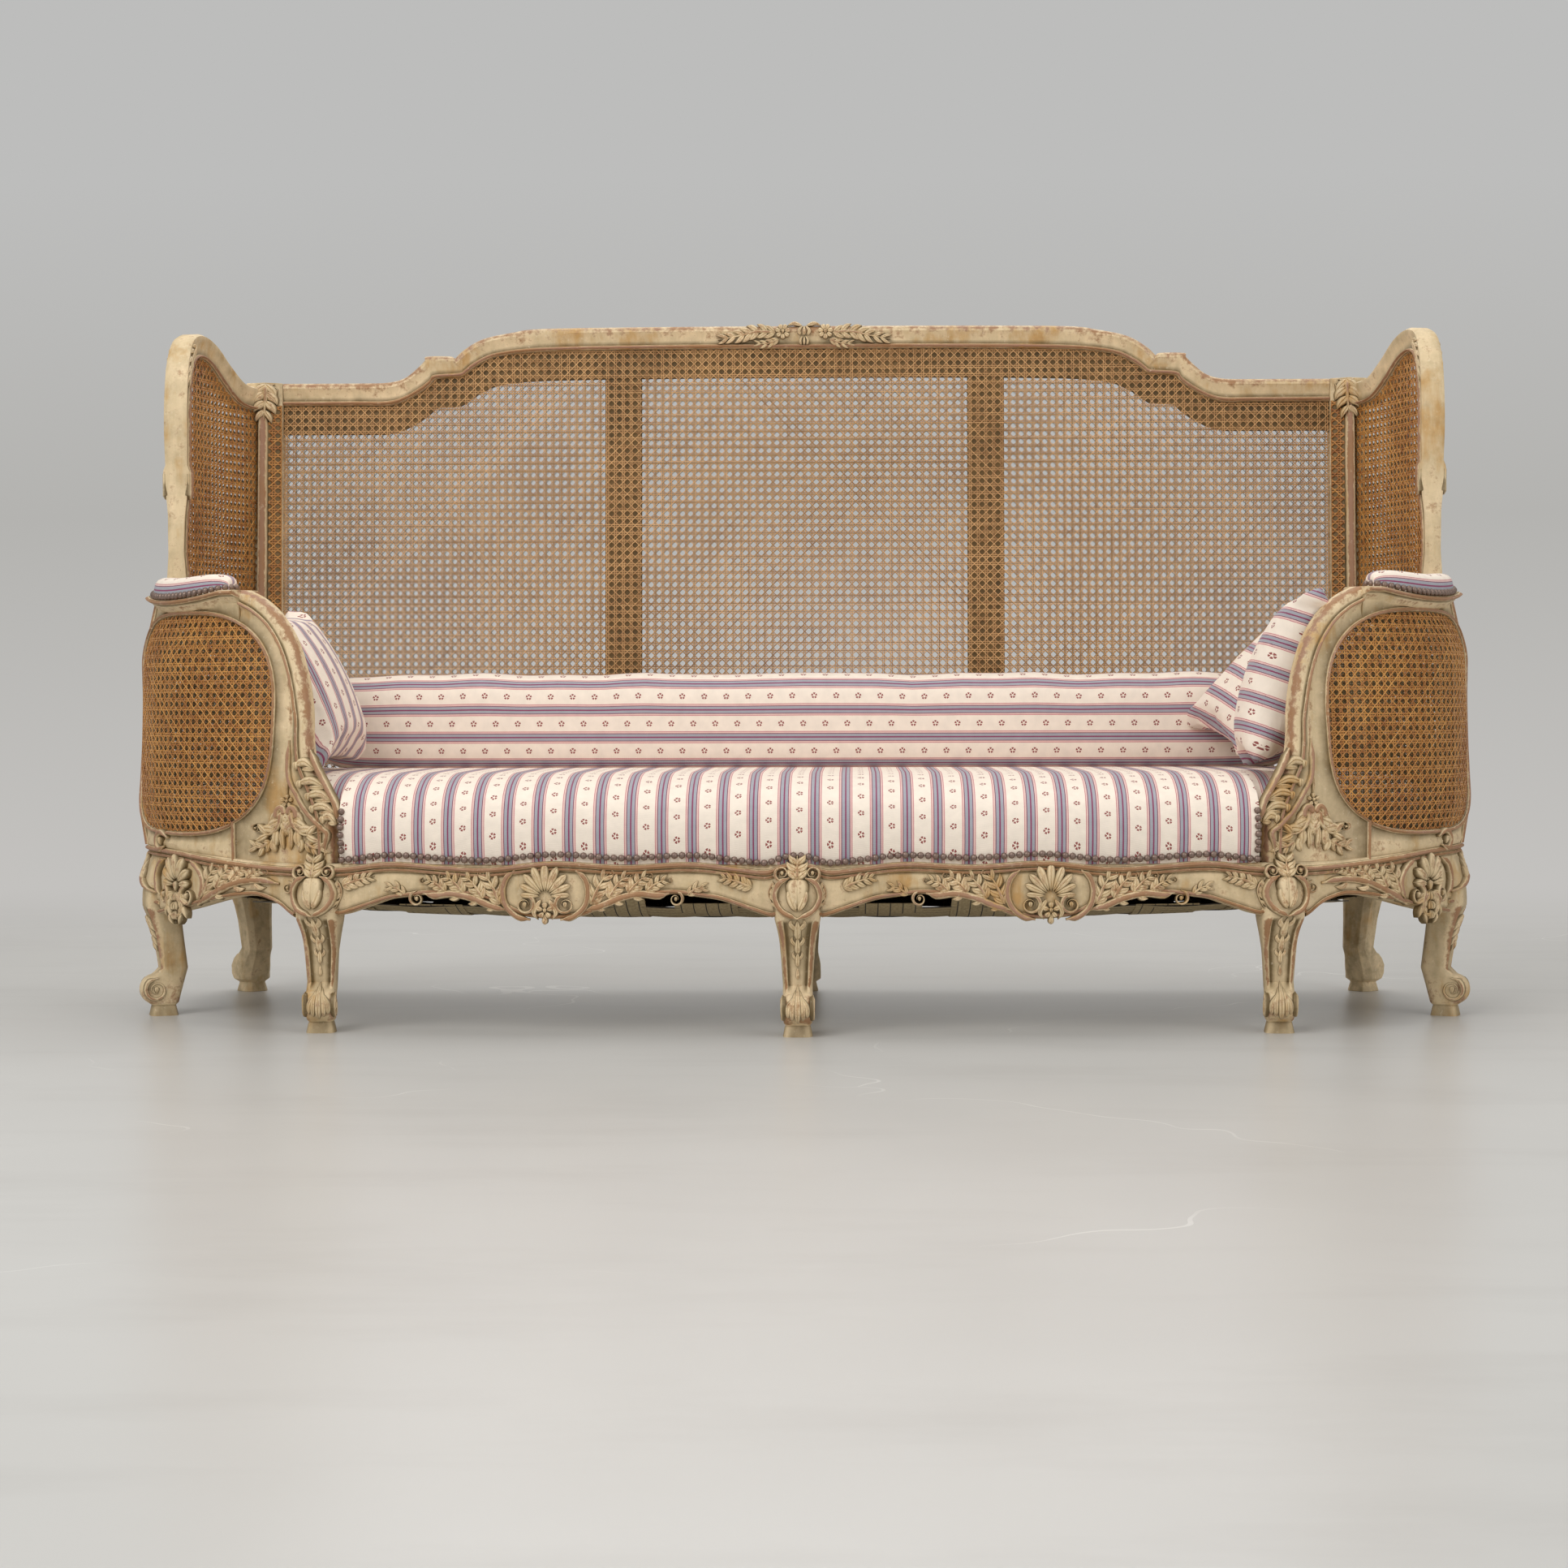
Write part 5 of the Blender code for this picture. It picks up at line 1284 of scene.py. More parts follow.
@dataclass
class WingFrames:
    """The wings' moulded frames, which rise from the arms and curl over to the back."""

    paint: Material
    # the frame's middle line: place share of the wing's depth, height share above the arm
    line: tuple = ((0.0, 0.0), (-0.01, 0.2), (0.015, 0.4), (0.0, 0.62), (0.01, 0.74), (0.06, 0.86), (0.16, 0.945),
                   (0.3, 0.972), (0.45, 0.95), (0.6, 0.89), (0.76, 0.83), (0.89, 0.812))
    # height share, share of the half thickness
    thickness: tuple = (
        (0.0, 1.0), (0.06, 0.84), (0.16, 0.66), (0.3, 0.72), (0.4, 0.96), (0.425, 1.14),
        (0.475, 1.16), (0.5, 0.94), (0.62, 1.0), (0.85, 0.98), (1.0, 0.92))
    steps: int = 72

    def edges(self) -> tuple[Array, Array]:
        """Return the places and heights of the frame's edge at the cane and of its outer edge."""
        depth = FORM.side_end(FORM.wing_end) - FORM.wing_post
        rise = FORM.wing_top - FORM.arm_top
        line = even_spread([(FORM.wing_post + depth * across, FORM.arm_top + FORM.gap + rise * up)
                            for across, up in self.line], self.steps)
        run = np.gradient(line, axis=0)
        run /= np.linalg.norm(run, axis=1)[:, None]
        side = np.stack([run[:, 1], -run[:, 0]], 1) * FORM.wing_width / 2
        inner, outer = line + side, line - side
        inner[0, 1] = outer[0, 1] = FORM.arm_top + FORM.gap
        for edge in (inner, outer):
            edge[-1, 0] = FORM.side_end(edge[-1, 1]) - FORM.gap
        return inner, outer

    def build(self) -> None:
        """Build both frames."""
        inner, outer = self.edges()
        height = ((inner + outer)[:, 1] / 2 - FORM.arm_top) / (FORM.wing_top - FORM.arm_top)
        scale = np.interp(height, *np.array(self.thickness).T)
        rings, relief = WING_SECTION.rings(FORM.wall, inner, outer, scale)
        shell = Shell()
        shell.loft(rings, relief)
        make_pair(shell, "moulded_wing_frame", self.paint, ["wing_frame"])


@dataclass
class CrestRail:
    """The crest rail with its stepped shoulders."""

    paint: Material
    # across shares of the half width and rise shares, for the upper and the lower edge
    outline: tuple = (
        (1.0, 0.0, 1.0, 0.0), (0.86, 0.0, 0.86, 0.0), (0.8, 0.01, 0.8, 0.0),
        (0.768, 0.085, 0.768, 0.08), (0.746, 0.24, 0.738, 0.23), (0.728, 0.41, 0.718, 0.37),
        (0.7245, 0.48, 0.706, 0.48), (0.676, 0.48, 0.658, 0.515), (0.6735, 0.41, 0.645, 0.59),
        (0.657, 0.565, 0.63, 0.7), (0.629, 0.74, 0.6, 0.85), (0.601, 0.835, 0.57, 0.915),
        (0.559, 0.91, 0.535, 0.95), (0.515, 0.97, 0.495, 0.97), (0.4, 0.99, 0.4, 0.985),
        (0.2, 1.0, 0.2, 1.0), (0.0, 1.0, 0.0, 1.0))

    def edges(self) -> tuple[Array, Array]:
        """Return the rail's lower and upper edges from left to right."""
        rise = FORM.crest_high - FORM.crest_low
        rows = np.array(self.outline)
        upper = np.stack([FORM.back_half * rows[:, 0], FORM.crest_low + rise * rows[:, 1]], 1)
        lower = np.stack([FORM.back_half * rows[:, 2], FORM.crest_low - FORM.crest_height + rise * rows[:, 3]], 1)
        both = []
        for edge in (lower, upper):
            edge = smooth_through(edge, 4)
            edge[0, 0] -= FORM.gap
            both.append(np.vstack([edge[:-1] * (-1, 1), edge[::-1]]))
        return both[0], both[1]

    def build(self) -> None:
        """Build the rail."""
        lower, upper = self.edges()
        rings, relief = CREST_SECTION.rings(FORM.back, lower, upper)
        shell = Shell()
        shell.loft(rings, relief)
        settle(shell.make("moulded_crest_rail", self.paint), replaces=["crest_rail"])


@dataclass(frozen=True)
class Panel:
    """One sheet of cane: its outline, the surface it lies on and its depth there."""

    name: str
    outline: Array
    surface: Surface
    depth: float
    forward: float
    woven: bool


@dataclass
class CaneWork:
    """Seven-step cane: pairs of upright and level strands crossed by two sets of slanting ones."""

    cane: Material
    back_cane: Material
    old_cane: Material
    lining: Material
    wing_edge: Array
    crest_edge: Array
    pitch: float = 0.0137
    pair_half: float = 0.0019
    strand: float = 0.0018
    back_pair_half: float = 0.0015
    back_strand: float = 0.0011
    rear_pair_half: float = 0.001
    rear_strand: float = 0.0009
    margin: float = 0.0215
    thick: float = 0.0006
    lift: float = 0.0005
    seed: int = 7

    def build(self) -> None:
        """Weave every panel."""
        tree = self._tree()
        back = self._back_outline()
        oval = FORM.oval(np.linspace(0, math.tau, 96, endpoint=False), -FORM.gap)
        wing = self._wing_outline()
        offset = FORM.cane_offset
        self._weave(Panel("back_cane_front", back, FORM.back, offset, 1, True), tree)
        self._weave(Panel("back_cane_rear", back, FORM.back, -offset, -1, False), tree)
        for side in Side:
            self._margin(side, tree)
        for side in Side:
            for part, outline, base in (("arm", oval, FORM.arm_wall), ("wing", wing, FORM.wall)):
                def wall(place: Array, height: Array, depth: Array, sign: int = side.value,
                         plain: Surface = base) -> Array:
                    """Return points of the right or left wall."""
                    return plain(place, height, depth) * (sign, 1, 1)
                for layer, depth in (("outer", offset), ("inner", -offset)):
                    seen = (layer == "outer") == (part == "arm")
                    panel = Panel(f"{part}_cane_{layer}_{side.word}", outline, wall, depth,
                                  math.copysign(1, depth), seen)
                    self._weave(panel, tree)

    def _margin(self, side: Side, tree: Tree) -> None:
        """Weave the narrow border of cane that is drawn on over a stile's inner edge.

        Args:
            side: Which stile.
            tree: The tree that makes strands.
        """
        foot = float(FORM.top_of_rail(FORM.rail_end)) + 0.1
        head = float(self.crest_edge[0, 1]) - FORM.gap
        near, far = 0.001, self.margin
        outline = np.array([(near, foot), (far, foot), (far, head), (near, head)]) * (side.value, 1)
        self._weave(Panel(f"stile_margin_{side.word}", outline, FORM.stile, 0.0024, 1, True), tree)
        shell = Shell()
        rings = [[(side.value * x, z, d) for x, d in ((near, -0.003), (near, 0.0012), (far, 0.0012), (far, -0.003))]
                 for z in np.linspace(foot, head, 9)]
        spots = np.array(rings)
        shell.loft(FORM.stile(spots[..., 0], spots[..., 1], spots[..., 2]), 0.1)
        settle(shell.make(f"stained_margin_{side.word}", self.lining))

    def _back_outline(self) -> Array:
        """Return the back panel's outline, under the crest and above the bottom rail."""
        foot = float(FORM.top_of_rail(FORM.rail_end)) + FORM.bottom_rail + 2 * FORM.gap
        edge = self.crest_edge - (0, FORM.gap)
        return np.vstack([edge, (edge[-1, 0], foot), (edge[0, 0], foot)])

    def _wing_outline(self) -> Array:
        """Return a wing panel's outline, from the arm's rear post to the back stile."""
        start = FORM.wing_post + FORM.wing_width / 2 + FORM.gap
        foot = float(FORM.top_of_rail(FORM.side_leg)) + 2 * FORM.gap + 0.042
        rising = [(start, foot), (start, FORM.arm_top)] + [tuple(p) for p in self.wing_edge[1:]]
        rising = [(max(place, start), height - FORM.gap) for place, height in rising]
        falling = [(FORM.side_end(height) - FORM.gap, height)
                   for height in np.linspace(rising[-1][1] - 0.004, foot, 12)]
        return np.array(rising + falling)

    def _crossings(self, outline: Array, origin: Array, way: Array) -> list[tuple[float, float]]:
        """Return the stretches of a line that lie inside an outline.

        Args:
            outline: The panel's corners, one row each.
            origin: A point of the line.
            way: The line's direction.

        Returns:
            Where each stretch starts and ends along the line.
        """
        first, second = outline, np.roll(outline, -1, 0)
        side = np.array([-way[1], way[0]])
        a, b = (first - origin) @ side, (second - origin) @ side
        cut = (a > 0) != (b > 0)
        part = a[cut] / (a[cut] - b[cut])
        spots = first[cut] + (second[cut] - first[cut]) * part[:, None]
        reach = np.sort((spots - origin) @ way)
        return [(reach[k], reach[k + 1]) for k in range(0, len(reach) - 1, 2)
                if reach[k + 1] - reach[k] > self.pitch / 3]

    def _lines(self, outline: Array, pair_half: float, shift: float) -> list[tuple[Array, Array, int, int]]:
        """Return every strand's origin, way, set and number.

        Args:
            outline: The panel's corners, one row each.
            pair_half: Half the gap between the strands of a pair.
            shift: How far the weave is moved.

        Returns:
            One entry for each strand.
        """
        low, high = outline.min(0), outline.max(0)
        root = math.sqrt(0.5)
        lines = []
        for axis in (0, 1):
            way = np.array([0.0, 1.0]) if axis == 0 else np.array([1.0, 0.0])
            for k in range(int(low[axis] // self.pitch), int(high[axis] // self.pitch) + 2):
                for half in (-pair_half, pair_half):
                    origin = np.zeros(2)
                    origin[axis] = (k + shift) * self.pitch + half
                    lines.append((origin, way, axis, k))
        for sign, layer in ((1, 2), (-1, 3)):
            way = np.array([root, -sign * root])
            ends = (low[0] + sign * low[1], high[0] + sign * high[1], low[0] + sign * high[1],
                    high[0] + sign * low[1])
            for k in range(int(min(ends) // self.pitch) - 1, int(max(ends) // self.pitch) + 2):
                lines.append((np.array([(k + 0.5) * self.pitch, 0.0]), way, layer, k))
        return lines

    def _weave(self, panel: Panel, tree: Tree) -> None:
        """Lay a panel's strands and turn them into cane.

        Args:
            panel: The panel.
            tree: The tree that makes strands.
        """
        generator = np.random.default_rng(self.seed + len(panel.name))
        points, normals, tones, edges = [], [], [], []
        count = 0
        back = panel.surface == FORM.back
        # an arm's hidden sheet stands half a step off, so that the holes look dark
        shift = 0.0 if back or panel.woven else 0.5
        pair, strand = ((self.pair_half, self.strand) if not back else (self.back_pair_half, self.back_strand)
                        if panel.woven else (self.rear_pair_half, self.rear_strand))
        for origin, way, layer, number in self._lines(panel.outline, pair, shift):
            step = self.pitch / 2 if layer < 2 else self.pitch * math.sqrt(0.5)
            base = (0.0, self.lift * 0.4, self.lift * 1.1, self.lift * 1.7)[layer]
            for start, end in self._crossings(panel.outline, origin, way):
                inside = np.arange(math.ceil(start / step + 0.2), math.floor(end / step - 0.2) + 1)
                if back:
                    reach, wave = np.array([start, end]), np.zeros(2)
                else:
                    inside = inside if panel.woven else inside[::4]
                    reach = np.concatenate([[start], inside * step, [end]])
                    wave = np.concatenate([[0], np.cos(math.pi * (inside / 2 + number)), [0]])
                    wave = wave * (self.lift * 0.8 if panel.woven else 0.0)
                spots = origin + way * reach[:, None]
                depth = panel.depth + panel.forward * (base + wave)
                here = panel.surface(spots[:, 0], spots[:, 1], depth)
                out = panel.surface(spots[:, 0], spots[:, 1], depth + 0.001) - here
                points.append(here)
                normals.append(out / np.linalg.norm(out, axis=1)[:, None])
                tones.append(np.full(len(here), generator.uniform(0.25, 0.75)))
                edges += [(count + k, count + k + 1) for k in range(len(here) - 1)]
                count += len(here)
        mesh = bpy.data.meshes.new("cane_" + panel.name)
        mesh.from_pydata(np.vstack(points).tolist(), edges, [])
        tone = mesh.attributes.new("tone", "FLOAT", "POINT")
        tone.data.foreach_set("value", np.concatenate(tones).astype(np.float32))
        normal = mesh.attributes.new("panel_normal", "FLOAT_VECTOR", "POINT")
        normal.data.foreach_set("vector", np.vstack(normals).astype(np.float32).ravel())
        # hidden sheets take the darker cane: aged on the back's rear sheet, painted shade on the arms' and wings'
        # hidden sheets
        aged_and_shaded = not panel.woven
        piece = bake_nodes("woven_" + panel.name, mesh, tree,
                           {"Strand Width": strand, "Strand Thickness": self.thick,
                            "Finish": self.old_cane if aged_and_shaded else self.back_cane if back else self.cane})
        stands_for = [panel.name] if panel.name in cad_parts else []
        settle(piece, replaces=stands_for)

    def _tree(self) -> Tree:
        """Return the tree that turns lines into flat strands that face out of the panel."""
        tree = new_tree("cane_strands",
                        {"Strand Width": ("NodeSocketFloat", self.strand),
                         "Strand Thickness": ("NodeSocketFloat", self.thick), "Finish": ("NodeSocketMaterial", None)})
        start, end = tree.nodes["Group Input"], tree.nodes["Group Output"]
        curve = add_node(tree, "GeometryNodeMeshToCurve", {"Mesh": start.outputs["Geometry"]})
        normal = add_node(tree, "GeometryNodeInputNamedAttribute", {"Name": "panel_normal"}, out="Attribute",
                          data_type="FLOAT_VECTOR")
        faced = add_node(tree, "GeometryNodeSetCurveNormal", {"Curve": curve, "Normal": normal}, mode="FREE")
        profile = add_node(tree, "GeometryNodeCurvePrimitiveQuadrilateral",
                           {"Width": start.outputs["Strand Thickness"], "Height": start.outputs["Strand Width"]})
        strands = add_node(tree, "GeometryNodeCurveToMesh",
                           {"Curve": faced, "Profile Curve": profile, "Fill Caps": True})
        whole = add_node(tree, "GeometryNodeRealizeInstances", (strands,))
        painted = add_node(tree, "GeometryNodeSetMaterial", {"Geometry": whole, "Material": start.outputs["Finish"]})
        tree.links.new(painted, end.inputs[0])
        return tree


def new_tree(name: str, inputs: dict[str, tuple[str, Any]]) -> Tree:
    """Return a geometry node tree with named inputs.

    Args:
        name: The tree's name.
        inputs: Each input's socket type and default value.

    Returns:
        The tree, with its input and output nodes in place.
    """
    tree = bpy.data.node_groups.new(name, "GeometryNodeTree")
    tree.interface.new_socket("Geometry", in_out="INPUT", socket_type="NodeSocketGeometry")
    for label, (kind, value) in inputs.items():
        socket = tree.interface.new_socket(label, in_out="INPUT", socket_type=kind)
        if value is not None:
            socket.default_value = value
    tree.interface.new_socket("Geometry", in_out="OUTPUT", socket_type="NodeSocketGeometry")
    tree.nodes.new("NodeGroupInput")
    tree.nodes.new("NodeGroupOutput")
    return tree


def bake_nodes(name: str, mesh: bpy.types.Mesh, tree: Tree, values: dict[str, Any]) -> Piece:
    """Run a geometry node tree on a mesh and keep the result as an ordinary piece.

    Args:
        name: The piece's name.
        mesh: The mesh that the tree starts from.
        tree: The tree.
        values: Its inputs by name.

    Returns:
        The baked piece.
    """
    piece = bpy.data.objects.new(name, mesh)
    bpy.context.scene.collection.objects.link(piece)
    modifier = piece.modifiers.new("nodes", "NODES")
    modifier.node_group = tree
    for item in tree.interface.items_tree:
        if item.item_type == "SOCKET" and item.in_out == "INPUT" and item.name in values:
            modifier[item.identifier] = values[item.name]
    piece.update_tag()
    graph = bpy.context.evaluated_depsgraph_get()
    baked = bpy.data.meshes.new_from_object(piece.evaluated_get(graph), depsgraph=graph)
    piece.modifiers.clear()
    piece.data = baked
    baked.name = name
    bpy.data.meshes.remove(mesh)
    return piece


@dataclass
class Nailing:
    """Close-set domed nails, gathered in rows and set by one node tree."""

    bronze: Material
    head: float = 0.0122
    pitch: float = 0.0114
    seed: int = 11
    spots: list = field(default_factory=list)
    faces: list = field(default_factory=list)

    def row(self, line: Array, out: Array) -> None:
        """Add a row of nails along a line.

        Args:
            line: Points that the row follows.
            out: The way each of them faces.
        """
        run = run_of(line)
        places = np.linspace(0, run[-1], max(int(round(run[-1] / self.pitch)), 1) + 1)
        self.spots.append(np.stack([np.interp(places, run, line[:, k]) for k in range(3)], 1))
        self.faces.append(np.stack([np.interp(places, run, out[:, k]) for k in range(3)], 1))

    def build(self, name: str) -> Piece:
        """Set the nails and return them as one piece.

        Args:
            name: The piece's name.

        Returns:
            The nails.
        """
        mesh = bpy.data.meshes.new(name + "_points")
        mesh.from_pydata(np.vstack(self.spots).tolist(), [], [])
        out = np.vstack(self.faces)
        out /= np.linalg.norm(out, axis=1)[:, None]
        normal = mesh.attributes.new("nail_normal", "FLOAT_VECTOR", "POINT")
        normal.data.foreach_set("vector", out.astype(np.float32).ravel())
        piece = bake_nodes(name, mesh, self._tree(), {"Head": self.head, "Seed": self.seed, "Finish": self.bronze})
        piece.data.shade_smooth()
        return settle(piece)

    def _tree(self) -> Tree:
        """Return the tree that sets a nail on every point."""
        tree = new_tree("domed_nails", {"Head": ("NodeSocketFloat", self.head), "Seed": ("NodeSocketInt", self.seed),
                                        "Finish": ("NodeSocketMaterial", None)})
        start, end = tree.nodes["Group Input"], tree.nodes["Group Output"]
        normal = add_node(tree, "GeometryNodeInputNamedAttribute", {"Name": "nail_normal"}, out="Attribute",
                          data_type="FLOAT_VECTOR")
        turn = add_node(tree, "FunctionNodeAlignRotationToVector", {"Vector": normal}, axis="Z")
        half = add_node(tree, "Math", (start.outputs["Head"], 0.5), operation="MULTIPLY")
        ball = add_node(tree, "GeometryNodeMeshUVSphere", {"Segments": 8, "Rings": 5, "Radius": half})
        flat = add_node(tree, "GeometryNodeTransform", {"Geometry": ball, "Scale": (0.94, 0.94, 0.8)})
        size = add_node(tree, "FunctionNodeRandomValue",
                        {"Min": (0.92, 0.92, 0.88), "Max": (1.02, 1.02, 1.1), "Seed": start.outputs["Seed"]},
                        data_type="FLOAT_VECTOR")
        nails = add_node(tree, "GeometryNodeInstanceOnPoints",
                         {"Points": start.outputs["Geometry"], "Instance": flat, "Rotation": turn, "Scale": size})
        whole = add_node(tree, "GeometryNodeRealizeInstances", (nails,))
        painted = add_node(tree, "GeometryNodeSetMaterial", {"Geometry": whole, "Material": start.outputs["Finish"]})
        tree.links.new(painted, end.inputs[0])
        return tree


@dataclass
class Upholstery:
    """The sprung seat, the arm pads and the long back cushion, all in one striped cotton."""

    cotton: Material
    bronze: Material
    bulge: float = 0.01
    inset: float = 0.006
    wall: float = 0.03
    clearance: float = 0.003
    shoulder: float = 0.356
    crown: float = 0.392
    pan: float = 0.315
    stripe_phase: float = 0.0195
    # inset, share of the height up to the shoulder, share of the crown above it
    levels: tuple = (
        (0.0, 0.0, 0.0), (-0.001, 0.07, 0.0), (-0.0045, 0.2, 0.0), (-0.0075, 0.36, 0.0),
        (-0.008, 0.52, 0.0), (-0.0062, 0.68, 0.0), (-0.0015, 0.84, 0.0), (0.006, 0.955, 0.0),
        (0.015, 1.0, 0.14), (0.028, 1.0, 0.34), (0.045, 1.0, 0.54), (0.068, 1.0, 0.72),
        (0.095, 1.0, 0.86), (0.13, 1.0, 0.95), (0.17, 1.0, 1.0))
    pad_half_width: float = 0.031
    pad_stretch: float = 1.12
    pad_phase: float = 0.006
    pad_height: float = 0.034

    def build(self) -> None:
        """Build the seat, the pads, the bolster and their nails."""
        nails = Nailing(self.bronze)
        self._seat(nails)
        self._pads(nails)
        self._bolster()
        nails.build("upholstery_nails")

    def _outline(self) -> tuple[Array, Array]:
        """Return the seat's plan outline anticlockwise from the middle of the front, and its feet."""
        post = FORM.oval_centre - FORM.oval_half - FORM.post_width * 1.7
        end = post - self.bulge - self.clearance
        inner = FORM.wall_half + self.bulge + self.clearance
        front = FORM.wall(np.linspace(0, end, 60), 0.0, FORM.rail_half - self.inset)
        side = FORM.wall(np.linspace(end, FORM.side_end(FORM.rail_top), 40), 0.0, -inner)
        back = FORM.back_y - FORM.back_half_thick - self.bulge - self.clearance + FORM.shift
        side[-1, 1] = back
        rear = np.stack([np.linspace(side[-1, 0], 0, 30)[1:], np.full(29, back), np.zeros(29)], 1)
        right = np.vstack([front, side, rear])
        foot = np.full(len(right), float(FORM.top_of_rail(FORM.side_leg)) + FORM.gap)
        foot[:60] = FORM.rail_top + FORM.gap
        left = right[1:-1][::-1] * (-1, 1, 1)
        return np.vstack([right, left])[:, :2], np.concatenate([foot, foot[1:-1][::-1]])

    def _seat(self, nails: Nailing) -> None:
        """Build the domed seat and its nails.

        Args:
            nails: The rows of nails to add to.
        """
        outline, foot = self._outline()
        low, high = outline.min(0), outline.max(0)
        middle = (low[1] + high[1]) / 2
        reach = high[0] - (high[1] - low[1]) / 2
        anchor = np.stack([np.clip(outline[:, 0], -reach, reach), np.full(len(outline), middle)], 1)
        way = anchor - outline
        room = np.linalg.norm(way, axis=1)
        way /= room[:, None]
        rings, cloth = [], []
        for inset, height in ((self.wall, self.pan), (self.wall, None)):
            flat = outline + way * inset
            level = foot if height is None else np.full(len(flat), height)
            rings.append(np.column_stack([flat, level]))
            cloth.append(flat)
        for inset, rise, crown in self.levels:
            flat = outline + way * np.minimum(inset, room * 0.9)[:, None]
            level = foot + (self.shoulder - foot) * rise + (self.crown - self.shoulder) * crown
            rings.append(np.column_stack([flat, level]))
            cloth.append(np.stack([flat[:, 0] + self.stripe_phase, flat[:, 1] - (self.shoulder - level).clip(0)], 1))
        shell = Shell()
        shell.loft(np.array(rings), 0.5, np.array(cloth))
        piece = settle(shell.make("striped_seat", self.cotton, 60), replaces=["seat_upholstery"])
        end = FORM.oval_centre - FORM.oval_half - FORM.post_width * 1.7 - self.bulge - self.clearance
        place = np.linspace(-end + 0.004, end - 0.004, 160)
        height = FORM.rail_top + 0.01 + FORM.bead_wave(place)
        depth = FORM.rail_half - self.inset + 0.0045
        line = FORM.wall(place, height, depth)
        out = FORM.wall(place, height, depth + 0.01) - line
        nails.row(line, out)
        for side in Side:
            level = np.linspace(FORM.rail_top + 0.02, FORM.rail_top + 0.079, 8)
            share = (level - FORM.rail_top) / (self.shoulder - FORM.rail_top)
            swell = np.interp(share, [row[1] for row in self.levels[:8]], [-row[0] for row in self.levels[:8]])
            spot = side.value * (end - 0.004)
            line = FORM.wall(spot, level, FORM.rail_half - self.inset + swell + 0.0015)
            out = FORM.wall(spot, level, FORM.rail_half + 0.02) - FORM.wall(spot, level, FORM.rail_half)
            nails.row(line, out)

    def _pads(self, nails: Nailing) -> None:
        """Build the stuffed arm pads and the nails round their lower edges.

        Args:
            nails: The rows of nails to add to.
        """
        share = np.sin(np.linspace(-math.pi / 2, math.pi / 2, 41))
        reach = FORM.pad_half * self.pad_stretch
        place = FORM.pad_centre + reach * share
        base = FORM.top_of_arm(place) + 0.0009
        rise = self.pad_height * (0.36 + 0.64 * np.sqrt(np.clip(1 - share ** 4, 0, 1)))
        half = self.pad_half_width * np.sqrt(np.clip(1 - np.abs(share) ** 3, 0, 1) * 0.9 + 0.1)
        turn = np.linspace(0, math.pi, 19)
        across = power(np.cos(turn), 0.62)
        up = np.sin(turn) ** 0.72
        # the cloth is turned under for the last few millimetres above the platform
        across = np.concatenate([[0.96], across, [-0.96], [-0.5, 0.0, 0.5]])
        up = np.concatenate([[0.0], 0.1 + 0.9 * up, [0.0], [0.0, 0.0, 0.0]])
        points = FORM.arm_wall(place[:, None], base[:, None] + rise[:, None] * up, half[:, None] * across)
        run = np.concatenate([[0.0], np.cumsum(np.hypot(np.diff(across), np.diff(up)) * self.pad_half_width)])
        run -= run[(len(turn) + 1) // 2] + self.pad_phase
        cloth = np.stack(np.broadcast_arrays(run[None], place[:, None]), -1)
        shell = Shell()
        shell.loft(points, 0.5, cloth)
        for piece in make_pair(shell, "striped_arm_pad", self.cotton, ["arm_pad"]):
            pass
        around = np.linspace(0, math.tau, 121)[:-1]
        size = power(np.cos(around), 0.75)
        wide = np.sign(np.sin(around)) * np.sqrt(np.clip(1 - np.abs(size) ** 3, 0,
                                                         1) * 0.9 + 0.1 * (np.abs(np.sin(around)) > 0.2))
        spot = FORM.pad_centre + (reach + 0.0005) * size
        level = FORM.top_of_arm(spot) + 0.005
        for side in Side:
            line = FORM.arm_wall(spot, level, (self.pad_half_width + 0.0006) * wide) * (side.value, 1, 1)
            out = FORM.arm_wall(spot + 0.02 * size, level, (self.pad_half_width + 0.02) * wide) * (side.value, 1,
                                                                                                   1) - line
            nails.row(np.vstack([line, line[:1]])[:-1], np.vstack([out, out[:1]])[:-1])

    def _bolster(self) -> None:
        """Build the long cushion that leans on the back, with corded edges."""
        low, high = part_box("bolster")
        middle = Vector(((low.x + high.x) / 2, (low.y + high.y) / 2, (low.z + high.z) / 2))
        half = (high - low) / 2
        share = np.sin(np.linspace(-math.pi / 2, math.pi / 2, 97))
        share = power(share, 0.55)
        end = np.sqrt(np.clip(1 - np.abs(share) ** 24, 0, 1)) * 0.42 + 0.58
        turn = np.linspace(0, math.tau, 64, endpoint=False)
        wide = power(np.cos(turn), 0.6)
        tall = power(np.sin(turn), 0.6)
        x = middle.x + half.x * share
        # soft unevenness of the feather filling, under 4 mm
        lumps = 0.0016 * np.sin(x * 21 + 0.7) + 0.0012 * np.sin(x * 47 + 2.0)
        points = np.stack(np.broadcast_arrays(
            x[:, None], middle.y + (half.y * end[:, None] + lumps[:, None]) * wide - 0.001,
            middle.z + (half.z * end[:, None] + lumps[:, None] * (tall > 0)) * tall), -1)
        section = np.stack([half.y * wide, half.z * tall], 1)
        run = run_of(section)
        cloth = np.stack(np.broadcast_arrays(run[None], x[:, None]), -1)
        shell = Shell()
        shell.loft(points, 0.5, cloth)
        piece = settle(shell.make("striped_bolster", self.cotton, 60), "bolster", ["bolster"])


@dataclass(frozen=True)
class CushionPose:
    """How a loose cushion lies: its way up, the way it faces and its pattern's turn."""

    node: str
    up: tuple
    facing: tuple
    stripes_across: bool
    cap: float


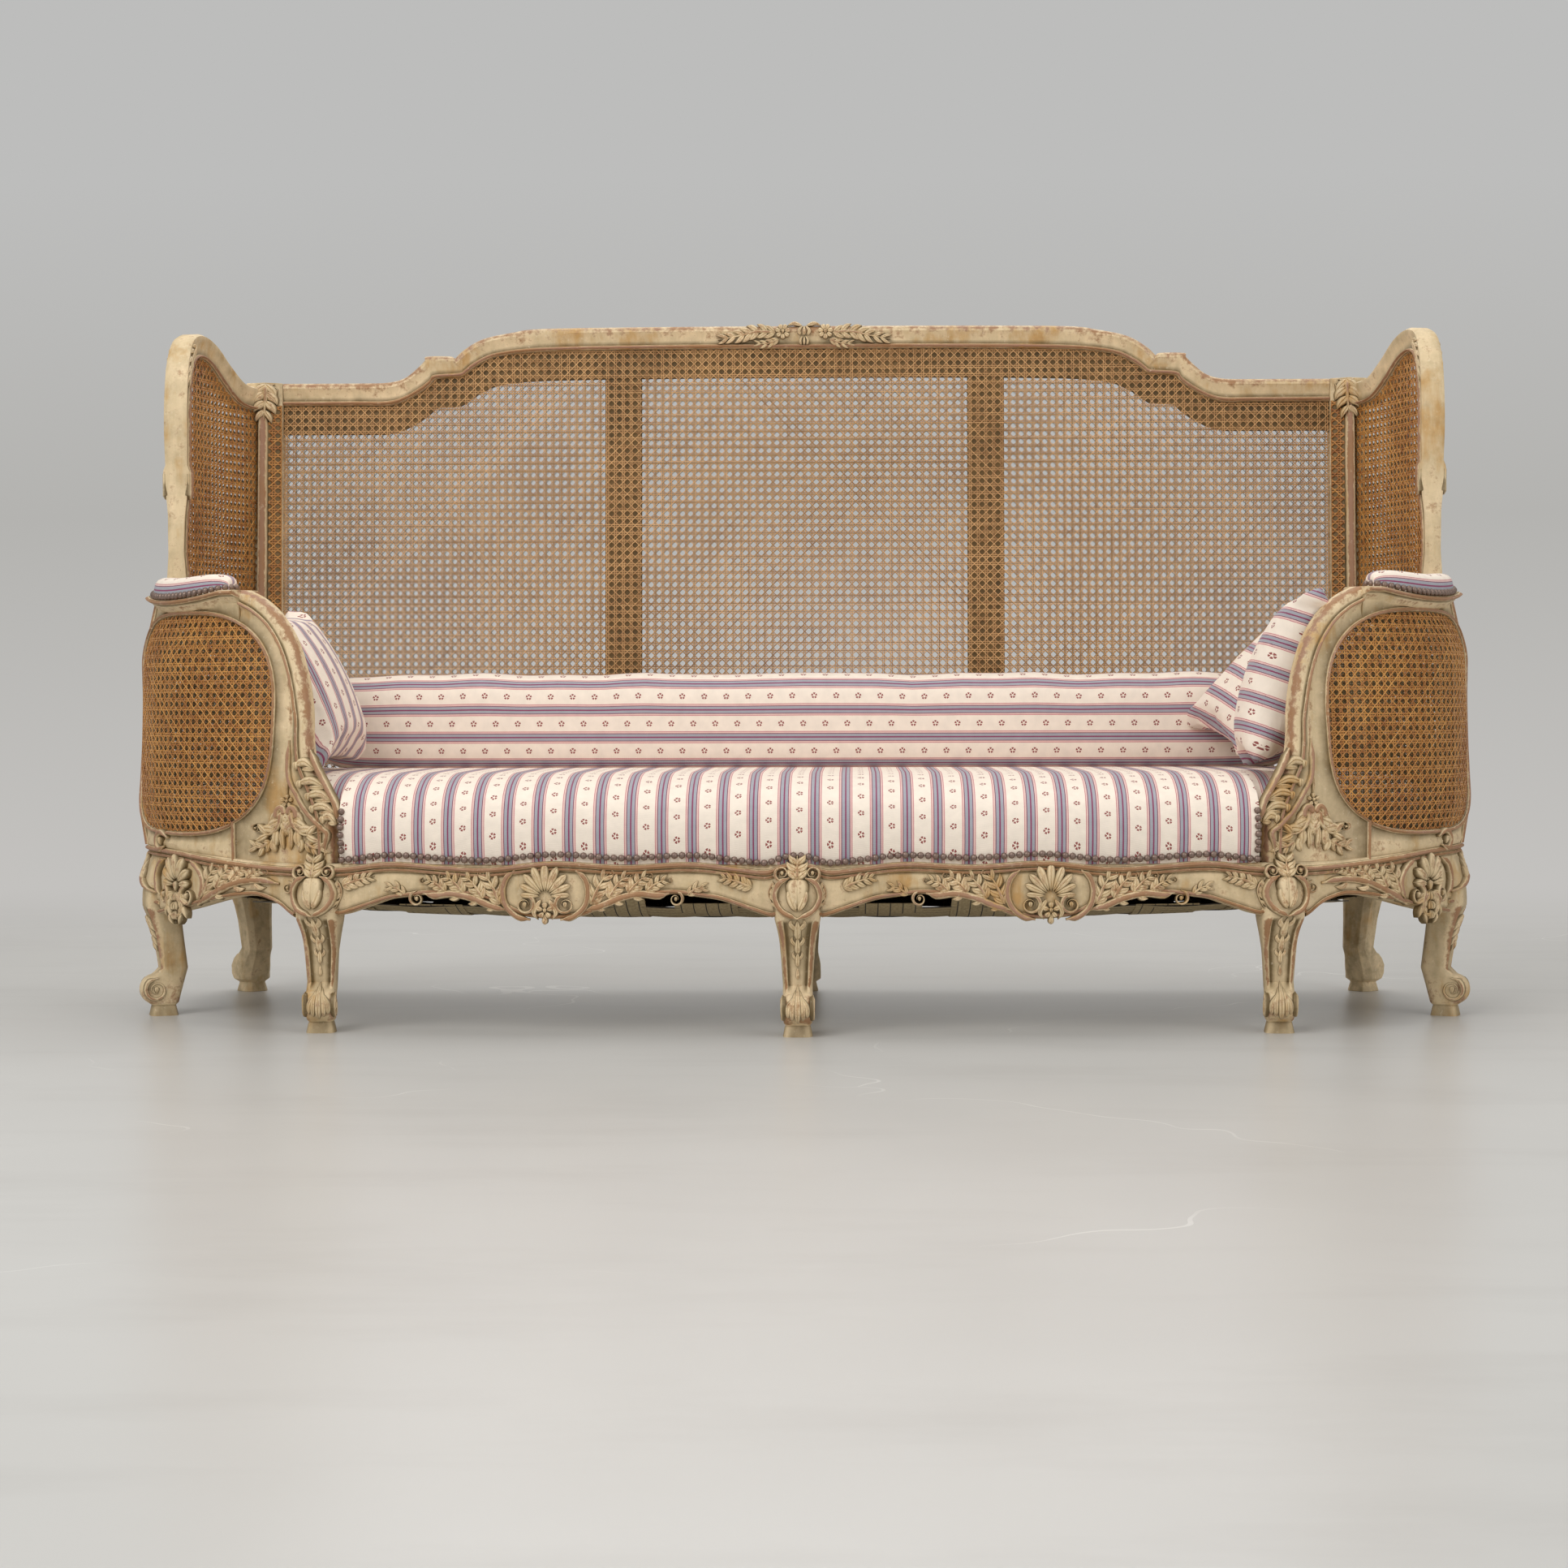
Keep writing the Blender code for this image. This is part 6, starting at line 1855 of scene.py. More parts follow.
@dataclass
class LooseCushions:
    """The three feather cushions, swollen by cloth simulation from their CAD forms."""

    cotton: Material
    poses: tuple = (
        CushionPose("cushion_left", (-0.44, 0.03, 0.9), (0.89, -0.1, 0.44), False, 0.01),
        CushionPose("cushion_right_rear", (0.7, 0.05, 0.71), (-0.61, -0.47, 0.63), True, 0.01),
        CushionPose("cushion_right_front", (0.35, 0.02, 0.94), (-0.94, 0.05, 0.35), True, 0.006))
    voxel: float = 0.005
    pressure: float = 4.0
    frames: int = 20
    shrink: float = 0.985

    def build(self) -> None:
        """Build the three cushions."""
        for pose in self.poses:
            self._cushion(pose)

    def _cushion(self, pose: CushionPose) -> None:
        """Copy, remesh, swell and dress one cushion.

        Args:
            pose: How the cushion lies.
        """
        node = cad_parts[pose.node]
        mesh = node.data.copy()
        shape = bmesh.new()
        shape.from_mesh(mesh)
        bmesh.ops.remove_doubles(shape, verts=shape.verts, dist=0.00005)
        centre = sum((v.co for v in shape.verts), Vector()) / len(shape.verts)
        bmesh.ops.subdivide_edges(shape, edges=shape.edges, cuts=1, use_grid_fill=True, smooth=0.6)
        for vertex in shape.verts:
            vertex.co = centre + (vertex.co - centre) * self.shrink
        shape.to_mesh(mesh)
        shape.free()
        piece = bpy.data.objects.new("striped_" + pose.node, mesh)
        bpy.context.scene.collection.objects.link(piece)
        remesh = piece.modifiers.new("remesh", "REMESH")
        remesh.mode = "VOXEL"
        remesh.voxel_size = self.voxel
        self._apply(piece)
        self._mark_cloth(piece, centre, pose)
        self._swell(piece, pose.cap)
        finish = piece.modifiers.new("softened", "SUBSURF")
        finish.levels = finish.render_levels = 1
        self._apply(piece)
        piece.data.materials.clear()
        piece.data.materials.append(self.cotton)
        piece.data.shade_smooth()
        settle(piece, pose.node, [pose.node])

    def _apply(self, piece: Piece) -> None:
        """Apply a piece's modifiers to its mesh.

        Args:
            piece: The piece to work on.
        """
        graph = bpy.context.evaluated_depsgraph_get()
        baked = bpy.data.meshes.new_from_object(piece.evaluated_get(graph), depsgraph=graph)
        old = piece.data
        piece.modifiers.clear()
        piece.data = baked
        bpy.data.meshes.remove(old)
        baked.name = piece.name

    def _axes(self, pose: CushionPose) -> tuple[Array, Array, Array]:
        """Return a cushion's sideways, upward and facing directions.

        Args:
            pose: How the cushion lies.

        Returns:
            The three directions.
        """
        normal = np.array(Vector(pose.facing).normalized())
        side = np.cross(np.array(pose.up), normal)
        side /= np.linalg.norm(side)
        return side, np.cross(normal, side), normal

    def _mark_cloth(self, piece: Piece, centre: Vector, pose: CushionPose) -> None:
        """Store each point's place on the cloth before the cushion swells.

        Args:
            piece: The piece to work on.
            centre: The cushion's middle.
            pose: How the cushion lies.
        """
        side, up, _ = self._axes(pose)
        points = np.empty(len(piece.data.vertices) * 3, np.float32)
        piece.data.vertices.foreach_get("co", points)
        local = points.reshape(-1, 3) - np.array(centre)
        places = np.stack([local @ side, local @ up, np.zeros(len(local))], 1)
        if pose.stripes_across:
            places = places[:, [1, 0, 2]]
        cloth = piece.data.attributes.new("cloth", "FLOAT_VECTOR", "POINT")
        cloth.data.foreach_set("vector", places.astype(np.float32).ravel())

    def _swell(self, piece: Piece, cap: float) -> None:
        """Blow the cushion up with cloth simulation and cap how far each point moves.

        Args:
            piece: The piece to work on.
            cap: The furthest that a point may move.
        """
        before = np.empty(len(piece.data.vertices) * 3, np.float32)
        piece.data.vertices.foreach_get("co", before)
        cloth = piece.modifiers.new("swell", "CLOTH")
        cloth.settings.use_pressure = True
        cloth.settings.uniform_pressure_force = self.pressure
        cloth.settings.effector_weights.gravity = 0
        cloth.settings.quality = 6
        cloth.settings.mass = 0.15
        scene = bpy.context.scene
        for number in range(1, self.frames + 1):
            scene.frame_set(number)
        self._apply(piece)
        scene.frame_set(1)
        after = np.empty_like(before)
        piece.data.vertices.foreach_get("co", after)
        move = (after - before).reshape(-1, 3)
        size = np.maximum(np.linalg.norm(move, axis=1), 1e-9)
        move *= (np.minimum(size, cap) / size)[:, None]
        piece.data.vertices.foreach_set("co", before + move.ravel())
        piece.data.update()


@dataclass
class Underside:
    """The woven webbing under the seat and the sewn springs that rise from it to the canvas."""

    jute: Material
    steel: Material
    top: float = 0.204
    sag: float = 0.04
    spacing_share: float = 0.134
    width_share: float = 0.6857
    strips: int = 13
    long_strips: int = 5
    long_width: float = 0.115
    bare_front: float = 0.03
    thick: float = 0.0016
    interlace: float = 0.0012
    wire: float = 0.004
    columns: tuple = (-4, -2, 0, 2, 4)
    rows: tuple = (0.34, 0.74)

    def build(self) -> None:
        """Build the webbing and the springs."""
        self.spacing = FORM.half_length * self.spacing_share
        self.half = self.spacing * self.strips / 2
        self.back = FORM.back_y - FORM.rail_half - 0.003
        self.front = self._front(0.0)
        webbing = Shell()
        self._cross_strips(webbing)
        self._long_strips(webbing)
        settle(webbing.make("woven_webbing", self.jute), replaces=["spring_webbing"])
        springs = Shell()
        for column in self.columns:
            for share in self.rows:
                self._spring(springs, column * self.spacing, self.front + (self.back - self.front) * share)
        settle(springs.make("hourglass_springs", self.steel))

    def _front(self, across: float) -> float:
        """Return the front rail's inner face at a place across, without the frame's shift.

        Args:
            across: Distance to the right of the middle.

        Returns:
            Its distance towards the back.
        """
        place = FORM.where(0, abs(across))
        reach = FORM.wall(place, 0.2, -FORM.rail_half - 0.003)
        return float(reach[1]) - FORM.shift

    def _height(self, across: Array, deep: Array) -> Array:
        """Return how high the sagging webbing hangs.

        Args:
            across: Distance to the right of the middle.
            deep: Distance towards the back.

        Returns:
            The heights.
        """
        side = np.clip(np.abs(across) / self.half, 0, 1)
        along = np.clip(np.abs(deep - (self.front + self.back) / 2) / ((self.back - self.front) / 2), 0, 1)
        return self.top - self.sag * (1 - side ** 4) * (1 - along ** 4)

    def _strip(self, shell: Shell, line: Array, width: float, across: bool, phase: int) -> None:
        """Add one strip of webbing along a line of plan points.

        Args:
            shell: The shell that takes the new bodies.
            line: The strip's middle line in plan.
            width: Its width.
            across: Whether it runs from front to back.
            phase: Which strips it passes over.
        """
        run = np.arange(len(line))
        lift = self.interlace * np.cos(math.pi * (run / 6 + phase))
        rings, cloth = [], []
        for share, face in ((-0.5, 1), (-0.25, 1), (0.0, 1), (0.25, 1), (0.5, 1), (0.5, -1), (0.0, -1), (-0.5, -1)):
            spot = line + ((width * share, 0.0) if across else (0.0, width * share))
            level = self._height(spot[:, 0], spot[:, 1]) + lift + face * self.thick / 2
            rings.append(np.column_stack([spot[:, 0], spot[:, 1] + FORM.shift, level]))
            cloth.append(np.stack([np.full(len(line), width * share), run * 0.01], 1))
        shell.loft(np.stack(rings, 1), 0.5, np.stack(cloth, 1))

    def _cross_strips(self, shell: Shell) -> None:
        """Lay the strips that run from the front rail to the back."""
        for k in range(self.strips):
            middle = (k - (self.strips - 1) / 2) * self.spacing
            start = self._front(min(abs(middle) + self.spacing * self.width_share / 2, FORM.half_length * 0.93))
            deep = np.linspace(start, self.back, 37)
            self._strip(shell, np.stack([np.full(37, middle), deep], 1), self.spacing * self.width_share, True, k)

    def _long_strips(self, shell: Shell) -> None:
        """Lay the strips that run from end to end."""
        step = (self.back - self.front - self.bare_front) / self.long_strips
        for k in range(self.long_strips):
            deep = self.front + self.bare_front + (k + 0.5) * step
            edge = self.half - self.spacing * (0.55 if k == 0 else 0.25)
            across = np.linspace(-edge, edge, 157)
            self._strip(shell, np.stack([across, np.full(157, deep)], 1), self.long_width, False, k + 1)

    def _spring(self, shell: Shell, across: float, deep: float) -> None:
        """Wind one hourglass spring from the webbing up to the canvas.

        Args:
            shell: The shell that takes the new bodies.
            across: Distance to the right of the middle.
            deep: Distance towards the back.
        """
        low = float(self._height(np.array(across), np.array(deep))) + 0.004
        high = float(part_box("spring_cloth")[0].z) - self.wire / 2 - 0.0006
        share = np.linspace(0, 1, 97)
        turn = share * 4 * math.tau
        radius = 0.028 + 0.014 * np.abs(2 * share - 1) ** 2
        path = np.stack([across + radius * np.cos(turn), deep + FORM.shift + radius * np.sin(turn),
                         low + (high - low) * share], 1)
        run = np.gradient(path, axis=0)
        run /= np.linalg.norm(run, axis=1)[:, None]
        side = np.stack([np.cos(turn), np.sin(turn), np.zeros(97)], 1)
        up = np.cross(run, side)
        around = np.linspace(0, math.tau, 6, endpoint=False)
        shell.loft(path[:, None] + self.wire / 2 * (side[:, None] * np.cos(around)[None, :, None]
                                                    + up[:, None] * np.sin(around)[None, :, None]), 0.5)


@dataclass
class Carver:
    """Cuts ornament as overlapping tapered strokes that lie on a curved surface.

    A path runs place, height, place, height and so on. Paths and sizes are in millimetres, with
    places measured from where the carver stands, and depth runs out of the surface.
    """

    surface: Surface
    base: float
    shell: Shell = field(default_factory=Shell)
    origin: float = 0.0
    way: float = 1.0
    sink: float = 0.0035
    lateral: tuple = (-1.0, -0.86, -0.55, -0.22, 0.0, 0.22, 0.55, 0.86, 1.0)
    # how far each point of a lobe lies aside from the rib and along it
    curl: tuple = ((0.0, -0.2), (0.40, 0.25), (0.80, 0.70), (1.02, 1.30))

    def stand(self, origin: float, way: float = 1.0) -> "Carver":
        """Measure places from a new origin, each times the given way, and return the carver."""
        self.origin, self.way = origin, way
        return self

    def _spots(self, path: Sequence[float]) -> Array:
        """Return a path's points in metres on the surface."""
        spots = np.array(path, float).reshape(-1, 2) / MM
        return np.stack([self.origin + self.way * spots[:, 0], spots[:, 1]], 1)

    def stroke(self, path: Sequence[float], width: float, rise: float, kind: Stroke = LEAF,
               lift: float = 0.0, steps: int = 12) -> None:
        """Cut one stroke.

        Args:
            path: Points of its middle line.
            width: Its greatest width.
            rise: How far its crown stands proud.
            kind: How it swells and ends.
            lift: How far its base is raised above the surface.
            steps: How many sections it has.
        """
        self._stroke(self._spots(path), width / MM, rise / MM, kind, lift / MM, steps)

    def _stroke(self, path: Array, width: float, rise: float, kind: Stroke, lift: float, steps: int) -> None:
        """Cut one stroke whose points and sizes are in metres.

        Args:
            path: Points of its middle line.
            width: Its greatest width.
            rise: How far its crown stands proud.
            kind: How it swells and ends.
            lift: How far its base is raised.
            steps: How many sections it has.
        """
        line = even_spread(path, steps, 8)
        share = np.linspace(0, 1, steps)
        run = unit(np.gradient(line, axis=0))
        side = np.stack([-run[:, 1], run[:, 0]], 1)
        if kind is LEAF:
            swell = np.sin(math.pi * (0.04 + 0.94 * share) ** 0.80)
        elif kind is BAND:
            swell = np.clip(np.minimum(share, 1 - share) * 9, 0.35, 1)
        elif kind is DROP:
            swell = np.sqrt(np.clip(1 - (2 * share - 1) ** 2, 0.02, 1)) * (0.45 + 0.55 * share)
        else:
            swell = np.clip(share * 8, 0.3, 1) * (1 - 0.88 * share)
        lateral = np.array(self.lateral)
        crown = np.sqrt(np.clip(1 - lateral ** 2, 0, 1))
        if kind in (LEAF, DROP):
            crown = crown * (1 - 0.30 * np.exp(-(lateral / 0.20) ** 2))
        spots = line[:, None] + side[:, None] * ((width / 2 * swell)[:, None] * lateral[None])[..., None]
        depth = self.base + lift + rise * swell[:, None] ** 0.6 * crown[None]
        spots = np.concatenate([spots, spots[:, [-1, 0]]], 1)
        depth = np.concatenate([depth, np.full((steps, 2), self.base - self.sink)], 1)
        # a stroke's flanks and sunk foot get a low relief, which the paint darkens with dirt and painted shade
        top = 0.98 if kind is BAND else 0.74
        relief = 0.04 + top * np.concatenate([crown ** 2.4, [0, 0]])[None] * np.clip(swell[:, None] + 0.35, 0, 1)
        self.shell.loft(self.surface(spots[..., 0], spots[..., 1], depth), relief)

    def volute(self, centre: Sequence[float], radius: float, turns: float, sense: int, rise: float,
               lift: float = 0.0, start: float = math.pi / 2) -> None:
        """Cut a spiral scroll with a raised eye.

        Args:
            centre: The eye's place and height.
            radius: The spiral's outer radius.
            turns: How many turns it makes.
            sense: 1 for anticlockwise, -1 for clockwise, and the other way round on the left.
            rise: How far its crown stands proud.
            lift: How far its base is raised.
            start: The angle of its outer end.
        """
        middle, radius, rise, lift = self._spots(centre)[0], radius / MM, rise / MM, lift / MM
        share = np.linspace(0, 1, 12)
        angle = start + math.copysign(sense, sense * self.way) * math.tau * turns * share
        reach = radius * (0.80 - 0.56 * share)
        path = middle + np.stack([np.cos(angle), np.sin(angle)], 1) * reach[:, None]
        self._stroke(path, radius * 0.40, rise, TAIL, lift, 26)
        self._boss(middle, radius * 0.24, rise * 1.15, lift)

    def boss(self, centre: Sequence[float], radius: float, rise: float, lift: float = 0.0) -> None:
        """Cut a small round boss."""
        self._boss(self._spots(centre)[0], radius / MM, rise / MM, lift / MM)

    def _boss(self, middle: Array, radius: float, rise: float, lift: float) -> None:
        """Cut a boss whose sizes are in metres."""
        path = middle + np.array([(0, -radius), (0, 0), (0, radius)])
        self._stroke(path, radius * 2, rise, DROP, lift, 9)

    def acanthus(self, path: Sequence[float], width: float, lobes: int, rise: float = 5.0,
                 sides: Sequence[int] = (-1, 1), lift: float = 0.0) -> None:
        """Cut an acanthus leaf: a rib with lobes that curl forwards.

        Args:
            path: The rib's middle line.
            width: The leaf's whole width.
            lobes: How many lobes stand on each side.
            rise: How far the crowns stand proud.
            sides: Which sides carry lobes.
            lift: How far the leaf's base is raised.
        """
        width, rise, lift = width / MM, rise / MM, lift / MM
        rib = even_spread(self._spots(path), 4 * lobes + 5, 6)
        run = unit(np.gradient(rib, axis=0))
        gap = float(np.linalg.norm(np.diff(rib, axis=0), axis=1).sum()) / (lobes + 0.5)
        for k in range(lobes):
            part = (k + 0.15) / (lobes + 0.2)
            index = int(round(part * (len(rib) - 1)))
            here, ahead = rib[index], run[index] * gap
            size = width / 2 * (0.60 + 0.40 * math.sin(math.pi * min(part + 0.2, 1)))
            for sign in sides:
                out = np.array([-run[index][1], run[index][0]]) * sign * size
                lobe = np.array([here + out * aside + ahead * along for aside, along in self.curl])
                self._stroke(lobe, min(gap * 1.25, size * 0.95), rise, LEAF, lift, 8)
        self._stroke(rib, min(gap * 0.75, width * 0.34), rise * 1.25, TAIL, lift, 16)

    def shell_fan(self, centre: Sequence[float], inner: float, outer: float, rays: int, spread: float,
                  rise: float, lift: float) -> None:
        """Cut a scallop shell of rays that widen outwards.

        Args:
            centre: The point from which the rays spring.
            inner: Where they start.
            outer: How long the middle ray is.
            rays: How many there are.
            spread: The angle in degrees from the first ray to the last.
            rise: How far they stand proud.
            lift: How far the shell's base is raised.
        """
        middle, spread = self._spots(centre)[0], math.radians(spread)
        for angle in np.linspace(-spread / 2, spread / 2, rays):
            reach = (inner + (outer - inner) * (0.72 + 0.28 * math.cos(angle * 1.15))) / MM
            ray = np.array([math.cos(math.pi / 2 + angle), math.sin(math.pi / 2 + angle)])
            path = middle + ray * np.array([[inner / MM], [(inner / MM + reach) / 2], [reach]])
            self._stroke(path, reach * spread / (rays - 1) * 0.98, rise / MM, DROP, lift / MM, 9)

    def husks(self, top: Sequence[float], drop: float, count: int, width: float, rise: float, lift: float) -> None:
        """Cut a falling string of husks that grow smaller downwards.

        Args:
            top: The string's upper end.
            drop: Its length.
            count: How many husks it has.
            width: The first one's width.
            rise: How far they stand proud.
            lift: How far their base is raised.
        """
        x, z = top
        step = drop / count
        for k in range(count):
            size = width * (1 - 0.55 * k / count)
            start = z - step * k
            for tilt in (-0.9, 0.0, 0.9):
                self.stroke((x + tilt * size * 0.10, start, x + tilt * size * 0.42, start - step * 0.5,
                             x + tilt * size * 0.30, start - step * 0.98), size * 0.38, rise, DROP, lift, 8)

    def flower(self, centre: Sequence[float], radius: float, petals: int, rise: float, lift: float) -> None:
        """Cut an open flower with a round middle.

        Args:
            centre: Its place and height.
            radius: Its radius.
            petals: How many petals it has.
            rise: How far they stand proud.
            lift: How far the flower's base is raised.
        """
        middle = self._spots(centre)[0]
        for angle in math.tau * (np.arange(petals) + 0.25) / petals:
            petal = np.array([[0.20], [0.6], [1.0]]) * radius / MM * np.array([math.cos(angle), math.sin(angle)])
            self._stroke(middle + petal, radius / MM * 0.92, rise / MM, DROP, lift / MM, 8)
        self.boss(centre, radius * 0.30, rise * 1.2, lift)


@dataclass
class Carving:
    """All of the sofa's ornament, laid out on its rails, legs, arms, wings and crest."""

    paint: Material
    seat: SeatFrame
    rail_face: float = 0.016
    shell_place: float = 0.379
    corner_across: float = 0.962
    spray_across: float = 0.774
    stile_across: float = 0.0305

    def build(self) -> None:
        """Carve both sides and the middle."""
        for name, maker in (("rail_ornament", self._front_rail), ("corner_ornament", self._corner),
                            ("leg_ornament", self._front_leg), ("arm_ornament", self._arm_foot),
                            ("wing_ornament", self._wing)):
            make_pair(maker(), f"carved_{name}", self.paint)
        for name, maker in (("centre_leg_ornament", self._centre_leg), ("crest_ornament", self._crest)):
            settle(maker().make(f"carved_{name}", self.paint))

    def _front_rail(self) -> Shell:
        """Carve a front rail: shell and volutes in the middle, leafy scrolls along the arches."""
        cut = Carver(FORM.wall, self.rail_face).stand(self.shell_place)
        cut.shell_fan((0, 211), 8, 49, 9, 172, 10, 3)
        for sign in (-1, 1):
            cut.stand(self.shell_place, sign).volute((29, 198.5), 19.5, 1.35, 1, 10.5, 3)
            cut.stroke((44, 250, 57, 238, 62, 218, 57, 196, 40, 180, 22, 176), 9.5, 9, BAND, 1, 26)
            cut.stroke((56, 190, 80, 196, 110, 208, 140, 214, 168, 211, 186, 215), 12, 8.5, BAND, 0, 26)
            cut.volute((196, 206), 15, 1.3, -1, 9)
            for path, width in (((66, 199, 80, 230, 94, 248), 26), ((92, 208, 108, 231, 124, 244), 24),
                                ((122, 216, 138, 233, 154, 243), 24), ((150, 218, 166, 230, 184, 236), 20)):
                cut.acanthus(path, width, 4, 8.5)
                cut.volute((path[4] + 2, path[5] - 3), 6.2, 0.9, -1, 8.5)
            for path in ((74, 196, 81, 191, 88, 190), (100, 204, 108, 199.5, 116, 199),
                         (128, 211, 137, 206.5, 146, 206)):
                cut.stroke(path, 9, 7)
            cut.acanthus((312, 224, 290, 233, 262, 240), 22, 5, 7)
            cut.acanthus((214, 212, 228, 222, 246, 224), 16, 3, 6)
            cut.stroke((6, 206, 16, 188, 10, 176), 10, 8, LEAF, 2)
        cut.stand(self.shell_place).flower((0, 190), 12.5, 5, 9, 3)
        cut.stroke((0, 185, 0, 178, 0, 169), 12, 8, DROP, 2)
        return cut.shell

    def _corner(self) -> Shell:
        """Carve a corner: a shell over facing volutes and a husk, and scrolls to either side."""
        middle = FORM.where(0, self.corner_across)
        cut = Carver(self.seat.knee_face(FORM.side_leg), self.rail_face).stand(middle)
        cut.shell_fan((0, 217), 10, 50, 7, 170, 11, 4)
        cut.boss((0, 215), 8, 7.5, 4)
        for sign in (-1, 1):
            cut.stand(middle, sign).volute((34, 201), 21, 1.35, 1, 10.5, 4)
            cut.acanthus((10, 206, 22, 188, 18, 172, 4, 164), 20, 4, 8, lift=4)
            cut.stroke((40, 256, 58, 246, 70, 228, 68, 208, 60, 198), 9.5, 9, BAND, 2, 22)
        cut.stand(middle).husks((0, 206), 44, 3, 24, 8, 5)
        # from here on places are thousandths of the way from the front leg to the corner
        cut.stand(FORM.front_leg, middle - FORM.front_leg)
        cut.stroke((800, 188, 730, 199, 620, 213, 480, 227, 340, 231, 220, 226), 12, 9, BAND, 0, 26)
        cut.volute((165, 220), 13, 1.3, 1, 9)
        for path, width in (((740, 202, 700, 232, 640, 250), 28), ((640, 214, 590, 237, 530, 250), 26),
                            ((530, 226, 480, 242, 420, 249), 22), ((420, 232, 370, 243, 310, 246), 18)):
            cut.acanthus(path, width, 4, 9)
            cut.volute((path[4] - 10, path[5] - 3), 6.5, 0.9, 1, 8.5)
        for path in ((660, 206, 620, 202, 580, 206), (520, 220, 480, 215, 440, 218), (380, 226, 340, 219, 300, 220)):
            cut.stroke(path, 10, 7)
        # and here of the way from the corner to the back leg
        cut.stand(middle, FORM.rail_end - middle)
        cut.stroke((170, 200, 260, 220, 400, 234, 540, 236, 640, 228), 12, 9, BAND, 0, 22)
        cut.volute((680, 221), 13, 1.3, -1, 9)
        for path in ((240, 218, 280, 240, 330, 256), (360, 234, 400, 250, 460, 260), (480, 238, 530, 250, 580, 256)):
            cut.acanthus(path, 24, 4, 8.5)
        return cut.shell

    def _cartouche(self, cut: Carver, across: float) -> None:
        """Carve a leg's cartouche: a shield with a rim under two scrolls and a leaf.

        Args:
            cut: The carver that stands on the knee.
            across: The leg's place, in metres.
        """
        for sign in (-1, 1):
            cut.stand(across, sign)
            cut.stroke((0, 178, 22.2, 190, 32.56, 211, 25.9, 231, 11.1, 239), 9.5, 10.5, BAND, 2, 22)
            cut.volute((21.46, 246), 14.5, 1.3, 1, 10, 4, -math.pi / 2)
            cut.stroke((6.5, 233, 10.5, 213, 2, 190), 17, 10.5, DROP, 1)
            cut.acanthus((35.15, 233, 41.44, 215, 33.3, 190), 14, 4, 5, (-sign,))
        cut.stand(across).acanthus((0, 238, 0, 254, 0, 272), 30, 3, 10, lift=4)
        cut.boss((0, 218), 22.2, 11, 2)

    def _shaft(self, surface: Surface) -> Shell:
        """Carve a front leg's shaft: husks down its middle, beads on its edges and a leafy toe.

        Args:
            surface: The front of the leg.

        Returns:
            The ornament.
        """
        cut = Carver(surface, 0.0)
        for top, length, width in ((176, 30, 17), (150, 26, 14), (127, 22, 11)):
            cut.stand(0).stroke((0, top, 0, top - length / 2, 0, top - length), width, 8, DROP)
            for sign in (-1, 1):
                cut.stand(0, sign).stroke((2, top - length * 0.55, width * 0.62, top - length * 0.20, width * 0.50,
                                           top + length * 0.08), width * 0.5, 5.5)
        cut.stand(0).stroke((0, 104, 0, 96, 0, 86), 8, 5, DROP)
        # a toe of five plump lobes over the scroll
        for across, top, low, width in ((14.5, 62, 30, 11), (-14.5, 62, 30, 11), (8, 70, 26, 12), (-8, 70, 26, 12),
                                        (0, 78, 22, 15)):
            cut.stroke((across * 0.4, top, across, (top + low) / 2, across, low), width, 8.5 if across else 11.5,
                       DROP)
        return cut.shell

    def _leg(self, place: float, turn: float) -> Shell:
        """Carve one front leg with its cartouche, shaft and foot scrolls.

        Args:
            place: Length along the plan from the middle of the front.
            turn: How far the leg is turned, in radians.

        Returns:
            The ornament.
        """
        cut = Carver(self.seat.knee_face(place), self.rail_face)
        self._cartouche(cut, place)
        cut.shell.merge(self._shaft(self.seat.leg_face(place, turn)))
        self._foot_scrolls(cut.shell, place, turn)
        return cut.shell

    def _foot_scrolls(self, shell: Shell, place: float, turn: float) -> None:
        """Carve the spirals on both flanks of a leg's scroll foot."""
        seat = self.seat
        for sign in (-1, 1):
            flank = Carver(seat.leg_flank(place, turn, sign), 0.0)
            flank.volute((seat.volute_out * MM, seat.volute_height * MM), seat.volute_radius * 1.02 * MM, 1.6, -1, 5,
                         start=math.radians(100))
            shell.merge(flank.shell)

    def _front_leg(self) -> Shell:
        """Carve a front leg, and the spirals and drops of the corner leg beside it."""
        shell = self._leg(FORM.front_leg, self.seat.leg_turn)
        self._foot_scrolls(shell, FORM.side_leg, 0.0)
        front = Carver(self.seat.leg_face(FORM.side_leg, 0.0), 0.0)
        front.acanthus((0, 160, 0, 135, 0, 105), 40, 5, 5.5)
        shell.merge(front.shell)
        return shell

    def _centre_leg(self) -> Shell:
        """Carve the middle front leg."""
        return self._leg(0.0, 0.0)

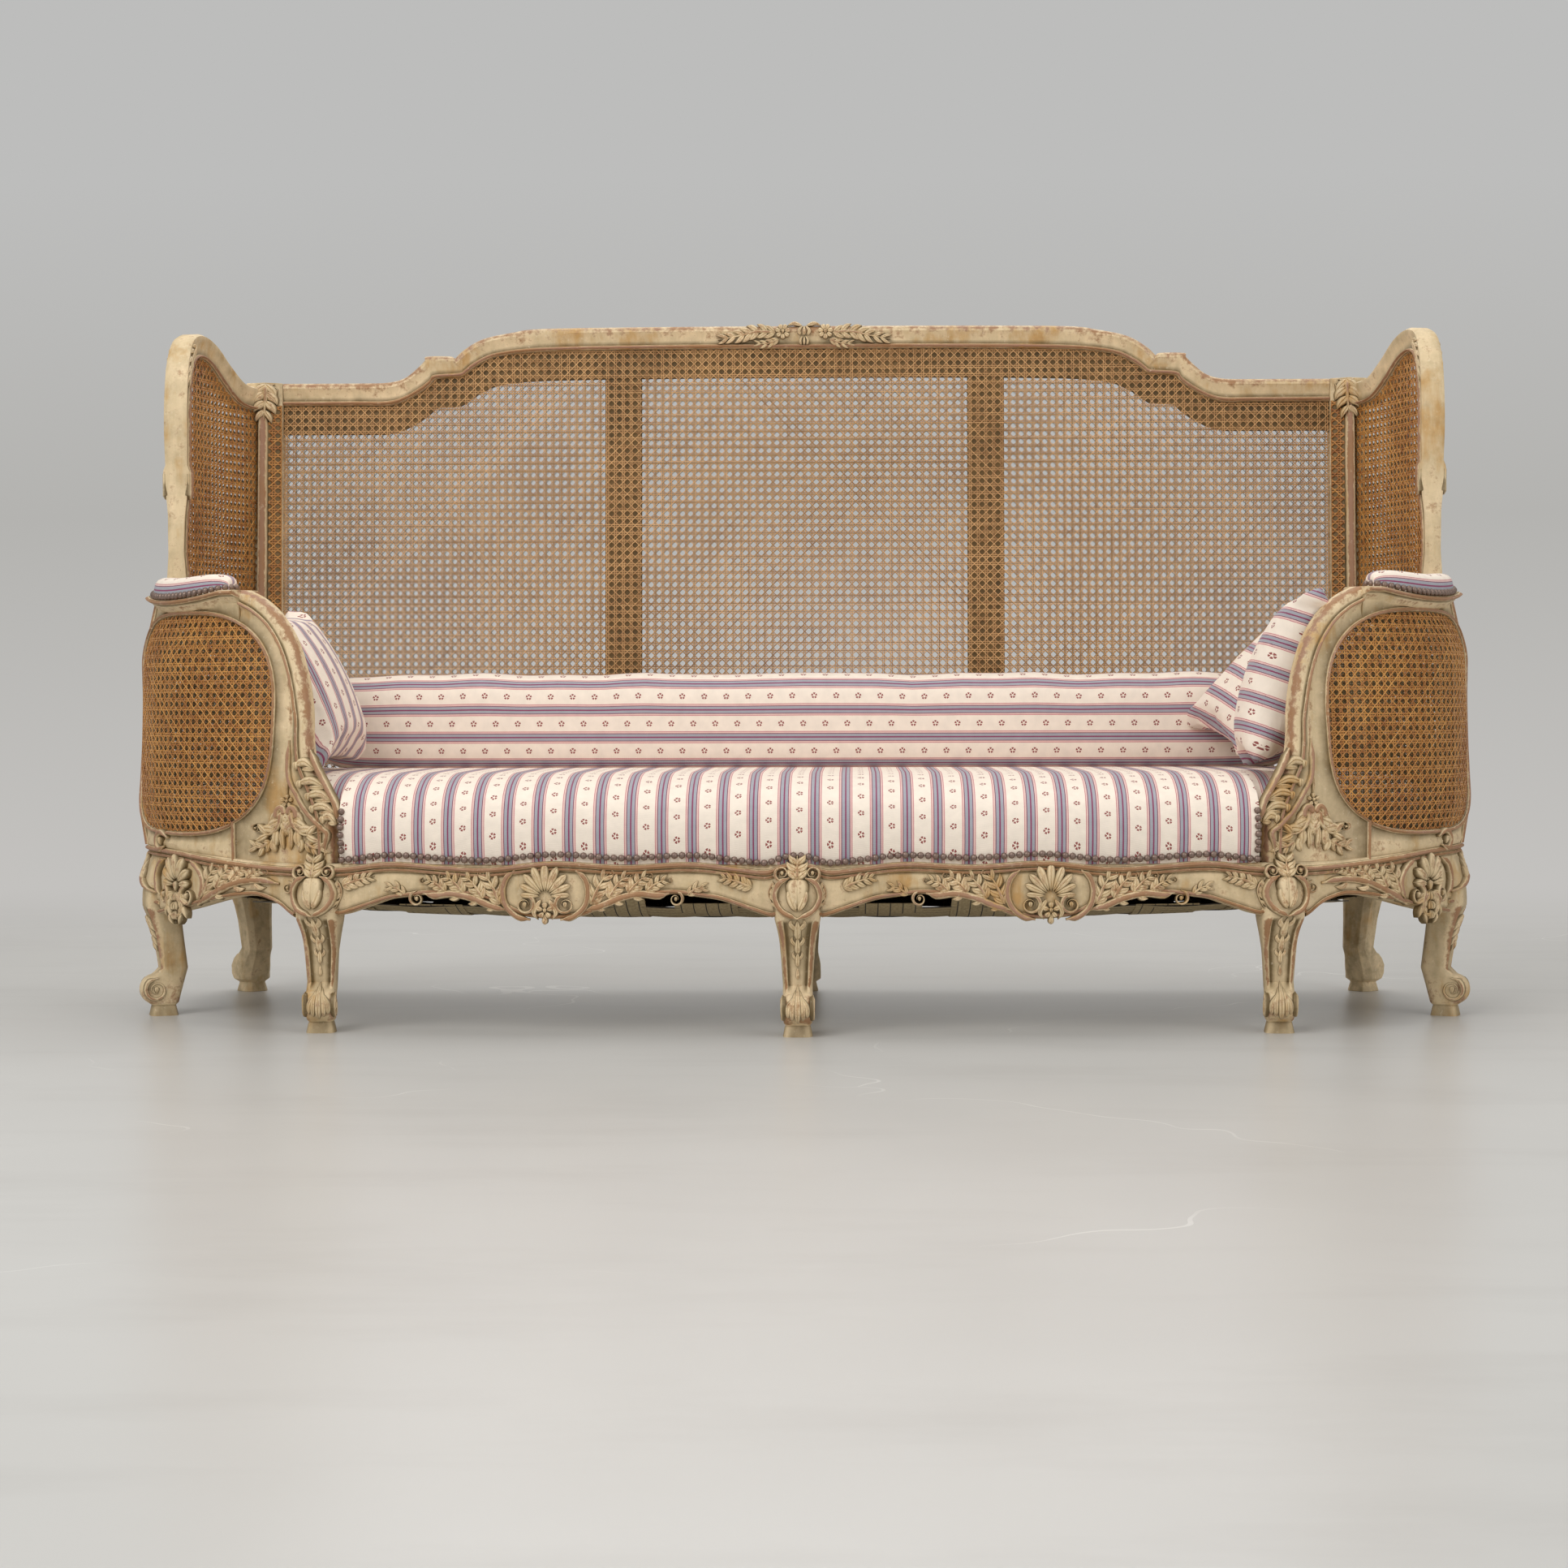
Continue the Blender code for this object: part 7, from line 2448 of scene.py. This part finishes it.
    def _arm_foot(self) -> Shell:
        """Carve the spray at the foot of an arm's post and the leaf up its edge."""
        def at(*path: float) -> list[float]:
            """Return a path whose places are given as distances from the sofa's middle."""
            return [FORM.where(0, value / MM) * MM if k % 2 == 0 else value for k, value in enumerate(path)]
        foot = FORM.where(0, self.spray_across)
        cut = Carver(FORM.arm_wall, 0.0105).stand(foot)
        cut.flower((0, 352), 10.5, 5, 9, 1)
        cut.stroke((0, 358, 1, 370, 0, 388), 9, 8, DROP)
        for sign in (-1, 1):
            cut.stand(foot, sign).acanthus((7, 338, 13, 314, 30, 301, 52, 306), 38, 4, 11, lift=1)
            cut.stroke((2, 330, 7, 342, 15, 338, 18, 324), 11, 11, BAND, 2, 18)
            cut.stroke((3, 326, 8, 302, 6, 278), 13, 11, DROP, 1)
            cut.stroke((15, 300, 24, 288, 20, 274), 17, 10, DROP, 1)
            cut.acanthus((30, 290, 46, 281, 68, 283), 22, 3, 7.5)
            cut.volute((54, 310), 8.5, 1.1, -1, 10, 1)
        # the bead that parts the spray from the leaf on the post's edge
        cut.stand(0).stroke(at(772, 445, 771, 390, 757, 360, 743, 336, 721, 313, 710, 303, 713, 288, 715, 270),
                            9, 10, BAND, 1, 44)
        # five thick lobes curl back from the post's edge
        for x, z, tip_x, tip_z in ((730, 401, 759, 408), (713, 373, 753, 380), (703, 353, 740, 361),
                                   (698, 334, 733, 342), (696, 319, 717, 326)):
            bend_x, bend_z = (x + tip_x) / 2, (z + tip_z) / 2 + 7.5
            cut.stroke(at(x, z, bend_x, bend_z, tip_x, tip_z), 19, 12.5, DROP, 2, 14)
            cut.stroke(at(x, z, bend_x, bend_z - 11, tip_x - 7, tip_z - 9), 10, 8.5, LEAF, 1)
            cut.boss(at(tip_x, tip_z - 2), 6.8, 12, 3)
        cut.stroke(at(738, 430, 725, 400, 709, 370, 698, 348, 693, 320), 11, 11, BAND, 1, 26)
        # the looped cabochon under the oval
        cut.stand(FORM.oval_centre + 0.04)
        cut.stroke((-24, 290, -10, 299, 6, 293, 13, 280, 4, 271, -10, 276), 9, 8, BAND, 3, 22)
        cut.boss((0, 284), 7, 8.5, 3)
        return cut.shell

    def _wing(self) -> Shell:
        """Carve the husk on a wing's top, the block at its notch and the stile's capital."""
        inner, outer = WingFrames(self.paint).edges()
        line = (inner * 0.42 + outer * 0.58) * MM
        top, notch = int(np.argmax(line[:, 1])), int(np.argmin(np.abs(line[:, 1] - 870)))
        shell = Shell()
        for sign in (-1, 1):
            def face(place: Array, height: Array, depth: Array, way: int = sign) -> Array:
                """Return points on one face of the wing."""
                return FORM.wall(place, height, way * depth)
            cut = Carver(face, 0.0165)
            cut.acanthus(line[top - 13:top - 3][::-1], 22, 5, 4.5)
            cut.stroke(line[notch - 4:notch + 2], 30, 6, BAND, 2, 10)
            shell.merge(cut.shell)
        cut = Carver(FORM.stile, 0.0008).stand(self.stile_across)
        cut.stroke((-1, 1040, 0, 850, 1, 700, 2, 560), 16.5, 8, BAND, 0, 60)
        cut.acanthus((-6, 1054, -5, 1025, -2, 990), 36, 4, 11, lift=3)
        for sign in (-1, 1):
            cut.volute((sign * 12 - 6, 1046), 10.5, 1.2, sign, 10, 2)
        shell.merge(cut.shell)
        return shell

    def _crest(self) -> Shell:
        """Carve two rosettes and their leaves on the middle of the crest."""
        cut = Carver(FORM.back, 0.0155)
        for sign in (-1, 1):
            cut.stand(0, sign).flower((37, 1144), 13.5, 7, 8, 2)
            cut.acanthus((50, 1142, 80, 1144, 112, 1137, 150, 1130), 24, 7, 7)
            cut.acanthus((44, 1130, 66, 1123, 88, 1124), 14, 4, 5.5)
            cut.stroke((4, 1154, 18, 1158, 30, 1154), 8, 6)
        cut.stand(0).husks((0, 1154), 34, 2, 24, 7, 2)
        return cut.shell


def dress_cad_nodes(finishes: Finishes) -> None:
    """Give the CAD nodes that stay in view their finishes and softened edges.

    Args:
        finishes: The sofa's materials.
    """
    for name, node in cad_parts.items():
        if node.hide_render:
            continue
        lining = name.startswith(("back_muntin", "back_top_lining"))
        cloth = name.startswith("spring_cloth")
        material = finishes.lining if lining else finishes.jute if cloth else finishes.plain_paint
        node.data.materials.clear()
        node.data.materials.append(material)
        weld = node.modifiers.new("weld", "WELD")
        weld.merge_threshold = 0.00002
        ease = node.modifiers.new("eased edges", "BEVEL")
        ease.width = 0.0012
        ease.segments = 2
        ease.limit_method = "ANGLE"
        ease.angle_limit = math.radians(32)
        LOG.info("%s keeps its CAD form", name)


@dataclass
class Studio:
    """The camera, the floor and backdrop, and the lamps."""

    focal: float = 3600 / 1932 * 36
    station: tuple = (0.083, -4.776, 0.505)
    yaw: float = math.radians(-1.348)
    pitch: float = math.radians(1.656)
    roll: float = math.radians(-0.14)
    cove_start: float = 3.2
    cove: float = 1.6
    paper_light: str = "D0CEC9"
    paper_dark: str = "C4C2BD"
    scuff: str = "A7A39D"
    scratch: str = "E4E2DD"
    # painted light on the backdrop: low, halfway and high
    backdrop_low: str = "C3C1BE"
    backdrop_middle: str = "B4B3B0"
    backdrop_high: str = "BDBDBC"
    lamps: tuple = (
        ("key", (-2.2, -3.4, 3.4), 3.2, 118.0), ("fill", (3.2, -3.2, 2.2), 3.0, 48.0),
        ("top", (0.3, 0.6, 3.8), 3.6, 60.0), ("back", (0.0, 3.6, 2.6), 3.0, 30.0))

    def build(self) -> None:
        """Set up the whole studio."""
        self._camera()
        self._ground()
        self._lamps()
        bpy.context.scene.view_settings.view_transform = "Standard"

    def _camera(self) -> None:
        """Place the camera where the photograph was taken from."""
        lens = bpy.data.cameras.new("camera")
        lens.sensor_width = 36
        lens.lens = self.focal
        camera = bpy.data.objects.new("camera", lens)
        bpy.context.scene.collection.objects.link(camera)
        ahead = Vector((math.sin(self.yaw), math.cos(self.yaw), 0))
        right = Vector((math.cos(self.yaw), -math.sin(self.yaw), 0))
        up = Vector((0, 0, 1))
        view = ahead * math.cos(self.pitch) - up * math.sin(self.pitch)
        rise = ahead * math.sin(self.pitch) + up * math.cos(self.pitch)
        level = right * math.cos(self.roll) + rise * math.sin(self.roll)
        crown = rise * math.cos(self.roll) - right * math.sin(self.roll)
        turn = Matrix((level, crown, -view)).transposed().to_4x4()
        camera.matrix_world = Matrix.Translation(Vector(self.station) + Vector((0, FORM.shift, 0))) @ turn
        bpy.context.scene.camera = camera

    def _ground(self) -> None:
        """Hang one seamless sheet of grey paper that curves from the floor up behind the sofa."""
        paper = bpy.data.materials.new("seamless_grey_paper")
        paper.use_nodes = True
        tree = paper.node_tree
        shader = tree.nodes["Principled BSDF"]
        place = add_node(tree, "TexCoord", out="Object")
        axes = add_node(tree, "SeparateXYZ", (place,), out=None)
        scuffs = add_node(tree, "TexNoise", {"Vector": place, "Scale": 2.2, "Detail": 6.0})
        colour = add_node(tree, "Mix", {"Factor": scuffs, 6: linear(self.paper_dark), 7: linear(self.paper_light)},
                          2, data_type="RGBA")
        drag = add_node(tree, "Mapping", {"Vector": place, "Scale": (1.5, 5.0, 1.0)})
        dull = add_node(tree, "MapRange",
                        (add_node(tree, "TexNoise",
                                  {"Vector": drag, "Scale": 1.0, "Detail": 9.0, "Roughness": 0.62}), 0.5, 0.8, 0.0,
                         0.3))
        colour = add_node(tree, "Mix", {"Factor": dull, 6: colour, 7: linear(self.scuff)}, 2, data_type="RGBA")
        # a few long pale scratches where furniture was dragged
        cells = add_node(tree, "TexVoronoi",
                         {"Vector": add_node(tree, "VectorMath",
                                             (place,
                                              add_node(tree, "TexNoise",
                                                       { "Vector": place, "Scale": 1.4, "Detail": 3.0}, 1)),
                                             operation="ADD"), "Scale": 0.8}, "Distance", feature="DISTANCE_TO_EDGE")
        thin = add_node(tree, "Math", (cells, 0.0016), operation="LESS_THAN")
        thin = add_node(tree, "Math", (thin, add_node(tree, "MapRange", (scuffs, 0.5, 0.6, 0.0, 0.8))),
                        operation="MULTIPLY")
        colour = add_node(tree, "Mix", {"Factor": thin, 6: colour, 7: linear(self.scratch)}, 2, data_type="RGBA")
        tree.links.new(colour, shader.inputs["Base Color"])
        shader.inputs["Roughness"].default_value = 0.32
        # behind the sofa camera and glossy rays see a painted glow in place of the lit paper, palest low down and
        # darkest halfway up
        share = add_node(tree, "MapRange", (axes.outputs[2], 0.0, 2.2))
        tones = add_node(tree, "ValToRGB", {"Fac": share}, out=None)
        tones.color_ramp.elements[0].color = linear(self.backdrop_low)
        tones.color_ramp.elements[1].color = linear(self.backdrop_high)
        tones.color_ramp.elements.new(0.5).color = linear(self.backdrop_middle)
        tone = tones.outputs[0]
        painted_backdrop_glow = add_node(tree, "Emission", {"Color": tone, "Strength": 1.0})
        rays = add_node(tree, "LightPath", out=None)
        seen = add_node(tree, "Math", (rays.outputs["Is Camera Ray"], rays.outputs["Is Glossy Ray"]),
                        operation="MAXIMUM")
        far = add_node(tree, "MapRange", {"Value": axes.outputs[1], "From Min": 0.7, "From Max": self.cove_start},
                       interpolation_type="SMOOTHSTEP")
        far = add_node(tree, "Math", (far, seen), operation="MULTIPLY")
        mixed = add_node(tree, "MixShader", (far, shader.outputs[0], painted_backdrop_glow))
        # a view from behind looks through the paper's back
        back = add_node(tree, "NewGeometry", out="Backfacing")
        clear = add_node(tree, "BsdfTransparent")
        mixed = add_node(tree, "MixShader", (back, mixed, clear))
        tree.links.new(mixed, tree.nodes["Material Output"].inputs[0])
        turn = np.linspace(0, math.pi / 2, 25)
        side = np.concatenate([[(-8.0, 0.0)],
                               np.stack([self.cove_start + self.cove * np.sin(turn), self.cove * (1 - np.cos(turn))],
                                        1), [(self.cove_start + self.cove, 7.0)]])
        points = [(x, y, z) for y, z in side for x in (-9.0, 9.0)]
        faces = [(2 * k, 2 * k + 1, 2 * k + 3, 2 * k + 2) for k in range(len(side) - 1)]
        mesh = bpy.data.meshes.new("studio_paper")
        mesh.from_pydata(points, [], faces)
        mesh.materials.append(paper)
        mesh.shade_smooth()
        sheet = bpy.data.objects.new("studio_paper", mesh)
        bpy.context.scene.collection.objects.link(sheet)

    def _lamps(self) -> None:
        """Hang the soft lamps and set the room's own light."""
        for name, spot, size, power in self.lamps:
            light = bpy.data.lights.new(name, "AREA")
            light.energy = power
            light.size = size
            lamp = bpy.data.objects.new(name, light)
            lamp.location = spot
            lamp.rotation_euler = (Vector((0, 0, 0.45)) - Vector(spot)).to_track_quat("-Z", "Y").to_euler()
            bpy.context.scene.collection.objects.link(lamp)
        room = bpy.data.worlds.new("room")
        room.use_nodes = True
        room.node_tree.nodes["Background"].inputs[0].default_value = (0.62, 0.62, 0.62, 1)
        room.node_tree.nodes["Background"].inputs[1].default_value = 0.62
        bpy.context.scene.world = room


def main() -> None:
    """Build the dressed sofa and its studio."""
    finishes = Finishes.make()
    seat = SeatFrame(finishes.paint)
    seat.build()
    ArmFrames(finishes.paint).build()
    wings = WingFrames(finishes.paint)
    wings.build()
    crest = CrestRail(finishes.paint)
    crest.build()
    CaneWork(finishes.cane, finishes.back_cane, finishes.old_cane, finishes.lining, wings.edges()[0],
             crest.edges()[0]).build()
    Upholstery(finishes.cotton, finishes.bronze).build()
    LooseCushions(finishes.cotton).build()
    Underside(finishes.jute, finishes.steel).build()
    Carving(finishes.paint, seat).build()
    dress_cad_nodes(finishes)
    Studio().build()


if __name__ == "__main__":
    main()
